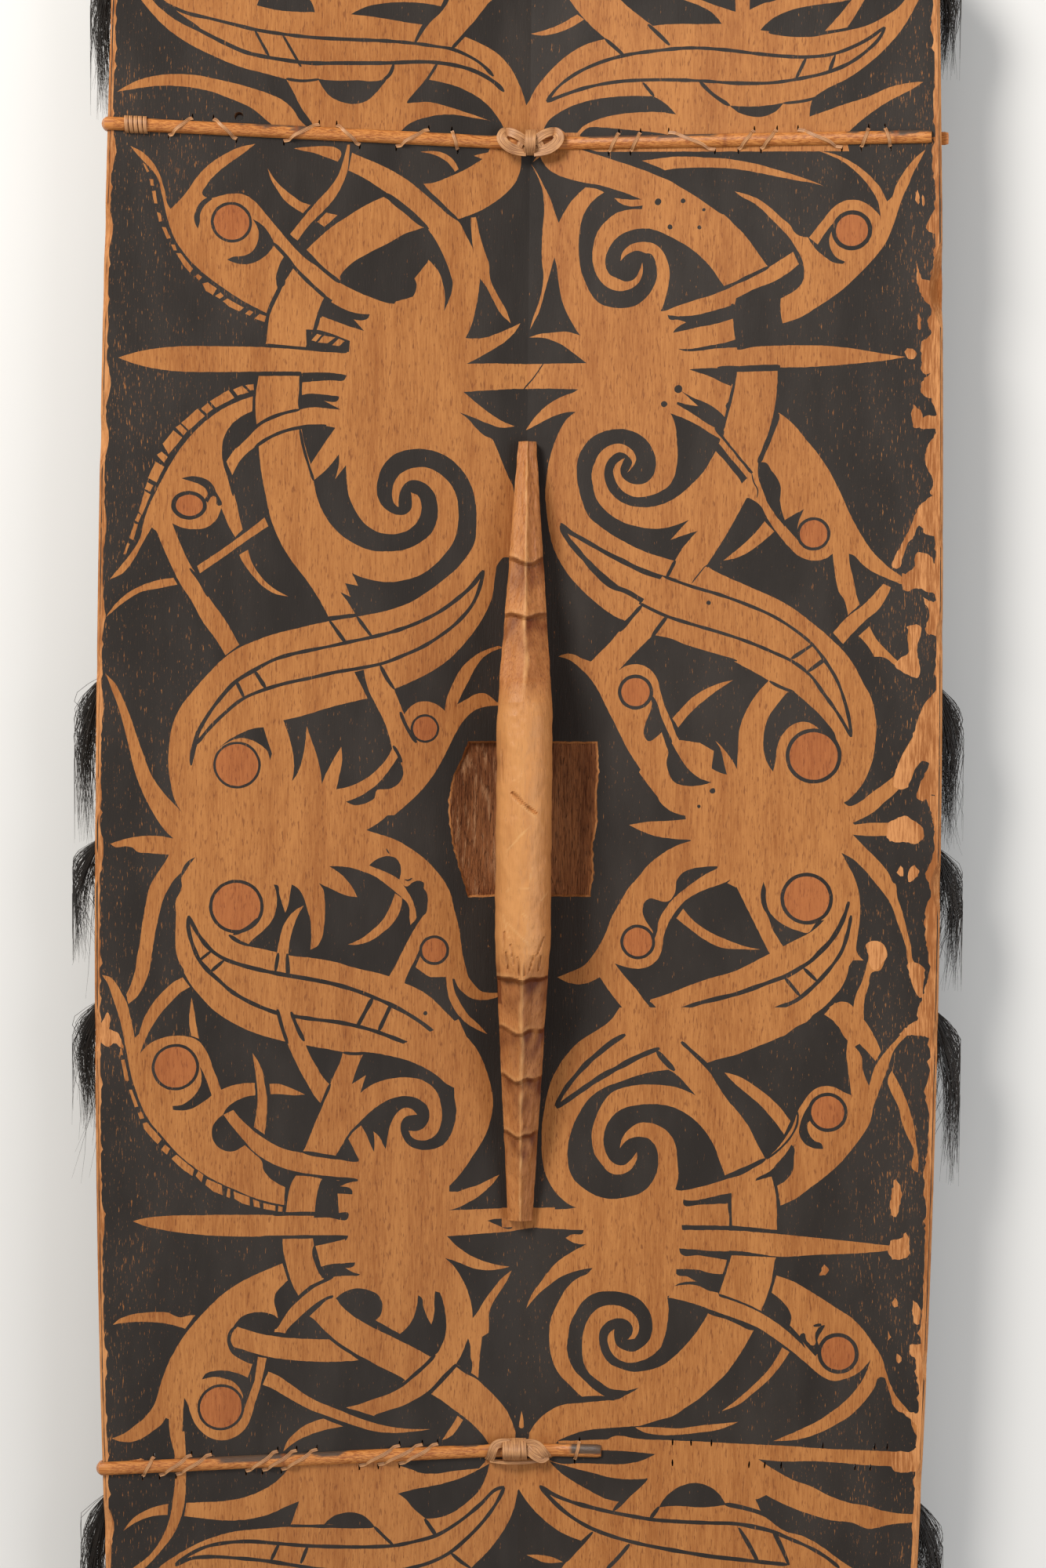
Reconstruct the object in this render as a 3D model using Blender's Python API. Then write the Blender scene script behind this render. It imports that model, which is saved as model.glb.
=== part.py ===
# War shield lying on its front: one plank with its handle, two laced canes and rows of hair.
# X runs across the back, Y towards the upper end and Z up from the surface that it lies on, in metres.
import math

import bmesh
import bpy

# The plank
BOARD_LENGTH = 1.240
BOARD_WIDTH = 0.432
END_LENGTH = 0.190
SIDE_BOW = 0.005
LOW_SIDE_BOW = 0.010
TIP_WIDTH = 0.036
END_SWELL = 0.010
HOLLOW_DEPTH = 0.043
KEEL_THICKNESS = 0.012
EDGE_THICKNESS = 0.006
KEEL_FLAT = 0.026
KEEL_X = 0.0028
RIM_CHAMFER = 0.0012
BODY_STATIONS = 13
END_STATIONS = 6

# The pocket for the knuckles, cut in the back behind the grip
POCKET_LENGTH = 0.080
POCKET_WIDTH = 0.076
POCKET_END_WIDTH = 0.062
POCKET_DEPTH = 0.0025
POCKET_SEGMENTS = 12
POCKET_RINGS = 7

# The handle, measured from the middle of its grip
GRIP_MIDDLE_Y = -0.018
GRIP_REACH_UP = 0.070
GRIP_REACH_DOWN = 0.081
GRIP_WIDTH = 0.0285
GRIP_HEIGHT = 0.051
GRIP_SWELL = 0.002
FINGER_ROOM = 0.025
FOOT_LIP = 0.0015
FOOT_SLANT = 0.0035
FOOT_EMBED = 0.004
UPPER_REACH = 0.196
UPPER_END_WIDTH = 0.0092
UPPER_RINGS = (0.105, 0.134)
LOWER_REACH = 0.209
LOWER_END_WIDTH = 0.0128
LOWER_RINGS = (0.108, 0.133, 0.163)
END_HEIGHT = 0.010
NECK_STEP = 0.006
NOTCH_DEPTH = 0.0026
NOTCH_RUN = 0.0022

# The canes, half round, laid flat side down across both faces
CANE_WIDTH = 0.0068
CANE_THICKNESS = 0.0028
CANE_SIDES = 6
UPPER_TIE_Y = 0.334
UPPER_TIE_SLOPE = -0.006
LOWER_TIE_Y = -0.347
LOWER_TIE_SLOPE = 0.0215
CANE_OVERRUN = 0.004
CANE_END_INSET = 0.005
BROKEN_END_X = 0.046
BRIDGE_REACH = 0.020

# The split cane that laces the canes down, and the slits that it passes through
LACE_RADIUS = 0.0006
FIT_GAP = 0.0003
ARCH_STEPS = 4

# The binding of close turns at the upper cane's left end, as shares of the half width
BINDING_START = -0.960
BINDING_END = -0.905
BINDING_TURNS = 5
BINDING_WALL = 0.0012

# An old hole half under the upper cane, as a share of the half width and a distance above the cane's middle
HOLE_SHARE = -0.690
HOLE_RISE = 0.0068
HOLE_WIDTH = 0.0046
HOLE_SIDES = 10

# A lacing's stitches, left to right: shares of the half width, each with the side of the cane
UP, LOW = 1, -1
UPPER_LEFT_STITCHES = [
    ((-0.855, LOW), (-0.800, UP)),
    ((-0.750, UP), (-0.695, LOW)),
    ((-0.582, LOW), (-0.498, UP)),
    ((-0.456, UP), (-0.400, LOW)),
    ((-0.312, LOW), (-0.234, UP)),
    ((-0.178, UP), (-0.163, LOW)),
]
UPPER_RIGHT_STITCHES = [
    ((0.205, LOW), (0.230, UP)),
    ((0.258, LOW), (0.282, UP)),
    ((0.350, UP), (0.462, LOW)),
    ((0.518, LOW), (0.556, UP)),
    ((0.572, LOW), (0.610, UP)),
    ((0.660, UP), (0.765, LOW)),
    ((0.810, LOW), (0.828, UP)),
    ((0.866, UP), (0.880, LOW)),
]
LOWER_LEFT_STITCHES = [
    ((-0.903, LOW), (-0.876, UP)),
    ((-0.862, LOW), (-0.786, UP)),
    ((-0.822, LOW), (-0.738, UP)),
    ((-0.654, LOW), (-0.578, UP)),
    ((-0.614, LOW), (-0.532, UP)),
    ((-0.568, LOW), (-0.482, UP)),
    ((-0.378, LOW), (-0.280, UP)),
    ((-0.332, LOW), (-0.224, UP)),
    ((-0.280, LOW), (-0.186, UP)),
]
LOWER_RIGHT_STITCHES = [((0.154, LOW), (0.166, UP))]

# Slits in the lower right that have lost their lacing
EMPTY_SLITS = [
    (0.395, UP), (0.440, UP), (0.490, UP), (0.760, UP), (0.885, UP), (0.915, UP),
    (0.395, LOW), (0.582, LOW), (0.620, LOW), (0.660, LOW), (0.838, LOW), (0.875, LOW),
]

# The knots that bind each cane over the hollow of the keel
KNOT_REACH = 0.018
KNOT_WALL = 0.0020
KNOT_BAND = 0.0035
KNOT_RISE = 0.0022

# Rows of hair on the front, hanging towards the lower end: one at the shoulders, three behind the grip, one low down
HAIR_MIDDLE_Y = 0.056
HAIR_SPACING = 0.083
HAIR_LOW_Y = -0.362
HAIR_LENGTH = 0.105
HAIR_INNER = 0.100
HAIR_OVERHANG = 0.013
HAIR_ROOT = 0.0036
HAIR_TIP = 0.0012
HAIR_DROOP = 0.010
HAIR_LOCKS = 5
HAIR_SCALLOP = 0.18
HAIR_STEPS = 5

# What follows from these sizes
SHOULDER_Y = BOARD_LENGTH / 2 - END_LENGTH
KEEL_HALF = BOARD_WIDTH / 2 + abs(KEEL_X)
BACK_SLOPE = HOLLOW_DEPTH / KEEL_HALF
FRONT_SLOPE = (KEEL_THICKNESS + HOLLOW_DEPTH - EDGE_THICKNESS) / (KEEL_HALF - KEEL_FLAT / 2)
SLIT_SIZE = 2 * (LACE_RADIUS + FIT_GAP)
SLIT_OFFSET = CANE_WIDTH / 2 + 2 * FIT_GAP + LACE_RADIUS
LACE_LIFT = FIT_GAP + CANE_THICKNESS + FIT_GAP + LACE_RADIUS
HAIR_ROWS = (SHOULDER_Y, *(HAIR_MIDDLE_Y - k * HAIR_SPACING for k in range(3)), HAIR_LOW_Y)


def half_width(y):
    """Half the plank's width at y: a gentle bow to the shoulders, then a swelling point."""
    bow = SIDE_BOW if y > 0 else LOW_SIDE_BOW
    shoulder = BOARD_WIDTH / 2 - bow
    if abs(y) <= SHOULDER_Y:
        return BOARD_WIDTH / 2 - bow * (y / SHOULDER_Y) ** 2
    share = (abs(y) - SHOULDER_Y) / END_LENGTH
    return shoulder + (TIP_WIDTH / 2 - shoulder) * share + END_SWELL * 4 * share * (1 - share)


def back_z(x):
    return KEEL_THICKNESS + abs(x - KEEL_X) * BACK_SLOPE


def front_z(x):
    return max(0.0, (abs(x - KEEL_X) - KEEL_FLAT / 2) * FRONT_SLOPE)


def tie_y(x, middle, slope):
    return middle + slope * x


def between(points, y):
    """The value at y on a line of (y, value) points, level past both ends."""
    points = sorted(points)
    if y <= points[0][0]:
        return points[0][1]
    for (y0, v0), (y1, v1) in zip(points, points[1:]):
        if y <= y1:
            return v0 + (v1 - v0) * (y - y0) / (y1 - y0)
    return points[-1][1]


def spread(low, high, count):
    return [low + (high - low) * k / (count - 1) for k in range(count)]


def material(name, colour, roughness):
    made = bpy.data.materials.new(name)
    made.use_nodes = True
    shader = made.node_tree.nodes["Principled BSDF"]
    shader.inputs["Base Color"].default_value = (*colour, 1)
    shader.inputs["Roughness"].default_value = roughness
    made.diffuse_color = (*colour, 1)
    return made


def add_object(name, bm, finish):
    """Turns a closed bmesh into an object with its faces pointing out."""
    bmesh.ops.recalc_face_normals(bm, faces=bm.faces)
    mesh = bpy.data.meshes.new(name)
    bm.to_mesh(mesh)
    bm.free()
    made = bpy.data.objects.new(name, mesh)
    bpy.context.scene.collection.objects.link(made)
    if finish:
        made.data.materials.append(finish)
    return made


def loft(name, rings, finish=None):
    """A closed solid through rings of as many points each, with flat ends."""
    bm = bmesh.new()
    loops = [[bm.verts.new(p) for p in ring] for ring in rings]
    for near, far in zip(loops, loops[1:]):
        for k in range(len(near)):
            after = (k + 1) % len(near)
            bm.faces.new((near[k], near[after], far[after], far[k]))
    bm.faces.new(loops[0])
    bm.faces.new(loops[-1])
    return add_object(name, bm, finish)


def box_into(bm, low, high):
    """Adds one box to a bmesh."""
    made = bmesh.ops.create_cube(bm, size=1)
    for v in made["verts"]:
        v.co = [low[i] + (v.co[i] + 0.5) * (high[i] - low[i]) for i in range(3)]


def as_tool(tool):
    tool.hide_render = True
    tool.display_type = "WIRE"
    return tool


def combine(target, tool, operation):
    step = target.modifiers.new(f"{operation.lower()}_{tool.name}", "BOOLEAN")
    step.operation = operation
    step.solver = "EXACT"
    step.object = tool


def plank_section(y):
    """The plank's outline across at y, with a chamfer along both rims."""
    w = half_width(y)
    c = RIM_CHAMFER
    points = []
    for side in (-1, 1):
        rim, inner = side * w, side * (w - c)
        part = [
            (rim, front_z(rim) + c),
            (rim, back_z(rim) - c),
            (inner, back_z(inner)),
        ]
        points += part if side < 0 else [(KEEL_X, KEEL_THICKNESS)] + part[::-1]
    flat = min(KEEL_FLAT / 2, w - 2 * c - abs(KEEL_X))
    inner = w - c
    points += [(inner, front_z(inner)), (KEEL_X + flat, 0), (KEEL_X - flat, 0), (-inner, front_z(-inner))]
    return [(x, y, z) for x, z in points]


def make_plank(finish):
    ends = spread(SHOULDER_Y, BOARD_LENGTH / 2, END_STATIONS + 1)[1:]
    body = spread(-SHOULDER_Y, SHOULDER_Y, BODY_STATIONS)
    stations = [-y for y in reversed(ends)] + body + ends
    return loft("shield_board", [plank_section(y) for y in stations], finish)


def pocket_tool():
    """A round-bottomed trough, widest at its middle, that runs out into the sloping back at its sides."""
    floor = KEEL_THICKNESS - POCKET_DEPTH
    lid = KEEL_THICKNESS + HOLLOW_DEPTH + GRIP_HEIGHT
    rings = []
    for share in spread(-1, 1, POCKET_RINGS):
        half = (POCKET_WIDTH - (POCKET_WIDTH - POCKET_END_WIDTH) * share**2) / 2
        rise = half * BACK_SLOPE + POCKET_DEPTH
        radius = (half**2 + rise**2) / (2 * rise)
        reach = min(half * 1.15, radius * 0.9)
        section = []
        for x in spread(-reach, reach, POCKET_SEGMENTS + 1):
            section.append((KEEL_X + x, floor + radius - math.sqrt(radius**2 - x**2)))
        section += [(KEEL_X + reach, lid), (KEEL_X - reach, lid)]
        rings.append([(x, GRIP_MIDDLE_Y + share * POCKET_LENGTH / 2, z) for x, z in section])
    return as_tool(loft("pocket_tool", rings))


def handle_lines():
    """Half width, height, underside and sharpness of the handle, each as (distance, value) points."""
    floor = KEEL_THICKNESS - FOOT_EMBED
    roof = KEEL_THICKNESS + FINGER_ROOM
    mouth = POCKET_LENGTH / 2 - FOOT_LIP
    width = [(0, GRIP_WIDTH / 2)]
    height = [(0, GRIP_HEIGHT + GRIP_SWELL)]
    under = [(0, roof)]
    sharp = [(0, 0)]
    necks = (
        (1, GRIP_REACH_UP, UPPER_REACH, UPPER_END_WIDTH, UPPER_RINGS),
        (-1, GRIP_REACH_DOWN, LOWER_REACH, LOWER_END_WIDTH, LOWER_RINGS),
    )
    for side, grip, reach, end_width, rings in necks:
        neck_height = GRIP_HEIGHT - NECK_STEP

        def crest(distance, top=neck_height, near=grip, far=reach):
            return top + (END_HEIGHT - top) * (distance - near) / (far - near)

        width += [(side * grip * 0.75, GRIP_WIDTH / 2), (side * grip, GRIP_WIDTH * 0.46)]
        width += [(side * reach, end_width / 2)]
        height += [(side * grip * 0.75, GRIP_HEIGHT), (side * grip, GRIP_HEIGHT - NECK_STEP * 0.4)]
        # Every step on the necks faces the lower end
        for ring in rings:
            height += [(side * ring, crest(ring)), (side * ring - NOTCH_RUN, crest(ring) - NOTCH_DEPTH)]
        height += [(side * reach, END_HEIGHT)]
        under += [(side * (mouth - FOOT_SLANT), roof), (side * mouth, floor)]
        sharp += [(side * grip * 0.85, 0), (side * (grip + NOTCH_RUN), 1)]
    height += [(-GRIP_REACH_DOWN - NOTCH_RUN, GRIP_HEIGHT - NECK_STEP - NOTCH_DEPTH)]
    return width, height, under, sharp


def handle_section(distance, lines):
    """One outline of the handle: ridged on the necks, round on the grip, flat or round below."""
    w, top, low, ridge = (between(line, distance) for line in lines)
    top += KEEL_THICKNESS
    drop_round, drop_ridge = w * 0.95, w * 0.55
    shoulder = [1.0, 0.86, 0.5, 0.0, -0.5, -0.86, -1.0]
    points = []
    for x in shoulder:
        round_drop = drop_round * (1 - math.sqrt(max(0.0, 1 - x * x)))
        points.append((x * w, top - round_drop * (1 - ridge) - drop_ridge * abs(x) * ridge))
    under_round = w * 0.45
    for x in (-0.8, -0.4, 0.4, 0.8):
        points.append((x * w, low + (1 - ridge) * under_round * (1 - math.sqrt(1 - x * x))))
    return [(KEEL_X + x, GRIP_MIDDLE_Y + distance, z) for x, z in points]


def handle_tool():
    lines = handle_lines()
    stations = sorted({distance for line in lines for distance, _ in line})
    return as_tool(loft("handle_tool", [handle_section(s, lines) for s in stations]))


def slit_places():
    """Every slit as (x, y), for both ties."""
    found = []
    ties = (
        (UPPER_TIE_Y, UPPER_TIE_SLOPE, UPPER_LEFT_STITCHES + UPPER_RIGHT_STITCHES, []),
        (LOWER_TIE_Y, LOWER_TIE_SLOPE, LOWER_LEFT_STITCHES + LOWER_RIGHT_STITCHES, EMPTY_SLITS),
    )
    for middle, slope, stitches, spare in ties:
        for share, side in [end for stitch in stitches for end in stitch] + spare:
            x = share * half_width(middle)
            found.append((x, tie_y(x, middle, slope) + side * SLIT_OFFSET))
    return found


def slit_tool():
    """The slits through the plank."""
    bm = bmesh.new()
    half = SLIT_SIZE / 2
    for x, y in slit_places():
        low = (x - half, y - half, front_z(x) - EDGE_THICKNESS)
        high = (x + half, y + half, back_z(x) + EDGE_THICKNESS)
        box_into(bm, low, high)
    return as_tool(add_object("slit_tool", bm, None))


def hole_tool():
    """The old round hole beside the upper cane."""
    bm = bmesh.new()
    x = HOLE_SHARE * half_width(UPPER_TIE_Y)
    y = tie_y(x, UPPER_TIE_Y, UPPER_TIE_SLOPE) + HOLE_RISE
    r = HOLE_WIDTH / 2
    bmesh.ops.create_cone(bm, segments=HOLE_SIDES, radius1=r, radius2=r, depth=4 * KEEL_THICKNESS, cap_ends=True)
    bmesh.ops.translate(bm, verts=bm.verts, vec=(x, y, back_z(x)))
    return as_tool(add_object("hole_tool", bm, None))


def saddle_tool(middle, slope):
    """The notch across the keel that lets a front cane lie within the keel's flat."""
    bm = bmesh.new()
    reach = saddle_reach() + FIT_GAP
    room = CANE_WIDTH / 2 + FIT_GAP + abs(slope) * (reach + abs(KEEL_X))
    low = (KEEL_X - reach, tie_y(KEEL_X, middle, slope) - room, -KEEL_THICKNESS)
    high = (KEEL_X + reach, tie_y(KEEL_X, middle, slope) + room, saddle_top() + FIT_GAP)
    box_into(bm, low, high)
    return as_tool(add_object("saddle_tool", bm, None))


def saddle_top():
    """The height of a front cane's flat side where it crosses the keel, its round side clear of the floor."""
    return CANE_THICKNESS + FIT_GAP


def saddle_reach():
    """How far from the keel line a front cane comes off the slope into its saddle."""
    return KEEL_FLAT / 2 + (saddle_top() + FIT_GAP) / FRONT_SLOPE


def cane_back_line(x):
    """The height of a back cane's flat side: on the slopes, and straight across the keel's hollow."""
    return max(back_z(x), KEEL_THICKNESS + BRIDGE_REACH * BACK_SLOPE) + FIT_GAP


def make_cane(name, middle, slope, back_end, front_end, finish):
    """A cane from its end on the back, round the left rim and across the front."""
    w = half_width(middle)
    rim_back, rim_front = back_z(-w), front_z(-w)
    steep_back, steep_front = math.atan(BACK_SLOPE), math.atan(FRONT_SLOPE)
    up, down, left = math.pi / 2, -math.pi / 2, math.pi
    route = [(back_end, cane_back_line(back_end), up + (steep_back if back_end > KEEL_X + BRIDGE_REACH else 0))]
    if back_end > KEEL_X + BRIDGE_REACH:
        route.append((KEEL_X + BRIDGE_REACH, cane_back_line(KEEL_X), up + steep_back / 2))
    c = RIM_CHAMFER
    route += [
        (KEEL_X - BRIDGE_REACH, cane_back_line(KEEL_X), up - steep_back / 2),
        (-w + 2 * c, cane_back_line(-w + 2 * c), up - steep_back),
        (-w + c * 0.2, rim_back + FIT_GAP, up + math.pi / 5),
        (-w - FIT_GAP, rim_back - c, left - 0.1),
        (-w - FIT_GAP, rim_front + c, left + 0.1),
        (-w + c * 0.2, rim_front - FIT_GAP, left + math.pi / 3.4),
        (-w + 3 * c, front_z(-w + 3 * c) - FIT_GAP, 2 * math.pi + down - steep_front),
        (KEEL_X - saddle_reach(), saddle_top(), 2 * math.pi + down),
        (KEEL_X + saddle_reach(), saddle_top(), 2 * math.pi + down),
        (front_end, front_z(front_end) - FIT_GAP, 2 * math.pi + down + steep_front),
    ]
    rings = []
    for x, z, way in route:
        ring = []
        for k in range(CANE_SIDES + 1):
            turn = math.pi * k / CANE_SIDES
            across = CANE_WIDTH / 2 * math.cos(turn)
            out = CANE_THICKNESS * math.sin(turn)
            ring.append((x + out * math.cos(way), tie_y(x, middle, slope) + across, z + out * math.sin(way)))
        rings.append(ring)
    return loft(name, rings, finish)


def arch(start, end, middle, slope, surface, outward):
    """One stitch's points over a cane, from slit to slit, on the face that surface(x) gives."""
    (x0, side0), (x1, side1) = start, end
    points = []
    for k in range(ARCH_STEPS + 1):
        share = k / ARCH_STEPS
        x = x0 + (x1 - x0) * share
        if side0 == side1:
            across, lift = side0 * SLIT_OFFSET, FIT_GAP + LACE_RADIUS
            if 0 < k < ARCH_STEPS:
                continue
        else:
            across = side0 * SLIT_OFFSET * math.cos(math.pi * share)
            lift = max(FIT_GAP + LACE_RADIUS, LACE_LIFT * math.sin(math.pi * share) ** 0.45)
        points.append((x, tie_y(x, middle, slope) + across, surface(x) + outward * lift))
    return points


def make_lacing(name, middle, slope, stitches, finish):
    """One strand of split cane through all of its slits, over the back cane and then the front one."""
    w = half_width(middle)
    ends = [((a * w, s), (b * w, t)) for (a, s), (b, t) in stitches]

    def back_line(x):
        return cane_back_line(x) - FIT_GAP

    def inside(end):
        x, side = end
        return (x, tie_y(x, middle, slope) + side * SLIT_OFFSET, (back_z(x) + front_z(x)) / 2)

    route = [inside(ends[0][0])]
    for k, (start, end) in enumerate(ends):
        route += arch(start, end, middle, slope, back_line, 1)
        if k + 1 < len(ends):
            route += arch(end, ends[k + 1][0], middle, slope, front_z, -1)
    route.append(inside(ends[-1][1]))
    curve = bpy.data.curves.new(name, "CURVE")
    curve.dimensions = "3D"
    curve.bevel_depth = LACE_RADIUS
    curve.bevel_resolution = 0
    curve.use_fill_caps = True
    spline = curve.splines.new("POLY")
    spline.points.add(len(route) - 1)
    for point, place in zip(spline.points, route):
        point.co = (*place, 1)
    made = bpy.data.objects.new(name, curve)
    bpy.context.scene.collection.objects.link(made)
    made.data.materials.append(finish)
    return made


def saddle_ring(x, middle, slope, wall, swell, foot):
    """A section through split cane bent over a back cane, its two legs reaching down to foot."""
    inner = CANE_WIDTH / 2 + FIT_GAP
    outer = inner + wall + swell / 2
    roof = cane_back_line(x) + CANE_THICKNESS + FIT_GAP
    crown = roof + wall + swell
    y = tie_y(x, middle, slope)
    return [
        (x, y - outer, foot), (x, y - outer, roof), (x, y - outer / 2, crown),
        (x, y + outer / 2, crown), (x, y + outer, roof), (x, y + outer, foot),
        (x, y + inner, foot), (x, y + inner, roof), (x, y - inner, roof), (x, y - inner, foot),
    ]


def make_knot(name, middle, slope, finish):
    """Two loops of split cane with their legs beside the cane, and a band between them."""
    rings = []
    for reach, raised, legs in (
        (-KNOT_REACH, 0, True), (-KNOT_REACH / 2, 0.6, True), (-KNOT_BAND - FIT_GAP, 0.3, False),
        (-KNOT_BAND, 1, False), (KNOT_BAND, 1, False),
        (KNOT_BAND + FIT_GAP, 0.3, False), (KNOT_REACH / 2, 0.6, True), (KNOT_REACH, 0, True),
    ):
        x = KEEL_X + reach
        foot = back_z(x) + FIT_GAP if legs else cane_back_line(x) + CANE_THICKNESS / 2
        rings.append(saddle_ring(x, middle, slope, KNOT_WALL, KNOT_RISE * raised, foot))
    return loft(name, rings, finish)


def make_binding(name, middle, slope, finish):
    """Close turns of split cane round the end of a back cane, as one ribbed saddle."""
    w = half_width(middle)
    rings = []
    for k, x in enumerate(spread(BINDING_START * w, BINDING_END * w, 2 * BINDING_TURNS + 1)):
        swell = BINDING_WALL / 2 * (k % 2)
        rings.append(saddle_ring(x, middle, slope, BINDING_WALL / 2, swell, back_z(x) + FIT_GAP))
    return loft(name, rings, finish)


def make_hair(name, root_y, side, finish):
    """A row of locks as one thin sheet under a flank, its lower hem scalloped lock by lock."""
    outer = half_width(root_y) + HAIR_OVERHANG
    across = spread(HAIR_INNER, outer, HAIR_LOCKS * 4 + 1)
    bm = bmesh.new()
    grid = []
    for k, reach in enumerate(across):
        lock = abs(math.sin(math.pi * k / 4))
        length = HAIR_LENGTH * (1 - HAIR_SCALLOP * (1 - lock))
        column = []
        for step in range(HAIR_STEPS + 1):
            share = step / HAIR_STEPS
            x = side * reach
            y = root_y - length * share
            roof = front_z(x) - FIT_GAP - HAIR_DROOP * share
            thick = HAIR_ROOT + (HAIR_TIP - HAIR_ROOT) * share
            column.append((bm.verts.new((x, y, roof)), bm.verts.new((x, y, roof - thick))))
        grid.append(column)
    for near, far in zip(grid, grid[1:]):
        for k in range(HAIR_STEPS):
            for layer in (0, 1):
                bm.faces.new((near[k][layer], near[k + 1][layer], far[k + 1][layer], far[k][layer]))
        for k in (0, HAIR_STEPS):
            bm.faces.new((near[k][0], far[k][0], far[k][1], near[k][1]))
    for column in (grid[0], grid[-1]):
        for k in range(HAIR_STEPS):
            bm.faces.new((column[k][0], column[k + 1][0], column[k + 1][1], column[k][1]))
    return add_object(name, bm, finish)


def main():
    for old in list(bpy.data.objects):
        bpy.data.objects.remove(old)
    wood = material("carved_wood", (0.52, 0.25, 0.09), 0.55)
    cane = material("split_cane", (0.66, 0.36, 0.14), 0.45)
    hair = material("dark_hair", (0.03, 0.025, 0.02), 0.5)

    board = make_plank(wood)
    combine(board, pocket_tool(), "DIFFERENCE")
    combine(board, slit_tool(), "DIFFERENCE")
    combine(board, hole_tool(), "DIFFERENCE")
    upper, lower = (UPPER_TIE_Y, UPPER_TIE_SLOPE), (LOWER_TIE_Y, LOWER_TIE_SLOPE)
    for tie in (upper, lower):
        combine(board, saddle_tool(*tie), "DIFFERENCE")
    combine(board, handle_tool(), "UNION")

    upper_edge, lower_edge = half_width(UPPER_TIE_Y), half_width(LOWER_TIE_Y)
    make_cane("upper_cane", *upper, upper_edge - CANE_END_INSET, upper_edge + CANE_OVERRUN, cane)
    make_cane("lower_cane", *lower, BROKEN_END_X, lower_edge - CANE_END_INSET, cane)
    make_knot("upper_knot", *upper, cane)
    make_knot("lower_knot", *lower, cane)
    make_binding("upper_binding", *upper, cane)
    make_lacing("lacing_upper_left", *upper, UPPER_LEFT_STITCHES, cane)
    make_lacing("lacing_upper_right", *upper, UPPER_RIGHT_STITCHES, cane)
    make_lacing("lacing_lower_left", *lower, LOWER_LEFT_STITCHES, cane)
    make_lacing("lacing_lower_right", *lower, LOWER_RIGHT_STITCHES, cane)
    for row, root_y in enumerate(HAIR_ROWS, start=1):
        make_hair(f"hair_row_{row}_left", root_y, -1, hair)
        make_hair(f"hair_row_{row}_right", root_y, 1, hair)


main()
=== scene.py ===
import math
import random

import bmesh
import bpy
import numpy as np
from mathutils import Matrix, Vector, geometry, noise


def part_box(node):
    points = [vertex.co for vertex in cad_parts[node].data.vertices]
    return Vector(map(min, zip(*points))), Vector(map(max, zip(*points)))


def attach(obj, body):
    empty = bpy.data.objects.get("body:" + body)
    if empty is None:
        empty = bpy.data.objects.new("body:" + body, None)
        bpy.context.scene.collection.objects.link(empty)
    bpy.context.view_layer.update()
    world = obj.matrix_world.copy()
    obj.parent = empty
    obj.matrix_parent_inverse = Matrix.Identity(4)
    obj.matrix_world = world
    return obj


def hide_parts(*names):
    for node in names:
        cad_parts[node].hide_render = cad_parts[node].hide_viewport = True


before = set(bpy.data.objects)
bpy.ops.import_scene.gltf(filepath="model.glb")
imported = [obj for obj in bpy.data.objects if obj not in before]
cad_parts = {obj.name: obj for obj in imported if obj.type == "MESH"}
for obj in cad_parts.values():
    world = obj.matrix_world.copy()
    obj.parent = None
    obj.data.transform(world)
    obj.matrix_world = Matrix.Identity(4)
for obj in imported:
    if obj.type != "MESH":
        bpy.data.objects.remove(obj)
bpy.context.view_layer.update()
plankLow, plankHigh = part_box("shield_board")

# Sizes of the plank, shared by everything that sits on it
plank = {
    "length": plankHigh.y - plankLow.y,
    "width": plankHigh.x - plankLow.x,
    "endLength": 0.190,
    "upperBow": 0.005,
    "lowerBow": 0.010,
    "tipWidth": 0.036,
    "endSwell": 0.010,
    "hollowDepth": 0.043,
    "keelThickness": 0.012,
    "edgeThickness": 0.006,
    "keelFlat": 0.026,
    "keelX": 0.0028,
    "rimChamfer": 0.0012,
    "rimWear": 0.0006,  # how unevenly the arris is worn
    "rimStep": 0.004,  # spacing of the points along the rim
}
shoulderY = plank["length"] / 2 - plank["endLength"]
keelX = plank["keelX"]
keelHalf = plank["width"] / 2 + keelX
backSlope = plank["hollowDepth"] / keelHalf
frontSlope = (plank["keelThickness"] + plank["hollowDepth"] - plank["edgeThickness"]) / (
    keelHalf - plank["keelFlat"] / 2)

# The canes and what lies on them
ties = {
    "upper": {"y": 0.334, "slope": -0.006},
    "lower": {"y": -0.347, "slope": 0.0215},
    "caneWidth": 0.0068,
    "caneThickness": 0.0028,
    "gap": 0.0003,
    "bridgeReach": 0.020,
    "slitOffset": 0.0046,
}


def halfWidth(y):
    bow = plank["upperBow"] if y > 0 else plank["lowerBow"]
    shoulder = plank["width"] / 2 - bow
    if abs(y) <= shoulderY:
        return plank["width"] / 2 - bow * (y / shoulderY) ** 2
    share = min(1.0, (abs(y) - shoulderY) / plank["endLength"])
    return shoulder + (plank["tipWidth"] / 2 - shoulder) * share + plank["endSwell"] * 4 * share * (1 - share)


def backZ(x):
    return plank["keelThickness"] + abs(x - keelX) * backSlope


def frontZ(x):
    return max(0.0, (abs(x - keelX) - plank["keelFlat"] / 2) * frontSlope)


def tieY(x, tie):
    return tie["y"] + tie["slope"] * x


def caneBackZ(x):
    # a back cane runs straight across the keel's hollow
    return max(backZ(x), plank["keelThickness"] + ties["bridgeReach"] * backSlope) + ties["gap"]


def between(points, at):
    points = sorted(points)
    if at <= points[0][0]:
        return points[0][1]
    for (a0, v0), (a1, v1) in zip(points, points[1:]):
        if at <= a1:
            return v0 + (v1 - v0) * (at - a0) / (a1 - a0)
    return points[-1][1]


def spread(low, high, count):
    return [low + (high - low) * k / (count - 1) for k in range(count)]


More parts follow.
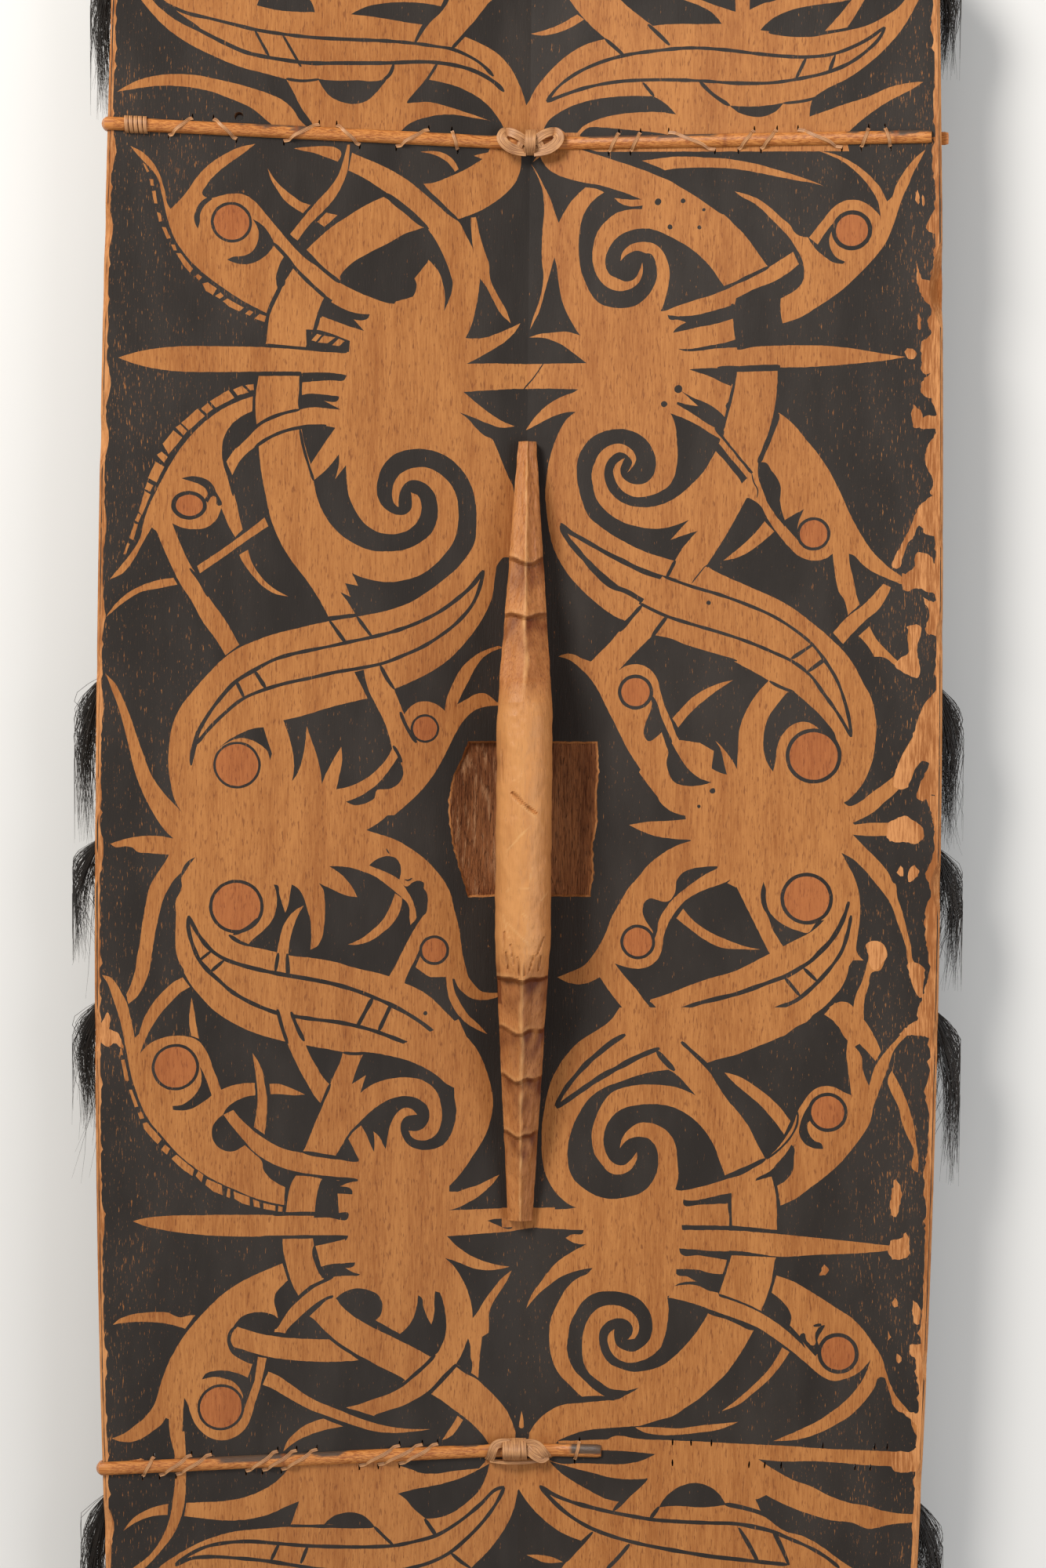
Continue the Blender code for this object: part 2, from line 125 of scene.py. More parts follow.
def wobble(x, y, z=0.0):
    return noise.noise(Vector((x, y, z)))


# Camera, floor and light

studio = {
    "cameraX": 0.0022,
    "cameraHeight": 1.955,
    "turn": 0.0092,
    "lens": 85.5,
    "floorColour": (0.80, 0.79, 0.77),
    "keyPower": 46,
    "keyPlace": (-1.10, 1.30, 1.62),
    "keySize": 0.9,
    "fillPower": 16,
    "fillPlace": (1.5, -0.3, 1.6),
    "fillSize": 1.6,
    "worldStrength": 0.42,
}


def aim(thing, target):
    thing.rotation_euler = (Vector(target) - thing.location).to_track_quat("-Z", "Y").to_euler()


def areaLight(name, place, size, power, colour):
    data = bpy.data.lights.new(name, "AREA")
    data.shape = "DISK"
    data.size = size
    data.energy = power
    data.color = colour
    light = bpy.data.objects.new(name, data)
    light.location = place
    aim(light, (0, 0, 0.03))
    bpy.context.scene.collection.objects.link(light)


def makeStudio():
    scene = bpy.context.scene
    lensData = bpy.data.cameras.new("camera")
    lensData.lens = studio["lens"]
    lensData.sensor_width = 36
    lensData.clip_end = 20
    camera = bpy.data.objects.new("camera", lensData)
    camera.location = (studio["cameraX"], 0, studio["cameraHeight"])
    camera.rotation_euler = (0, 0, studio["turn"])
    scene.collection.objects.link(camera)
    scene.camera = camera
    areaLight("key", studio["keyPlace"], studio["keySize"], studio["keyPower"], (1.0, 0.97, 0.93))
    areaLight("fill", studio["fillPlace"], studio["fillSize"], studio["fillPower"], (0.93, 0.96, 1.0))
    world = bpy.data.worlds.new("studio")
    world.use_nodes = True
    backdrop = world.node_tree.nodes["Background"]
    backdrop.inputs["Color"].default_value = (1, 0.99, 0.97, 1)
    backdrop.inputs["Strength"].default_value = studio["worldStrength"]
    scene.world = world
    scene.view_settings.view_transform = "Standard"
    floorMesh = bpy.data.meshes.new("floor")
    reach = 6
    floorMesh.from_pydata([(-reach, -reach, 0), (reach, -reach, 0), (reach, reach, 0), (-reach, reach, 0)], [],
                          [(0, 1, 2, 3)])
    floor = bpy.data.objects.new("floor", floorMesh)
    scene.collection.objects.link(floor)
    finish = bpy.data.materials.new("pale_floor")
    finish.use_nodes = True
    shader = finish.node_tree.nodes["Principled BSDF"]
    shader.inputs["Base Color"].default_value = (*studio["floorColour"], 1)
    shader.inputs["Roughness"].default_value = 0.9
    floorMesh.materials.append(finish)


makeStudio()
print("studio done")


# Shader groups, each built once and used by several materials

def groupOf(name, inputs, outputs):
    tree = bpy.data.node_groups.new(name, "ShaderNodeTree")
    for label, kind, value in inputs:
        socket = tree.interface.new_socket(label, in_out="INPUT", socket_type=kind)
        if value is not None:
            socket.default_value = value
    for label, kind in outputs:
        tree.interface.new_socket(label, in_out="OUTPUT", socket_type=kind)
    return tree, tree.nodes.new("NodeGroupInput"), tree.nodes.new("NodeGroupOutput")


def addNode(tree, kind, **settings):
    made = tree.nodes.new(kind)
    for key, value in settings.items():
        if key.startswith("in_"):
            made.inputs[key[3:].replace("_", " ")].default_value = value
        else:
            setattr(made, key, value)
    return made


def join(tree, source, target):
    tree.links.new(source, target)


def mathNode(tree, operation, first, second=None, third=None, clamp=False):
    made = addNode(tree, "ShaderNodeMath", operation=operation, use_clamp=clamp)
    for socket, value in zip(made.inputs, (first, second, third)):
        if value is None:
            continue
        if isinstance(value, (int, float)):
            socket.default_value = value
        else:
            join(tree, value, socket)
    return made.outputs[0]


def mixColour(tree, share, first, second, mode="MIX"):
    made = addNode(tree, "ShaderNodeMix", data_type="RGBA", blend_type=mode)
    for socket, value in ((made.inputs[0], share), (made.inputs[6], first), (made.inputs[7], second)):
        if isinstance(value, (int, float)):
            socket.default_value = value
        elif isinstance(value, tuple):
            socket.default_value = (*value, 1)
        else:
            join(tree, value, socket)
    return made.outputs[2]


def stepNode(tree, value, low, high):
    made = addNode(tree, "ShaderNodeMapRange", interpolation_type="SMOOTHSTEP")
    join(tree, value, made.inputs["Value"])
    made.inputs["From Min"].default_value = low
    made.inputs["From Max"].default_value = high
    return made.outputs["Result"]


def stretched(tree, source, scale, turn=0.0):
    made = addNode(tree, "ShaderNodeMapping")
    made.inputs["Scale"].default_value = scale
    made.inputs["Rotation"].default_value = (0, 0, turn)
    join(tree, source, made.inputs["Vector"])
    return made.outputs["Vector"]


def noiseAt(tree, vector, scale=1.0, detail=3.0, rough=0.55):
    made = addNode(tree, "ShaderNodeTexNoise", noise_dimensions="3D")
    made.inputs["Scale"].default_value = scale
    made.inputs["Detail"].default_value = detail
    made.inputs["Roughness"].default_value = rough
    join(tree, vector, made.inputs["Vector"])
    return made.outputs["Fac"]


def grainGroup():
    # wood fibre that runs along Y: streaks, dark flecks, slow clouds and the pores' height
    tree, given, result = groupOf(
        "woodFibre",
        [("Vector", "NodeSocketVector", None), ("Light", "NodeSocketColor", (0.55, 0.24, 0.08, 1)),
         ("Dark", "NodeSocketColor", (0.30, 0.10, 0.03, 1)), ("Fleck", "NodeSocketColor", (0.16, 0.05, 0.02, 1)),
         ("Fleck Amount", "NodeSocketFloat", 0.62), ("Cloud Amount", "NodeSocketFloat", 0.5)],
        [("Color", "NodeSocketColor"), ("Height", "NodeSocketFloat"), ("Streak", "NodeSocketFloat"),
         ("Cloud", "NodeSocketFloat")])
    place = given.outputs["Vector"]
    fine = noiseAt(tree, stretched(tree, place, (1100, 90, 1100)), detail=5, rough=0.65)
    wide = noiseAt(tree, stretched(tree, place, (75, 7, 75)), detail=5, rough=0.6)
    cloud = noiseAt(tree, stretched(tree, place, (20, 12, 20)), detail=5, rough=0.6)
    fleck = noiseAt(tree, stretched(tree, place, (1250, 210, 1250)), detail=2, rough=0.5)
    streak = mathNode(tree, "ADD", mathNode(tree, "MULTIPLY", fine, 0.55), mathNode(tree, "MULTIPLY", wide, 0.45))
    tone = mathNode(tree, "ADD", stepNode(tree, streak, 0.30, 0.66),
                    mathNode(tree, "MULTIPLY", mathNode(tree, "SUBTRACT", cloud, 0.5), given.outputs["Cloud Amount"]))
    base = mixColour(tree, mathNode(tree, "ADD", tone, 0.0, clamp=True), given.outputs["Dark"],
                     given.outputs["Light"])
    spots = mathNode(tree, "MULTIPLY", stepNode(tree, fleck, 0.57, 0.70), given.outputs["Fleck Amount"])
    join(tree, mixColour(tree, spots, base, given.outputs["Fleck"]), result.inputs["Color"])
    join(tree, mathNode(tree, "SUBTRACT", fine, mathNode(tree, "MULTIPLY", spots, 0.5)), result.inputs["Height"])
    join(tree, streak, result.inputs["Streak"])
    join(tree, cloud, result.inputs["Cloud"])
    return tree


fibre = grainGroup()


def placeGroup(tree, group, vector, **values):
    made = addNode(tree, "ShaderNodeGroup", node_tree=group)
    join(tree, vector, made.inputs["Vector"])
    for key, value in values.items():
        socket = made.inputs[key.replace("_", " ")]
        socket.default_value = (*value, 1) if isinstance(value, tuple) else value
    return made


def newFinish(name, roughness):
    made = bpy.data.materials.new(name)
    made.use_nodes = True
    tree = made.node_tree
    shader = tree.nodes["Principled BSDF"]
    shader.inputs["Roughness"].default_value = roughness
    coords = tree.nodes.new("ShaderNodeTexCoord").outputs["Object"]
    return made, tree, shader, coords


def bumpInto(tree, shader, height, strength, distance):
    made = addNode(tree, "ShaderNodeBump")
    made.inputs["Strength"].default_value = strength
    made.inputs["Distance"].default_value = distance
    join(tree, height, made.inputs["Height"])
    join(tree, made.outputs["Normal"], shader.inputs["Normal"])


woodColours = {
    "light": (0.485, 0.198, 0.056),
    "dark": (0.300, 0.098, 0.023),
    "fleck": (0.165, 0.046, 0.013),
    "paint": (0.021, 0.016, 0.013),
    "paintWorn": (0.037, 0.029, 0.024),
    "eye": (0.40, 0.115, 0.045),
    "worn": (0.62, 0.27, 0.095),
    "pocket": (0.155, 0.048, 0.017),
    "pocketLight": (0.42, 0.17, 0.07),
}


def paintedWood():
    # the paint mask's red says paint, and painted shade on the walls inside the slits and the hole; green says eye and
    # blue says bare, worn or cut wood
    made, tree, shader, coords = newFinish("carved_wood", 0.6)
    grain = placeGroup(tree, fibre, coords, Light=woodColours["light"], Dark=woodColours["dark"],
                       Fleck=woodColours["fleck"])
    mask = addNode(tree, "ShaderNodeVertexColor", layer_name="paintMask")
    parts = addNode(tree, "ShaderNodeSeparateColor")
    join(tree, mask.outputs["Color"], parts.inputs["Color"])
    paint, eye, bare = parts.outputs[0], parts.outputs[1], parts.outputs[2]
    across = addNode(tree, "ShaderNodeSeparateXYZ")
    join(tree, coords, across.inputs[0])
    outward = stepNode(tree, mathNode(tree, "ABSOLUTE", across.outputs["X"]), 0.10, 0.215)
    # pores that the paint never filled, and more of them towards the rims
    pores = noiseAt(tree, stretched(tree, coords, (1650, 210, 1650)), detail=4, rough=0.65)
    patches = noiseAt(tree, stretched(tree, coords, (34, 13, 34)), detail=3)
    limit = mathNode(tree, "ADD", mathNode(tree, "MULTIPLY", outward, -0.048),
                     mathNode(tree, "MULTIPLY", mathNode(tree, "SUBTRACT", patches, 0.5), -0.14))
    speckle = stepNode(tree, mathNode(tree, "SUBTRACT", pores, limit), 0.655, 0.715)
    coat = mixColour(tree, stepNode(tree, patches, 0.3, 0.75), woodColours["paint"], woodColours["paintWorn"])
    painted = mixColour(tree, mathNode(tree, "MULTIPLY", speckle, 0.75), coat, grain.outputs["Color"])
    colour = mixColour(tree, paint, grain.outputs["Color"], painted)
    eyeColour = mixColour(tree, 0.15, mixColour(tree, 1.0, grain.outputs["Color"], (0.90, 0.74, 0.72), "MULTIPLY"),
                          woodColours["eye"])
    colour = mixColour(tree, eye, colour, eyeColour)
    wornColour = mixColour(tree, stepNode(tree, grain.outputs["Streak"], 0.40, 0.60), woodColours["dark"],
                           woodColours["worn"])
    colour = mixColour(tree, bare, colour, wornColour)
    join(tree, colour, shader.inputs["Base Color"])
    shader.inputs["Specular IOR Level"].default_value = 0.22
    rough = mathNode(tree, "ADD", mathNode(tree, "MULTIPLY", paint, 0.06), 0.54)
    join(tree, mathNode(tree, "ADD", rough, mathNode(tree, "MULTIPLY", grain.outputs["Streak"], 0.1)),
         shader.inputs["Roughness"])
    height = mathNode(tree, "ADD", grain.outputs["Height"], mathNode(tree, "MULTIPLY", patches, 1.5))
    bumpInto(tree, shader, height, 0.35, 0.0006)
    return made


def handleWood():
    # red says dirt and painted shade below the carved steps, painted shade on the right side, on the grip's left face
    # and underneath, and darker gouges and splits; green says polish by hands; blue fresh bare wood, and a painted
    # highlight on the lip above each step
    made, tree, shader, coords = newFinish("handle_wood", 0.45)
    shader.inputs["Specular IOR Level"].default_value = 0.3
    grain = placeGroup(tree, fibre, coords, Light=(0.54, 0.22, 0.066), Dark=(0.36, 0.12, 0.031),
                       Fleck=(0.24, 0.08, 0.025))
    mask = addNode(tree, "ShaderNodeVertexColor", layer_name="paintMask")
    parts = addNode(tree, "ShaderNodeSeparateColor")
    join(tree, mask.outputs["Color"], parts.inputs["Color"])
    dirtAndShade = mixColour(tree, 1.0, grain.outputs["Color"], (0.27, 0.155, 0.115), "MULTIPLY")
    colour = mixColour(tree, parts.outputs[0], grain.outputs["Color"], dirtAndShade)
    polished = mixColour(tree, 0.62, grain.outputs["Color"], (0.69, 0.33, 0.115))
    colour = mixColour(tree, parts.outputs[1], colour, polished)
    colour = mixColour(tree, parts.outputs[2], colour, (0.70, 0.37, 0.145))
    join(tree, colour, shader.inputs["Base Color"])
    join(tree, mathNode(tree, "SUBTRACT", 0.52, mathNode(tree, "MULTIPLY", parts.outputs[1], 0.18)),
         shader.inputs["Roughness"])
    dents = noiseAt(tree, stretched(tree, coords, (110, 50, 110)), detail=3)
    height = mathNode(tree, "ADD", grain.outputs["Height"], mathNode(tree, "MULTIPLY", dents, 1.6))
    bumpInto(tree, shader, height, 0.4, 0.0007)
    return made


def cutWood():
    # the pocket's torn, unpainted floor
    made, tree, shader, coords = newFinish("pocket_wood", 0.75)
    shader.inputs["Specular IOR Level"].default_value = 0.15
    grain = placeGroup(tree, fibre, coords, Light=(0.36, 0.13, 0.045), Dark=(0.10, 0.028, 0.010),
                       Fleck=(0.04, 0.012, 0.006), Cloud_Amount=1.2)
    torn = noiseAt(tree, stretched(tree, coords, (420, 60, 420)), detail=5, rough=0.7)
    side = addNode(tree, "ShaderNodeSeparateXYZ")
    join(tree, coords, side.inputs[0])
    # the torn fibres are paler on the left half of the floor, a painted light
    lit = mathNode(tree, "SUBTRACT", 1, stepNode(tree, side.outputs["X"], -0.034, 0.012))
    pale = mathNode(tree, "MULTIPLY", stepNode(tree, torn, 0.50, 0.66), mathNode(tree, "ADD", lit, 0.15))
    colour = mixColour(tree, mathNode(tree, "MULTIPLY", pale, 0.8), grain.outputs["Color"], (0.50, 0.25, 0.12))
    join(tree, colour, shader.inputs["Base Color"])
    bumpInto(tree, shader, mathNode(tree, "ADD", torn, grain.outputs["Height"]), 0.9, 0.0014)
    return made


def splitCane():
    # golden skin with long fibres, browned here and there, and smudged with the plank's paint
    made, tree, shader, coords = newFinish("split_cane", 0.38)
    mask = addNode(tree, "ShaderNodeVertexColor", layer_name="caneMask")
    parts = addNode(tree, "ShaderNodeSeparateColor")
    join(tree, mask.outputs["Color"], parts.inputs["Color"])
    along = noiseAt(tree, stretched(tree, coords, (28, 1700, 1700)), detail=4, rough=0.7)
    clouds = noiseAt(tree, stretched(tree, coords, (60, 60, 60)), detail=3)
    tone = mathNode(tree, "ADD", stepNode(tree, along, 0.38, 0.60),
                    mathNode(tree, "MULTIPLY", mathNode(tree, "SUBTRACT", clouds, 0.5), 0.9), clamp=True)
    colour = mixColour(tree, tone, (0.33, 0.095, 0.018), (0.63, 0.245, 0.060))
    colour = mixColour(tree, parts.outputs[0], colour, (0.045, 0.04, 0.034))
    colour = mixColour(tree, parts.outputs[1], colour, (0.26, 0.075, 0.02))
    join(tree, colour, shader.inputs["Base Color"])
    shader.inputs["Specular IOR Level"].default_value = 0.4
    bumpInto(tree, shader, along, 0.4, 0.0004)
    return made


def knotCane():
    # bent strips, lighter and drier than the canes, with the strand's own fibres along its UV
    made, tree, shader, coords = newFinish("knot_cane", 0.5)
    length = addNode(tree, "ShaderNodeAttribute", attribute_name="alongStrip").outputs["Fac"]
    width = addNode(tree, "ShaderNodeAttribute", attribute_name="acrossStrip").outputs["Fac"]
    place = addNode(tree, "ShaderNodeCombineXYZ")
    join(tree, mathNode(tree, "MULTIPLY", width, 2600), place.inputs["X"])
    join(tree, mathNode(tree, "MULTIPLY", length, 90), place.inputs["Y"])
    fibres = noiseAt(tree, place.outputs["Vector"], detail=4, rough=0.6)
    clouds = noiseAt(tree, stretched(tree, coords, (160, 160, 160)), detail=3)
    tone = mathNode(tree, "ADD", stepNode(tree, fibres, 0.36, 0.64),
                    mathNode(tree, "MULTIPLY", mathNode(tree, "SUBTRACT", clouds, 0.5), 0.8), clamp=True)
    colour = mixColour(tree, tone, (0.24, 0.092, 0.034), (0.62, 0.31, 0.125))
    join(tree, colour, shader.inputs["Base Color"])
    bumpInto(tree, shader, fibres, 0.4, 0.0004)
    return made


def darkHair():
    made, tree, shader, coords = newFinish("dark_hair", 0.42)
    tint = noiseAt(tree, stretched(tree, coords, (420, 18, 420)), detail=2)
    colour = mixColour(tree, tint, (0.010, 0.008, 0.007), (0.045, 0.034, 0.026))
    join(tree, colour, shader.inputs["Base Color"])
    shader.inputs["Specular IOR Level"].default_value = 0.6
    return made


finishes = {
    "plank": paintedWood(),
    "handle": handleWood(),
    "pocket": cutWood(),
    "cane": splitCane(),
    "knot": knotCane(),
    "hair": darkHair(),
}
print("materials done")


# The ornament: bare wood and ink in flat areas, drawn on sheets laid over the photograph

view = {
    "middle": (667, 1000),  # the photograph's pixel that the camera looks at
    "pixel": 0.0004,  # metres to a pixel at the rims
    "rimPlane": 0.055,
}

# each sheet's corner in the photograph and how much larger it is drawn
sheets = {
    "t1": (150, 0, 2.958), "t2": (660, 0, 2.825), "t3": (120, 1840, 2.8), "t4": (650, 1840, 2.877),
    **{column + str(row): (left, 180 + 280 * row, 4)
       for column, left in (("a", 125), ("b", 395), ("c", 640), ("d", 915)) for row in range(6)},
}

brush = {"step": 0.0013, "shake": 0.00016, "line": 3.2}


def onBack(px, py):
    # the place on the sloping back that a pixel of the photograph shows
    dx, dy = px - view["middle"][0], view["middle"][1] - py
    x, y = dx - studio["turn"] * dy, studio["turn"] * dx + dy
    eye = studio["cameraHeight"]
    unit = view["pixel"] / (eye - view["rimPlane"])
    a = x * unit
    side = 1 if a * (eye - plank["keelThickness"]) + studio["cameraX"] > keelX else -1
    level = eye - plank["keelThickness"] + side * keelX * backSlope
    bx = (studio["cameraX"] + a * level) / (1 + a * side * backSlope)
    return bx, y * unit * (eye - backZ(bx))


def heldIn(x, y):
    # paint stops at the worn arris
    limit = halfWidth(y) - plank["rimChamfer"] - 0.0016
    return max(-limit, min(limit, x)), y


def smoothLine(points, closed):
    # a curve through the points; one with a third value is a sharp corner
    places = [Vector(p[:2]) for p in points]
    sharp = [len(p) > 2 for p in points]
    count = len(points)
    slopes = []
    for k in range(count):
        if sharp[k] or (not closed and k in (0, count - 1)):
            slopes.append(None)
            continue
        back, on = places[k] - places[k - 1], places[(k + 1) % count] - places[k]
        la, lb = max(back.length, 1e-9), max(on.length, 1e-9)
        way = back / la * lb + on / lb * la
        slopes.append(way.normalized() if way.length > 1e-9 else on / lb)
    line = []
    for k in range(count if closed else count - 1):
        after = (k + 1) % count
        start, end = places[k], places[after]
        chord = end - start
        size = chord.length
        if size < 1e-9:
            continue
        near = slopes[k] * size if slopes[k] else None
        far = slopes[after] * size if slopes[after] else None
        if near is None and far is None:
            near = far = chord
        elif near is None:
            near = chord * 1.5 - far * 0.5
        elif far is None:
            far = chord * 1.5 - near * 0.5
        parts = max(1, round(size / brush["step"]))
        for step in range(parts):
            t = step / parts
            line.append(start * (2 * t ** 3 - 3 * t ** 2 + 1) + near * (t ** 3 - 2 * t ** 2 + t)
                        + end * (3 * t ** 2 - 2 * t ** 3) + far * (t ** 3 - t ** 2))
    if not closed:
        line.append(places[-1])
    return line


def shaken(line, amount, seed=0.0):
    # the small unevenness of a hand-held brush
    made = []
    for p in line:
        x = p.x + amount * (wobble(p.x * 420, p.y * 420, seed) + 0.7 * wobble(p.x * 1100, p.y * 1100, seed + 3))
        y = p.y + amount * (wobble(p.x * 420, p.y * 420, seed + 7) + 0.7 * wobble(p.x * 1100, p.y * 1100, seed + 9))
        made.append((x, y))
    return made


def sheetPoints(sheet, points):
    left, top, zoom = sheets[sheet]
    return [(*onBack(left + p[0] / zoom, top + p[1] / zoom), *p[2:]) for p in points]


def area(kind, sheet, points, shake=1.0):
    line = shaken(smoothLine(sheetPoints(sheet, points), True), brush["shake"] * shake, len(points))
    return kind, [heldIn(*p) for p in line]


def chip(sheet, points):
    return area("wood", sheet, [(x, y, 1) for x, y in points])


def stroke(sheet, points, width=None, kind="ink"):
    # a brush line with pointed ends; its width is in the photograph's pixels
    half = (width or brush["line"]) * view["pixel"] / 2
    line = smoothLine(sheetPoints(sheet, points), False)
    left, right = [], []
    for k, p in enumerate(line):
        ahead = line[min(k + 1, len(line) - 1)] - line[max(k - 1, 0)]
        if ahead.length < 1e-9:
            continue
        ahead.normalize()
        end = min(k, len(line) - 1 - k) / 1.5
        w = half * min(1.0, 0.45 + 0.55 * end) * (1 + 0.35 * wobble(p.x * 150, p.y * 150, 4))
        left.append((p.x - ahead.y * w, p.y + ahead.x * w))
        right.append((p.x + ahead.y * w, p.y - ahead.x * w))
    return kind, [heldIn(*p) for p in left + right[::-1]]


def disc(kind, sheet, centre, radius, squash=1.0):
    x, y = sheetPoints(sheet, [centre])[0]
    r = radius / sheets[sheet][2] * view["pixel"]
    turns = [2 * math.pi * k / 40 for k in range(40)]
    line = [Vector((x + r * math.cos(t), y + r * squash * math.sin(t))) for t in turns]
    return kind, shaken(line, brush["shake"], x * 100)


def eyeOf(sheet, centre, radius, ring=7):
    return [disc("ink", sheet, centre, radius + ring / 2), disc("eye", sheet, centre, radius - ring / 2)]


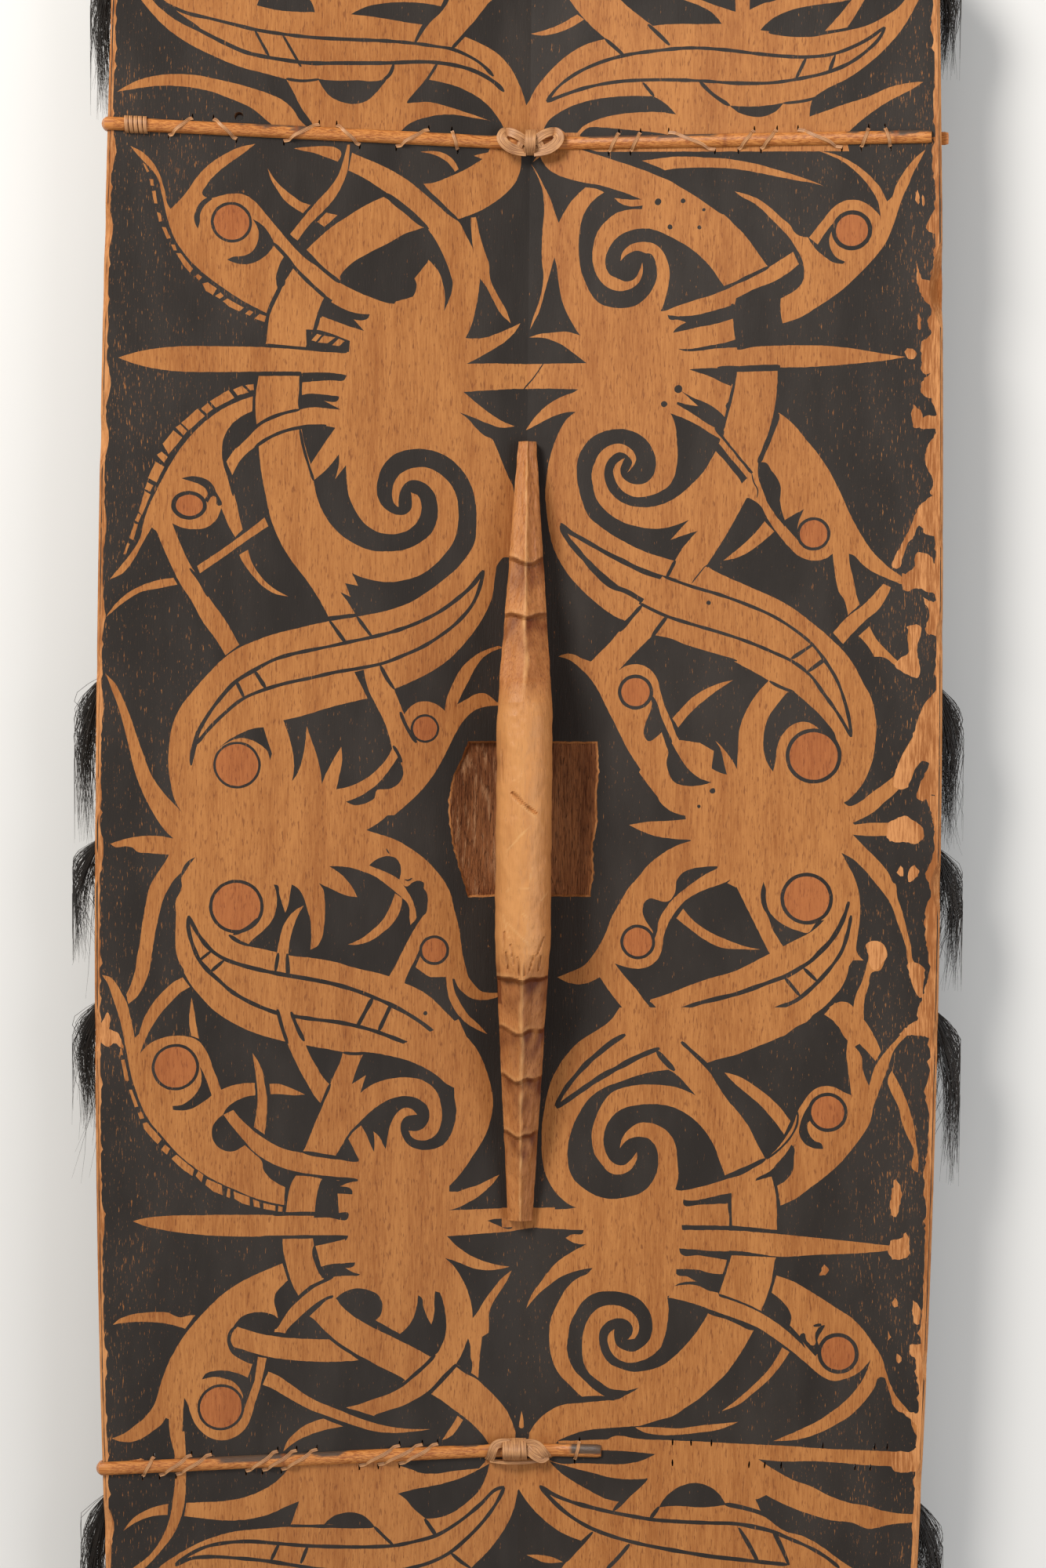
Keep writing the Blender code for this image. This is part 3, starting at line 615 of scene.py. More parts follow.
# Areas are closed curves, chips have straight sides, lines are brush strokes and eyes are rings round red discs.
# They are painted in this order, bare wood and ink over each other, on a ground of ink.
upperLeft = [
    # jaws above the upper cane
    ("wood", "t1", [(20, -200, 1), (50, -90), (90, 0), (130, 50), (190, 110), (270, 165), (370, 215), (480, 258),
                    (560, 278), (636, 299, 1), (665, 350), (692, 405), (725, 452), (748, 490, 1), (900, 520, 1),
                    (1400, 560, 1), (1538, 545, 1), (1538, 385), (1512, 312), (1478, 250), (1430, 200), (1370, 165),
                    (1308, 138, 1), (1372, 58), (1412, 0), (1470, -90), (1538, -180, 1), (1400, -230), (1200, -240),
                    (900, -200), (600, -170), (300, -180)]),
    ("wood", "t1", [(-2, 346, 1), (60, 310), (130, 288), (200, 280), (290, 283), (380, 300), (470, 322), (560, 350),
                    (625, 380), (660, 410), (685, 450), (716, 480, 1), (650, 500, 1), (600, 485), (575, 465), (500, 405),
                    (430, 374), (350, 345), (270, 329), (190, 323), (110, 328), (50, 338)]),
    ("ink", "t1", [(525, 20, 1), (600, 38), (680, 45), (745, 46, 1), (735, 15), (700, -25), (640, -60), (560, -70, 1),
                   (540, -20)]),
    ("ink", "t1", [(880, 54, 1), (940, 25), (1010, 12), (1080, 8), (1150, 12), (1222, 24, 1), (1160, 94, 1), (1100, 86),
                   (1040, 76), (960, 63)]),
    ("ink", "t1", [(735, -40, 1), (860, -40), (1000, -60), (1150, -80), (1262, -60, 1), (1330, -160), (1150, -185),
                   (930, -170), (800, -120)]),
    ("line", "t1", [(1262, -60), (1225, 28), (1160, 94), (1122, 162)], 4),
    ("line", "t1", [(1410, 5), (1372, 58), (1308, 132), (1260, 184)], 3.2),
    ("ink", "t1", [(1093, 390, 1), (1130, 345), (1168, 300, 1), (1230, 312), (1290, 330), (1345, 358), (1395, 395),
                   (1432, 440), (1466, 500, 1), (1428, 465, 1), (1350, 436), (1250, 404), (1180, 386)]),
    ("ink", "t1", [(1055, 512, 1), (1095, 470), (1150, 447), (1250, 432), (1350, 446), (1430, 466), (1480, 520, 1)]),
    ("ink", "t1", [(755, 298, 1), (800, 303), (900, 303), (1000, 298), (1042, 250, 1), (1015, 300), (980, 345),
                   (940, 380), (900, 392), (850, 386), (800, 362), (772, 328)]),
    ("line", "t1", [(636, 297), (690, 305), (760, 299)], 3),
    ("line", "t1", [(182, 12), (250, 45), (350, 70), (450, 95), (520, 112), (620, 128), (700, 138), (900, 150),
                    (1020, 155), (1130, 165), (1200, 175), (1260, 185), (1315, 207), (1370, 240), (1418, 288)], 3.2),
    ("line", "t1", [(150, 5), (200, 52), (270, 92), (340, 130), (420, 170), (480, 196), (560, 215), (640, 228),
                    (700, 236), (850, 238), (1000, 238), (1200, 236), (1265, 245), (1330, 262), (1390, 290), (1430, 318),
                    (1458, 346)], 3.6),
    ("ink", "t1", [(100, -50, 1), (180, 5), (240, 55), (310, 105), (330, 128, 1), (260, 98), (190, 55), (140, 10)]),
    ("line", "t1", [(518, 115), (572, 214)], 2.8),
    ("line", "t1", [(622, 130), (692, 252)], 2.8),
    ("line", "t1", [(1042, 240), (1020, 288), (1000, 302)], 3),
    ("line", "t1", [(1206, 240), (1168, 300), (1093, 388)], 3),
    # the creature below it
    ("wood", "b0", [(580, 218, 1), (640, 210), (700, 187), (780, 152), (850, 112), (882, 92, 1), (838, 76, 1), (870, 66),
                    (910, 58, 1), (940, 0, 1), (1070, 20, 1), (1077, 130), (1055, 200), (1010, 258), (950, 307),
                    (880, 350), (820, 376), (757, 398, 1), (690, 330), (620, 265)]),
    ("wood", "b1", [(215, -1060, 1), (300, -1025), (400, -980), (500, -920), (575, -860), (650, -795), (720, -735),
                    (758, -712), (785, -665), (815, -605), (850, -538, 1), (866, -480), (868, -420), (860, -340),
                    (848, -270), (828, -190), (795, -115, 1), (880, -115), (950, -135), (1020, -165), (1075, -190, 1),
                    (1050, -150), (1000, -100), (940, -60), (880, -25), (800, 16, 1), (950, 14), (1120, 10, 1),
                    (1120, 146, 1), (900, 152), (785, 160, 1), (850, 215), (910, 262), (975, 305), (1045, 335, 1),
                    (980, 342), (910, 322), (840, 292), (765, 265, 1), (810, 300), (850, 345), (895, 385), (930, 400),
                    (950, 440), (975, 500), (1005, 575), (1035, 635, 1), (1055, 800), (1020, 1003, 1), (970, 1010),
                    (945, 1060), (938, 1130, 1), (600, 1250, 1), (95, 1305, 1), (30, 1188), (-20, 1115), (-100, 1010),
                    (-155, 915), (-200, 800), (-222, 700), (-248, 560), (-260, 440), (-272, 320), (-277, 250),
                    (-272, 150), (-260, 78, 1), (-50, 78, 1), (-20, -50, 1), (-60, -190, 1), (60, -220, 1),
                    (130, -330, 1), (430, -290, 1), (600, -500, 1), (620, -640), (560, -720), (480, -790), (400, -850),
                    (350, -885), (270, -935), (198, -970, 1)]),
    ("wood", "b0", [(822, 390, 1), (848, 388, 1), (868, 480), (895, 570), (915, 630), (920, 700), (950, 770),
                    (1000, 860), (1026, 930, 1), (975, 880), (930, 800), (895, 735), (868, 700, 1), (850, 640)]),
    ("wood", "b0", [(378, 285, 1), (470, 345), (540, 400), (598, 445, 1), (520, 465), (440, 500), (360, 548), (290, 582),
                    (215, 628), (155, 688, 1), (153, 714, 1), (80, 655), (20, 605), (-25, 562, 1), (40, 500), (110, 440),
                    (200, 380), (290, 325)]),
    ("ink", "b0", [(380, 280, 1), (450, 330), (520, 382), (605, 450, 1), (560, 430), (480, 365), (420, 318)]),
    ("line", "b0", [(395, 268), (480, 330), (545, 388), (606, 450)], 3),
    ("ink", "b0", [(445, 520, 1), (520, 470), (600, 445, 1), (645, 510), (685, 590), (712, 660), (730, 730), (715, 800),
                   (684, 868, 1), (690, 800), (680, 730), (660, 670), (610, 610), (555, 560), (500, 528)]),
    ("line", "b0", [(600, 444), (500, 475), (400, 530), (300, 580), (220, 628), (158, 690)], 2.6),
    ("ink", "b0", [(165, 716, 1), (240, 635), (335, 578, 1), (400, 600), (470, 635), (520, 680), (545, 730), (540, 770),
                   (525, 795, 1), (480, 808), (420, 820), (340, 805), (250, 765)]),
    ("line", "b0", [(570, 225), (650, 305), (755, 402)], 3.4),
    ("wood", "b0", [(565, 55, 1), (640, 52), (700, 70), (740, 105), (760, 145, 1), (740, 155, 1), (715, 120), (670, 85),
                    (620, 65)]),
    ("wood", "b0", [(-80, 38, 1), (-20, 30), (60, 26), (130, 33), (160, 55), (142, 104, 1), (90, 85), (20, 60),
                    (-30, 50)]),
    ("wood", "b0", [(192, 18, 1), (205, 18, 1), (200, 90), (190, 160), (165, 225), (120, 300), (55, 370), (0, 425),
                    (-65, 512, 1), (-100, 475, 1), (-40, 400), (40, 305), (100, 240), (145, 175), (168, 110),
                    (182, 60)]),
    ("wood", "a0", [(865, 138, 1), (905, 200), (950, 245), (1000, 285), (1040, 312), (1085, 325, 1), (1045, 368, 1),
                    (1000, 340), (950, 300), (915, 250), (885, 200)]),
    ("chip", "b0", [(38, 412), (85, 365), (142, 378), (75, 438)]),
    # beak with a dashed border
    ("wood", "a0", [(165, 25, 1), (225, 55), (280, 110), (318, 180), (342, 262), (356, 325), (370, 346, 1), (392, 325),
                    (450, 262), (500, 190), (560, 125), (640, 70), (720, 32), (802, 14, 1), (745, 60), (680, 105),
                    (610, 160), (560, 215), (535, 275), (575, 293, 1), (620, 280), (680, 268), (745, 273), (800, 308),
                    (850, 365), (900, 425), (950, 485), (1005, 548), (1060, 602), (1130, 660), (1200, 708, 1),
                    (1190, 800, 1), (1120, 750), (1060, 700), (1000, 640), (948, 590, 1), (922, 640), (910, 700),
                    (915, 745), (890, 800), (862, 878, 1), (740, 815), (640, 750), (540, 675), (450, 585), (390, 495),
                    (352, 385), (328, 280), (300, 180), (270, 140), (225, 95)]),
    ("wood", "a0", [(1000, 645, 1), (1070, 715), (1165, 798, 1), (1135, 855), (1105, 930), (1078, 1000), (1062, 1052, 1),
                    (950, 1045), (848, 1036, 1), (858, 940), (885, 865), (925, 780), (960, 705)]),
    ("wood", "b0", [(-130, 485, 1), (-75, 548), (-20, 600), (60, 655), (153, 722), (250, 772), (420, 835, 1),
                    (305, 884, 1), (220, 865), (130, 820), (60, 770), (0, 712), (-80, 640), (-130, 590, 1)]),
    ("line", "b0", [(-105, 485), (-20, 565), (40, 628), (155, 722)], 3.6),
    ("line", "b0", [(-185, 520), (-120, 590), (-80, 642), (-20, 705), (85, 800)], 3.6),
    ("ink", "b0", [(72, 795, 1), (160, 850), (230, 876), (307, 884, 1), (300, 900), (225, 910, 1), (277, 968, 1),
                   (200, 945), (120, 915), (52, 890, 1)]),
    ("line", "b0", [(82, 800), (50, 880), (30, 950), (5, 1015), (-18, 1060)], 3.4),
    ("ink", "b0", [(-20, 962, 1), (40, 963), (120, 986), (205, 1020, 1), (200, 1076, 1), (100, 1074), (-15, 1062, 1)]),
    ("chip", "b0", [(8, 1016), (38, 984), (60, 990), (32, 1022)]),
    ("chip", "b0", [(42, 1026), (74, 992), (130, 1002), (90, 1032)]),
    ("chip", "b0", [(115, 1040), (148, 1008), (178, 1020), (150, 1046)]),
    ("wood", "a0", [(103, 1105, 1), (200, 1075), (310, 1056), (430, 1047), (640, 1047), (850, 1052), (1060, 1066),
                    (1275, 1078, 1), (1290, 1195, 1), (1040, 1177), (800, 1176), (600, 1178), (420, 1175), (300, 1162),
                    (195, 1138)]),
    ("line", "a0", [(845, 1042), (960, 1050), (1070, 1060), (1270, 1076)], 3),
    ("ink", "a0", [(948, 590, 1), (995, 632, 1), (960, 690), (945, 742), (915, 745, 1), (908, 690), (925, 640)]),
    ("line", "a0", [(930, 740), (900, 800), (868, 880), (856, 960), (849, 1040)], 3.2),
    ("ink", "a0", [(510, 447, 1), (490, 395), (500, 350), (530, 305), (575, 278, 1), (582, 298, 1), (545, 328),
                   (523, 365), (520, 405)]),
    ("ink", "a0", [(788, 398, 1), (835, 425), (872, 470), (902, 528, 1), (868, 572), (815, 612), (760, 628), (700, 622),
                   (658, 604, 1), (690, 590), (745, 585), (790, 560), (815, 510), (818, 455)]),
    ("eye", "a0", (681, 414), 97, 15),
    ("chip", "a0", [(262, 192), (280, 195), (286, 228), (268, 226)]),
    ("chip", "a0", [(275, 255), (293, 252), (303, 318), (287, 318)]),
    ("chip", "a0", [(300, 362), (318, 368), (328, 408), (312, 412)]),
    ("chip", "a0", [(326, 438), (346, 440), (371, 495), (352, 500)]),
    ("chip", "a0", [(372, 528), (392, 528), (402, 558), (386, 558)]),
    ("chip", "a0", [(398, 572), (422, 572), (485, 652), (470, 672), (440, 638)]),
    ("chip", "a0", [(495, 690), (510, 678), (530, 692), (515, 712)]),
    ("chip", "a0", [(532, 727), (560, 720), (606, 752), (586, 786), (550, 764)]),
    ("chip", "a0", [(598, 790), (625, 772), (642, 790), (620, 804)]),
    ("chip", "a0", [(638, 817), (660, 803), (744, 850), (722, 869), (670, 845)]),
    ("chip", "a0", [(750, 880), (772, 862), (792, 872), (775, 892)]),
    ("chip", "a0", [(798, 905), (825, 882), (858, 893), (850, 923)]),
    ("chip", "a0", [(228, 108), (240, 118), (262, 155), (250, 160)]),
    # the double spiral in its body, and the strips beside it
    ("wood", "b2", [(-640, 1200, 1), (-685, 1130), (-710, 1030), (-722, 930), (-718, 850), (-700, 740),
                    (-660, 650), (-600, 570), (-520, 480), (-440, 400), (-360, 345), (-280, 310),
                    (-180, 275), (-60, 245), (70, 215), (160, 200), (265, 182), (340, 165), (430, 138),
                    (520, 102), (600, 62), (690, 0), (760, -60, 1), (850, -300, 1), (1010, -300, 1),
                    (1010, -120, 1), (985, -115, 1), (958, -80), (945, -20), (938, 40), (930, 90),
                    (905, 150), (860, 230), (800, 310), (720, 395), (640, 455), (560, 498), (430, 556, 1),
                    (482, 685, 1), (505, 655), (540, 628), (585, 618), (635, 628), (690, 668, 1),
                    (700, 600), (725, 540), (760, 470), (800, 420), (860, 375), (915, 350), (965, 335, 1),
                    (985, 345, 1), (985, 640, 1), (900, 645), (840, 665), (790, 710), (745, 780),
                    (715, 840), (680, 910), (640, 980), (580, 1060), (500, 1140), (430, 1200, 1)]),
    ("ink", "b1", [(20, 610, 1), (45, 720), (90, 810), (150, 880), (230, 935), (320, 970), (400, 973), (480, 965),
                   (560, 930), (620, 880), (650, 810), (652, 740), (635, 675), (600, 635), (545, 610), (500, 616),
                   (470, 650), (455, 700), (452, 748, 1), (428, 725), (420, 685), (425, 640), (450, 590), (490, 560),
                   (540, 545), (600, 546), (660, 575), (710, 620), (745, 680), (758, 760), (755, 850), (735, 920),
                   (690, 985), (640, 1040), (570, 1090), (480, 1120), (400, 1130), (320, 1120), (250, 1100),
                   (215, 1083, 1), (248, 1150, 1), (180, 1135, 1), (208, 1205, 1), (155, 1180, 1), (200, 1240),
                   (237, 1302, 1), (330, 1290), (430, 1265), (520, 1230), (600, 1180), (680, 1120), (760, 1050),
                   (800, 1000), (840, 930), (850, 830), (845, 720), (820, 630), (770, 550), (700, 490), (610, 455),
                   (520, 452), (430, 480), (370, 545), (345, 620), (348, 700), (390, 760), (440, 785), (490, 783),
                   (515, 760), (522, 720), (515, 672, 1), (550, 688), (570, 740), (560, 800), (510, 860), (430, 885),
                   (350, 875), (280, 830), (230, 760), (197, 680), (188, 600), (185, 533, 1), (130, 605, 1), (150, 510),
                   (148, 478, 1), (80, 560)]),
    ("ink", "b1", [(-38, 62, 1), (50, 60), (110, 62), (188, 75, 1), (182, 92), (100, 100), (0, 108), (-38, 112, 1)]),
    ("line", "b1", [(-262, 68), (-150, 68), (-38, 70)], 3),
    ("line", "b1", [(-45, 60), (-47, 150), (-52, 250)], 3),
    ("ink", "b1", [(-52, 178, 1), (0, 168), (60, 172), (150, 183, 1), (148, 196), (72, 204, 1), (158, 250, 1), (80, 243),
                   (20, 238), (-55, 250, 1)]),
    ("wood", "a1", [(655, 515, 1), (700, 450), (760, 385), (830, 322), (930, 278), (1030, 252), (1130, 245),
                    (1250, 256, 1), (1235, 330, 1), (1170, 330), (1040, 342), (960, 358), (870, 395), (800, 440),
                    (725, 510), (685, 585, 1)]),
    ("line", "a1", [(700, 445), (760, 383), (830, 320), (930, 274), (1030, 250)], 3.2),
    ("line", "a1", [(800, 442), (870, 395), (960, 357), (1040, 340), (1165, 330)], 3),
    ("ink", "b1", [(-42, 350, 1), (40, 332), (132, 342, 1), (90, 400), (50, 460), (5, 528, 1), (-20, 450)]),
    ("line", "b1", [(-50, 350), (-30, 450), (0, 550), (20, 612)], 2.6),
    # second beak
    ("wood", "a1", [(790, 182, 1), (700, 215), (630, 250), (560, 300), (490, 365), (420, 450), (360, 545), (310, 640),
                    (265, 730), (230, 835), (215, 905), (170, 980), (110, 1055), (60, 1115, 1), (125, 1085), (185, 1010),
                    (225, 935), (275, 850, 1), (300, 870), (380, 830, 1), (430, 852), (500, 860), (560, 848), (605, 808),
                    (628, 750, 1), (645, 790), (670, 850), (700, 900, 1), (738, 862, 1), (720, 790), (700, 700),
                    (672, 620), (642, 540, 1), (632, 470), (640, 400), (670, 340), (720, 292), (785, 258, 1)]),
    ("wood", "a1", [(298, 868, 1), (378, 828, 1), (420, 935), (470, 1040), (515, 1115), (570, 1215), (640, 1310),
                    (720, 1450, 1), (650, 1503, 1), (600, 1420), (540, 1340), (480, 1230), (415, 1130), (380, 1060),
                    (340, 970)]),
    ("ink", "a1", [(425, 600, 1), (480, 590), (540, 600), (585, 632), (602, 668), (625, 740), (612, 740), (595, 690),
                   (560, 724, 1), (545, 712), (560, 680), (545, 650), (510, 628), (470, 615)]),
    ("disc", "a1", (464, 738), 90, 0.82),
    ("redDisc", "a1", (466, 738), 68, 0.80),
    ("line", "a1", [(640, 520), (672, 610), (690, 690)], 2.2),
    ("chip", "a1", [(690, 148), (735, 128), (768, 162), (712, 178)]),
    ("chip", "a1", [(752, 125), (793, 120), (795, 150), (775, 152)]),
    ("chip", "a1", [(570, 208), (665, 150), (696, 190), (600, 240)]),
    ("chip", "a1", [(525, 245), (560, 215), (586, 246), (556, 272)]),
    ("chip", "a1", [(425, 318), (508, 245), (545, 282), (464, 355)]),
    ("chip", "a1", [(395, 340), (420, 325), (455, 360), (435, 382)]),
    ("chip", "a1", [(330, 425), (385, 355), (430, 392), (360, 478)]),
    ("chip", "a1", [(300, 480), (325, 465), (356, 492), (336, 520)]),
    ("chip", "a1", [(255, 598), (294, 516), (338, 542), (298, 622)]),
    ("chip", "a1", [(238, 655), (252, 620), (282, 638), (266, 668)]),
    ("chip", "a1", [(208, 770), (238, 665), (268, 682), (225, 787)]),
    ("chip", "a1", [(188, 815), (205, 778), (222, 787), (205, 825)]),
    ("chip", "a1", [(160, 905), (185, 830), (203, 836), (180, 917)]),
    ("chip", "a1", [(130, 987), (150, 930), (162, 935), (140, 987)]),
    ("wood", "a1", [(505, 1048, 1), (600, 985), (700, 915), (780, 855), (850, 800, 1), (868, 845, 1), (800, 890),
                    (700, 960), (600, 1030), (520, 1085, 1)]),
    ("wood", "a1", [(720, 990, 1), (765, 965, 1), (790, 1040), (830, 1100), (880, 1150), (970, 1203, 1), (900, 1188),
                    (840, 1150), (780, 1085), (740, 1030)]),
    ("wood", "a1", [(40, 1310, 1), (90, 1240), (160, 1180), (240, 1140), (330, 1115), (385, 1108, 1), (405, 1142, 1),
                    (320, 1160), (220, 1180), (130, 1235)]),
    ("line", "a1", [(468, 1060), (500, 1100), (560, 1205)], 2.4),
    ("wood", "a2", [(42, 482, 1), (82, 520), (125, 600), (162, 690), (200, 800), (235, 900), (275, 1000),
                    (335, 1085), (400, 1155), (470, 1230, 1), (320, 1250, 1), (255, 1140), (212, 1045),
                    (180, 950), (160, 860), (135, 760), (108, 660), (75, 570)]),
    ("ink", "b2", [(752, 634, 1), (790, 552), (818, 500), (848, 442), (885, 395), (930, 365), (985, 345, 1),
                   (985, 600, 1), (965, 625), (930, 600), (895, 578), (850, 580), (800, 608)]),
    ("ink", "b2", [(-135, 715, 1), (-30, 690), (100, 650), (200, 625), (295, 603, 1), (228, 468, 1),
                   (276, 458, 1), (300, 560), (340, 640), (388, 740), (420, 858, 1), (400, 900), (350, 960),
                   (290, 1010), (215, 1048), (135, 1068, 1), (150, 1000), (165, 920), (160, 850, 1),
                   (110, 935), (75, 1005), (62, 1042, 1), (55, 980), (38, 900), (10, 820), (-15, 745, 1),
                   (-22, 820), (-35, 900), (-60, 980), (-90, 1027, 1), (-80, 950), (-88, 870), (-108, 790)]),
    ("ink", "b2", [(448, 905, 1), (470, 945), (478, 990), (460, 1030), (420, 1060), (375, 1068),
                   (345, 1070), (330, 1110), (280, 1140), (230, 1148), (185, 1130, 1), (240, 1110),
                   (300, 1075), (350, 1035), (400, 975)]),
    ("ink", "a2", [(615, 860, 1), (660, 820), (720, 785), (790, 758), (845, 750, 1), (862, 810),
                   (888, 885, 1), (878, 920, 1), (858, 865), (825, 838), (780, 815), (735, 805), (690, 815),
                   (650, 835)]),
    ("ink", "a2", [(470, 945, 1), (478, 890), (490, 830), (508, 770), (515, 800), (500, 860), (485, 920)]),
    ("line", "b2", [(-605, 945), (-598, 870), (-570, 780), (-520, 690), (-450, 595), (-380, 520),
                    (-280, 458), (-180, 405), (-80, 375), (0, 358), (100, 338), (190, 318), (320, 290),
                    (440, 258), (560, 213), (660, 162), (750, 98), (835, 20), (885, -50)], 3.4),
    ("line", "b2", [(-575, 835), (-520, 765), (-440, 685), (-340, 605), (-230, 558), (-130, 528),
                    (0, 500), (130, 470), (250, 450), (380, 422), (480, 383), (570, 343), (660, 288),
                    (760, 208), (835, 115), (872, 20), (888, -50)], 3.2),
    ("line", "a2", [(705, 515), (745, 600)], 3.4),
    ("line", "a2", [(800, 465), (855, 550)], 3.4),
    ("line", "b2", [(100, 205), (140, 260), (185, 322)], 3.2),
    ("line", "b2", [(240, 185), (280, 240), (320, 292)], 3.2),
    ("line", "b2", [(100, 195), (180, 187), (240, 181)], 3),
    ("line", "b2", [(360, 435), (400, 510), (432, 556)], 3.4),
    ("line", "b2", [(462, 672), (490, 740), (525, 800), (545, 830)], 3.4),
    ("line", "b2", [(425, 845), (450, 885), (468, 930)], 3.4),
    ("eye", "b2", (588, 757), 68, 12),
    ("eye", "a2", (709, 943), 114, 13),
]
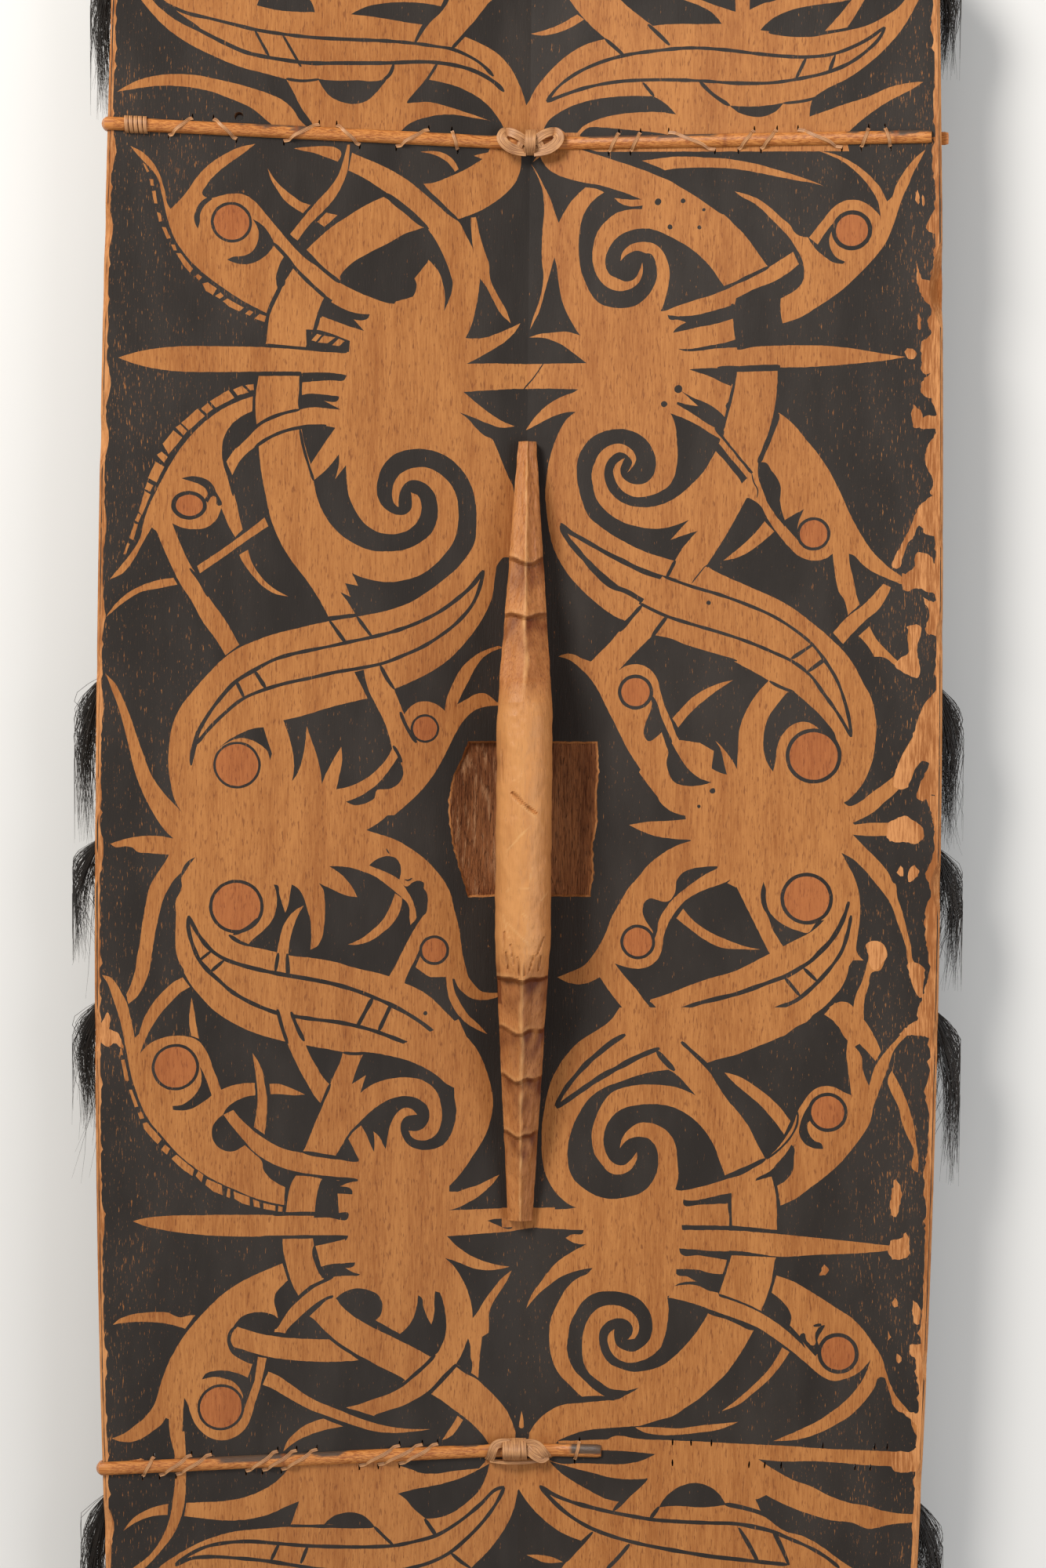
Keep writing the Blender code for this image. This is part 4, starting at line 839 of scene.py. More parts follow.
lowerLeft = [
    ("wood", "a3", [(318, 126, 1), (340, 155), (385, 198, 1), (330, 188), (265, 184), (190, 190),
        (130, 203), (62, 225, 1), (90, 242), (140, 238), (178, 245), (195, 262), (260, 272), (362, 280, 1),
        (335, 330), (300, 380), (265, 440), (250, 500), (235, 580), (222, 660), (212, 740), (200, 800),
        (190, 870), (172, 930), (145, 995, 1), (155, 1042, 1), (260, 960, 1), (400, 900, 1), (440, 885, 1),
        (475, 945), (520, 1000), (580, 1065), (640, 1110), (710, 1150), (800, 1190), (940, 1230),
        (1060, 1255), (1180, 1275), (1260, 1290), (1500, 1420, 1), (1817, 1470, 1), (2015, 1550, 1),
        (2008, 1480), (1990, 1410), (1965, 1340), (1930, 1270), (1880, 1210), (1820, 1130), (1760, 1070),
        (1700, 1010), (1630, 965), (1567, 938, 1), (1615, 852, 1), (1690, 905, 1), (1775, 905, 1),
        (1820, 915, 1), (1840, 960), (1870, 990), (1910, 1015), (1950, 1022), (1990, 1020), (2045, 1005, 1),
        (2045, 985, 1), (2000, 985), (1950, 975), (1920, 945), (1890, 905), (1875, 850), (1860, 790),
        (1850, 720), (1840, 650), (1825, 590), (1810, 530), (1800, 485), (1775, 430), (1740, 380),
        (1700, 335), (1640, 280), (1580, 240), (1530, 210), (1480, 190), (1430, 175), (1370, 155, 1),
        (1430, 118), (1480, 78), (1515, 55, 1), (440, 70, 1), (452, 100, 1)]),
    ("ink", "a3", [(497, 293, 1), (465, 335), (440, 375), (425, 400), (428, 440), (415, 480), (400, 505),
        (398, 600), (395, 690), (398, 770), (412, 825), (440, 885), (432, 905, 1), (380, 935), (330, 980),
        (290, 1025), (250, 1085), (225, 1140), (205, 1210, 1), (185, 1210, 1), (165, 1110), (152, 1045, 1),
        (185, 1020), (220, 975), (245, 920), (262, 870), (272, 800), (285, 720), (300, 640), (318, 560),
        (340, 490), (362, 450), (375, 425), (400, 395), (425, 370), (435, 345), (460, 312)]),
    ("ink", "a3", [(897, 432, 1), (915, 436), (925, 480), (940, 530), (955, 577, 1), (972, 530), (980, 480),
        (988, 432, 1), (1020, 452), (1048, 495), (1065, 550), (1082, 610), (1088, 680), (1084, 765, 1),
        (1112, 752), (1138, 715), (1152, 650), (1158, 580), (1155, 500), (1148, 455), (1125, 425, 1),
        (1170, 445), (1220, 470), (1270, 490), (1322, 497, 1), (1310, 470), (1285, 430), (1250, 390),
        (1215, 362), (1180, 340, 1), (1260, 342), (1340, 362), (1410, 390), (1480, 440), (1545, 495),
        (1580, 530), (1590, 565), (1590, 600), (1595, 640, 1), (1625, 600), (1668, 580, 1), (1635, 625),
        (1605, 675), (1575, 730), (1545, 790), (1515, 850), (1485, 902, 1), (1430, 885), (1360, 870),
        (1280, 850), (1210, 828), (1140, 815), (1080, 806), (980, 796), (900, 776), (840, 762),
        (760, 747, 1), (790, 712), (830, 680), (870, 640), (900, 590), (912, 520), (908, 470)]),
    ("wood", "a3", [(912, 785, 1), (925, 720), (940, 660), (965, 610), (1005, 565), (1050, 540, 1),
        (1020, 590), (1000, 640), (985, 690), (975, 740), (970, 800, 1)]),
    ("wood", "b3", [(435, 478, 1), (410, 545), (375, 610), (320, 665), (260, 710), (195, 740, 1),
        (250, 738), (310, 720), (370, 680), (420, 635), (455, 580), (470, 530), (470, 500, 1)]),
    ("wood", "b3", [(340, 352, 1), (400, 375), (450, 410), (495, 460), (525, 510), (540, 560), (545, 600),
        (515, 637, 1), (512, 580), (505, 530), (480, 490), (440, 450), (400, 412), (340, 372, 1)]),
    ("ink", "b3", [(303, 336, 1), (340, 305), (390, 288), (430, 294), (457, 320), (465, 360), (458, 408, 1),
        (400, 374), (345, 352)]),
    ("ink", "b3", [(455, 405, 1), (500, 442), (520, 425), (560, 413), (583, 425), (582, 450), (600, 480),
        (602, 530), (592, 580), (545, 602, 1), (538, 555), (520, 505), (490, 455)]),
    ("line", "b3", [(485, 408), (500, 412), (522, 400)], 2),
    ("line", "b3", [(390, 250), (405, 275)], 1.6),
    ("line", "a3", [(462, 592), (460, 640), (470, 700), (490, 760), (515, 815), (560, 870), (620, 925),
        (670, 970), (740, 1015), (800, 1045), (860, 1070), (920, 1090), (1000, 1105), (1100, 1120),
        (1240, 1138), (1320, 1155), (1410, 1180), (1500, 1213), (1580, 1245), (1640, 1275), (1700, 1308),
        (1760, 1345), (1820, 1390), (1870, 1430), (1910, 1470), (1938, 1520)], 3.6),
    ("line", "a3", [(462, 592), (490, 650), (520, 700), (555, 745), (580, 770), (640, 810), (720, 840),
        (800, 862), (880, 880), (970, 897), (1060, 912), (1200, 940), (1280, 962), (1360, 990),
        (1410, 1010), (1480, 1040), (1540, 1070), (1600, 1105), (1660, 1145), (1720, 1195), (1780, 1260),
        (1830, 1320), (1870, 1380), (1905, 1440), (1940, 1520)], 3.8),
    ("line", "a3", [(580, 770), (515, 822)], 3.2),
    ("line", "a3", [(642, 820), (577, 876)], 3.2),
    ("line", "a3", [(920, 782), (905, 875)], 3.4),
    ("line", "a3", [(965, 785), (970, 908)], 3.4),
    ("line", "b3", [(322, 1010), (240, 1162)], 3.8),
    ("line", "b3", [(415, 1045), (352, 1180)], 3.4),
    ("eye", "a3", (706, 545), 130, 17),
    ("line", "a3", [(668, 690), (720, 725), (775, 745)], 3.6),
    ("line", "a3", [(690, 688), (760, 655), (815, 605)], 3),
    ("ink", "b3", [(537, 850, 1), (570, 880), (620, 905), (695, 903, 1), (700, 960), (712, 1015),
        (745, 1080), (800, 1140), (905, 1192, 1), (900, 1245, 1), (830, 1160, 1), (790, 1200, 1),
        (740, 1130), (680, 1070), (620, 1010), (550, 965), (487, 938, 1)]),
    ("wood", "b3", [(695, 900, 1), (700, 960), (712, 1015), (745, 1080), (800, 1140), (905, 1195, 1),
        (860, 1145), (810, 1100), (770, 1040), (740, 980), (727, 912, 1)]),
    ("line", "b3", [(580, 735), (540, 830), (510, 890), (487, 938)], 3.4),
    ("eye", "b3", (635, 768), 70, 15),
    ("dot", "b3", (590, 1090), 11),
    # spine, spiral and cross bands further down
    ("wood", "b4", [(-35, 672, 1), (15, 560), (60, 438), (105, 332, 1), (170, 168, 1), (290, 170, 1),
        (420, 150, 1), (760, 0, 1), (800, 90, 1), (850, 150), (885, 220), (910, 290), (928, 360),
        (935, 430), (925, 500), (905, 570), (870, 640), (830, 700), (790, 760), (750, 810), (712, 850, 1),
        (712, 880, 1), (755, 880, 1), (800, 865), (860, 845), (910, 820), (968, 793, 1), (930, 842),
        (890, 880), (845, 915), (800, 940), (760, 960), (705, 975, 1), (800, 972), (970, 965), (1120, 962),
        (1250, 960, 1), (1250, 1060, 1), (1120, 1066), (1035, 1080), (900, 1092), (800, 1100),
        (700, 1107, 1), (760, 1165), (820, 1205), (890, 1235), (950, 1252), (1020, 1262, 1), (970, 1275),
        (900, 1280), (830, 1270), (770, 1245), (700, 1222, 1), (735, 1260), (770, 1310), (800, 1370),
        (820, 1430), (832, 1525, 1), (860, 1480), (890, 1430), (930, 1380), (970, 1330), (1030, 1282, 1),
        (1005, 1335), (970, 1390), (935, 1445), (915, 1500), (915, 1560), (912, 1600, 1), (880, 1620, 1),
        (872, 1680), (865, 1750), (860, 1830, 1), (825, 1805), (745, 1760, 1), (700, 1810), (650, 1865),
        (590, 1915), (530, 1955), (460, 1985), (400, 2010), (330, 2025, 1), (165, 1975, 1), (250, 1955),
        (340, 1925), (420, 1895), (485, 1842, 1), (350, 1775), (210, 1698), (95, 1615), (0, 1515, 1),
        (105, 1426, 1), (160, 1312, 1), (150, 1000, 1), (130, 720, 1)]),
    ("wood", "a4", [(922, -60, 1), (945, 60), (965, 120), (1000, 200), (1040, 280), (1080, 350),
        (1110, 400), (1140, 432, 1), (1183, 333, 1), (1150, 300), (1120, 250), (1085, 190), (1050, 110),
        (1020, 50), (990, -50, 1)]),
    ("ink", "a4", [(1060, 133, 1), (1160, 150), (1250, 168, 1), (1230, 230), (1200, 290), (1183, 333, 1),
        (1150, 298), (1120, 250), (1085, 190)]),
    ("line", "a4", [(915, -50), (945, 60), (968, 125)], 3.2),
    ("line", "a4", [(985, -38), (1020, 50), (1052, 112)], 3.4),
    ("line", "a4", [(1185, 330), (1140, 435), (1090, 550), (1043, 672)], 2.8),
    ("ink", "b4", [(285, 168, 1), (350, 175), (420, 190), (490, 207), (560, 235), (640, 280), (700, 330),
        (737, 350, 1), (738, 400), (748, 455), (742, 520), (718, 590), (682, 640), (620, 664), (560, 665),
        (505, 642), (475, 602), (463, 560), (470, 520), (490, 497), (520, 490), (548, 488, 1), (520, 458),
        (490, 451), (455, 468), (425, 508), (405, 560), (396, 610), (388, 662, 1), (375, 640), (362, 610),
        (325, 572, 1), (330, 620), (328, 678, 1), (310, 640), (290, 590), (262, 543, 1), (225, 572),
        (197, 610, 1), (220, 655), (252, 718, 1), (130, 702, 1), (165, 640), (205, 575), (255, 525),
        (300, 480), (350, 440), (410, 408), (470, 393), (520, 395), (560, 410), (597, 440), (610, 480),
        (603, 525), (580, 555), (545, 570), (505, 568, 1), (525, 605), (560, 618), (610, 612), (650, 580),
        (670, 530), (675, 480), (668, 430), (655, 385), (620, 340), (570, 310), (500, 297), (420, 303),
        (350, 320), (300, 345), (258, 376, 1), (272, 330), (287, 285, 1), (245, 312), (215, 330, 1),
        (245, 240), (270, 185)]),
    ("line", "b4", [(170, 170), (220, 176), (290, 172)], 3),
    ("wood", "a4", [(640, 488, 1), (690, 463, 1), (720, 500), (760, 540), (800, 575), (850, 610),
        (920, 650), (980, 670), (1045, 682), (1200, 700), (1330, 722, 1), (1330, 820, 1), (1200, 812),
        (1140, 797), (1050, 785), (980, 770), (920, 750), (850, 715), (800, 680), (750, 625), (720, 590),
        (680, 540)]),
    ("line", "b4", [(-35, 678), (60, 695), (120, 704), (250, 722)], 3.6),
    ("line", "b4", [(-100, 778), (0, 800), (60, 806), (150, 814), (246, 822)], 3.6),
    # head with a dashed border above the lower spear
    ("wood", "a3", [(20, 895, 1), (60, 905), (90, 935), (120, 985), (150, 1045), (165, 1110),
        (187, 1215, 1), (210, 1195, 1), (225, 1140), (250, 1085), (290, 1025), (330, 980), (380, 935),
        (432, 906, 1), (468, 955, 1), (420, 985), (370, 1035), (320, 1090), (280, 1150), (245, 1215),
        (215, 1295, 1), (160, 1330, 1), (130, 1200), (105, 1100), (85, 1040), (65, 980), (45, 930)]),
    ("wood", "a4", [(125, 60, 1), (187, 95, 1), (215, 175, 1), (240, 145), (280, 115), (330, 95), (380, 85),
        (430, 85), (480, 95), (515, 112), (545, 150), (570, 200), (590, 260), (610, 310), (628, 360, 1),
        (680, 340), (740, 328), (800, 325, 1), (802, 388, 1), (740, 400), (700, 420), (660, 450),
        (637, 487, 1), (600, 520), (582, 560), (585, 610), (610, 650), (650, 672), (700, 672),
        (748, 642, 1), (790, 680), (835, 725), (845, 770), (870, 805), (910, 835), (955, 858, 1),
        (948, 948, 1), (860, 930), (780, 905), (700, 870), (620, 835), (540, 790), (470, 740), (400, 680),
        (330, 600), (270, 530), (225, 450), (195, 370), (170, 290), (150, 190)]),
    ("chip", "a4", [(118, 208), (135, 205), (158, 312), (138, 315)]),
    ("chip", "a4", [(112, 150), (122, 150), (128, 182), (118, 184)]),
    ("chip", "a4", [(158, 360), (172, 358), (205, 445), (188, 450)]),
    ("chip", "a4", [(203, 478), (222, 472), (236, 505), (213, 510)]),
    ("chip", "a4", [(228, 532), (248, 525), (325, 612), (305, 638), (268, 600), (235, 560)]),
    ("chip", "a4", [(322, 665), (342, 640), (368, 660), (352, 692)]),
    ("chip", "a4", [(375, 712), (400, 692), (490, 765), (482, 800), (430, 765)]),
    ("chip", "a4", [(498, 800), (512, 775), (538, 795), (528, 832)]),
    ("chip", "a4", [(548, 845), (556, 815), (632, 848), (636, 898), (590, 880)]),
    ("chip", "a4", [(655, 905), (662, 862), (675, 868), (672, 912)]),
    ("chip", "a4", [(692, 878), (730, 893), (772, 908), (775, 950), (735, 940), (695, 915)]),
    ("chip", "a4", [(790, 918), (822, 930), (826, 962), (795, 955)]),
    ("chip", "a4", [(842, 938), (905, 952), (905, 978), (845, 968)]),
    ("chip", "a4", [(920, 952), (942, 958), (940, 985), (918, 982)]),
    ("eye", "a4", (395, 245), 112, 15),
    ("ink", "a4", [(517, 235, 1), (540, 280), (560, 330), (580, 390, 1), (540, 420), (490, 450), (440, 465),
        (383, 462, 1), (380, 443, 1), (430, 435), (470, 410), (500, 380), (522, 340), (528, 290)]),
    ("wood", "a4", [(465, 0, 1), (470, -60), (478, -110, 1), (490, -50), (500, 20), (515, 98, 1),
        (475, 85, 1), (468, 40)]),
    ("wood", "a4", [(788, 172, 1), (820, 220), (840, 270), (850, 330), (860, 380), (862, 450), (858, 520),
        (850, 588, 1), (795, 550, 1), (808, 480), (814, 400), (810, 330), (803, 270), (795, 220)]),
    ("wood", "a4", [(875, 330, 1), (920, 330), (970, 345), (1010, 362), (1055, 385, 1), (1000, 388),
        (940, 383), (880, 382, 1)]),
    ("line", "a4", [(862, 330), (868, 400), (866, 470)], 1.6),
    ("wood", "a4", [(1010, 798, 1), (1060, 800), (1143, 815, 1), (1125, 860), (1110, 940), (1105, 1000, 1),
        (1095, 1110, 1), (1105, 1180), (1120, 1250), (1152, 1325, 1), (1080, 1360, 1), (1022, 1410, 1),
        (1000, 1370), (980, 1320), (960, 1250), (945, 1180), (942, 1100), (958, 990), (972, 890),
        (985, 840)]),
    ("wood", "a4", [(178, 1030, 1), (240, 1015), (320, 1005), (500, 1000), (700, 998), (960, 1000),
        (1200, 1005), (1300, 1010, 1), (1290, 1110, 1), (1200, 1105), (940, 1108), (700, 1108), (550, 1102),
        (430, 1090), (330, 1075), (240, 1055)]),
    ("line", "a4", [(880, 992), (960, 993), (1105, 993), (1200, 1000), (1270, 1010)], 3.4),
    ("line", "a4", [(830, 1112), (940, 1112), (1095, 1110), (1275, 1110)], 3.2),
    ("ink", "b4", [(60, 822, 1), (150, 824), (243, 826, 1), (200, 834), (155, 852, 1), (218, 878),
        (218, 893, 1), (140, 890), (52, 886, 1)]),
    ("ink", "b4", [(48, 970, 1), (70, 985), (130, 990), (200, 995), (196, 1014), (100, 1012), (20, 1012, 1),
        (30, 1000)]),
    ("line", "b4", [(62, 822), (52, 886), (40, 970), (25, 1012)], 3.2),
    ("ink", "b4", [(20, 1108, 1), (100, 1104), (197, 1104, 1), (188, 1124), (120, 1140), (45, 1160),
        (28, 1175, 1)]),
    ("line", "b4", [(28, 1150), (22, 1200), (40, 1255), (62, 1310)], 3),
    ("ink", "b5", [(50, 142, 1), (130, 130), (232, 120, 1), (228, 135), (183, 150, 1), (220, 170),
        (258, 182, 1), (240, 190), (160, 190), (90, 205), (62, 198, 1)]),
    ("wood", "b5", [(30, 38, 1), (100, 22), (180, 2, 1), (180, 125, 1), (110, 130), (58, 142, 1)]),
    # the lowest head on the left
    ("wood", "a5", [(940, 125, 1), (968, 212, 1), (930, 250), (905, 280), (900, 330), (912, 375),
        (918, 405, 1), (860, 378), (810, 375), (760, 385), (715, 415), (690, 450), (668, 490), (668, 540),
        (690, 580), (730, 610), (790, 632, 1), (782, 670), (770, 712, 1), (765, 780), (750, 830),
        (745, 870, 1), (800, 720, 1), (815, 603, 1), (860, 610, 1), (850, 660), (835, 720), (820, 780),
        (800, 840), (780, 910), (750, 970), (700, 1010), (640, 1028), (590, 1022), (540, 995), (500, 950),
        (475, 900), (460, 850), (440, 812, 1), (435, 870), (432, 940), (430, 1020), (440, 1080),
        (448, 1160, 1), (385, 1160, 1), (390, 1095), (375, 1040), (365, 980), (362, 920, 1), (345, 915, 1),
        (320, 950), (280, 980), (230, 1015), (180, 1035), (120, 1035), (70, 1018, 1), (120, 1000),
        (180, 960), (240, 910), (285, 850), (300, 810), (320, 740), (345, 670), (375, 600), (410, 540),
        (450, 480), (500, 420), (550, 365), (600, 315), (660, 265), (730, 220), (800, 185), (870, 155)]),
    ("ink", "a5", [(530, 718, 1), (548, 690), (590, 675), (640, 672), (700, 682), (772, 712, 1), (765, 780),
        (750, 830), (738, 862, 1), (738, 800), (720, 760), (690, 730), (650, 715), (600, 705), (560, 710)]),
    ("eye", "a5", (627, 860), 112, 14),
    ("line", "a5", [(795, 632), (785, 670), (768, 720), (752, 790), (738, 860)], 2.6),
    ("ink", "a5", [(700, 448, 1), (715, 415), (760, 385), (810, 375), (860, 378), (905, 395), (918, 408, 1),
        (905, 440), (895, 478, 1), (830, 475), (760, 462)]),
    ("line", "a5", [(712, 445), (675, 485), (668, 525), (685, 570), (740, 612), (795, 635)], 3.6),
    ("wood", "a5", [(712, 450, 1), (760, 465), (830, 485), (900, 497), (960, 505), (1050, 510),
        (1185, 513, 1), (1330, 620, 1), (1200, 628), (1080, 625), (1000, 620), (930, 612), (860, 600),
        (800, 585), (740, 565), (690, 548), (678, 515), (685, 480)]),
    ("wood", "a5", [(898, 480, 1), (915, 430), (960, 360), (1020, 300), (1080, 250), (1140, 220),
        (1200, 195), (1250, 190), (1335, 190, 1), (1335, 252, 1), (1270, 262), (1200, 290), (1120, 330),
        (1060, 385), (1000, 440), (958, 487, 1)]),
    ("ink", "a5", [(955, 490, 1), (1000, 450), (1070, 395, 1), (1110, 440), (1195, 513, 1), (1100, 512),
        (1020, 505)]),
    ("line", "a5", [(905, 460), (960, 370), (1020, 305), (1080, 255), (1140, 222), (1200, 196)], 3.2),
    ("line", "a5", [(958, 487), (1000, 440), (1060, 385), (1120, 335), (1200, 292)], 3.6),
    ("line", "a5", [(898, 480), (960, 492), (1030, 502)], 3),
    ("wood", "b5", [(0, 395, 1), (50, 348), (105, 306), (130, 308, 1), (170, 350), (220, 393), (280, 430),
        (340, 462), (400, 490), (470, 523), (540, 560), (605, 592, 1), (560, 640), (520, 685),
        (485, 722, 1), (420, 690), (350, 655), (280, 618), (210, 578), (150, 540), (95, 495), (45, 445)]),
    ("ink", "b5", [(132, 303, 1), (180, 270), (240, 253), (300, 262), (345, 282, 1), (368, 320), (370, 360),
        (358, 395), (335, 415, 1), (400, 452), (460, 485, 1), (500, 450), (530, 400), (545, 350),
        (553, 288, 1), (570, 300), (580, 350), (600, 400), (620, 437, 1), (635, 380), (635, 330),
        (640, 268, 1), (665, 275, 1), (680, 320), (692, 380), (697, 440), (690, 500), (670, 550),
        (645, 590), (615, 602, 1), (540, 560), (470, 525), (400, 490), (340, 462), (280, 430), (220, 393),
        (170, 350)]),
    ("line", "b5", [(640, 592), (600, 635), (560, 672), (520, 706), (480, 740), (420, 772), (340, 803),
        (250, 835), (160, 858)], 3.6),
    ("line", "b5", [(745, 640), (700, 690), (650, 745), (600, 793), (540, 830), (460, 866),
        (330, 906)], 3.4),
    ("line", "b5", [(-5, 400), (45, 447), (95, 497), (150, 542), (210, 580), (280, 620), (350, 657),
        (485, 724)], 3.2),
    ("ink", "b5", [(690, 98, 1), (735, 112), (800, 140), (870, 158), (950, 165), (1030, 155, 1), (980, 200),
        (930, 262), (885, 325), (855, 375), (832, 405, 1), (826, 340), (805, 265), (775, 200), (740, 145)]),
    ("ink", "b5", [(808, 508, 1), (818, 540), (820, 600), (830, 645), (822, 687, 1), (790, 665),
        (745, 640, 1), (775, 590), (795, 540)]),
    ("wood", "b5", [(748, 655, 1), (800, 690), (850, 715), (900, 760), (950, 810), (1000, 870), (1030, 930),
        (1050, 990, 1), (1045, 1110, 1), (960, 1110, 1), (920, 1060), (890, 1010), (850, 965), (800, 920),
        (740, 875), (680, 830), (620, 792, 1), (690, 720)]),
    ("wood", "a5", [(870, 678, 1), (920, 700), (980, 740), (1050, 790), (1120, 830), (1200, 862),
        (1280, 895), (1360, 925), (1440, 948), (1530, 965), (1695, 972, 1), (1600, 985), (1500, 990),
        (1420, 984), (1340, 963), (1240, 930), (1160, 900), (1100, 880), (1030, 845), (950, 800),
        (900, 770), (840, 745, 1)]),
    ("wood", "a5", [(945, 1085, 1), (965, 1035), (1010, 985), (1070, 945), (1150, 918, 1), (1250, 958, 1),
        (1160, 975), (1080, 1000), (1010, 1035)]),
    ("wood", "a5", [(75, 438, 1), (110, 410), (160, 390), (230, 378), (300, 374), (360, 378), (385, 390),
        (420, 402), (460, 392), (502, 390, 1), (455, 462, 1), (400, 445), (330, 430), (260, 425),
        (180, 425), (110, 432)]),
    ("line", "a5", [(502, 390), (450, 465), (400, 540), (372, 600)], 2.6),
    ("wood", "b5", [(755, 903, 1), (782, 925, 1), (760, 960), (730, 1000), (675, 1028, 1), (700, 990),
        (730, 945)]),
    ("wood", "b5", [(1080, 878, 1), (1090, 930), (1085, 968), (1066, 960, 1)]),
    ("wood", "b5", [(1105, 355, 1), (1125, 300), (1160, 245), (1210, 190), (1250, 160, 1), (1250, 200),
        (1200, 240), (1150, 300)]),
    ("ink", "b4", [(905, 1028, 1), (950, 1018), (1000, 1020), (1040, 1035), (1038, 1057), (950, 1047, 1)]),
]
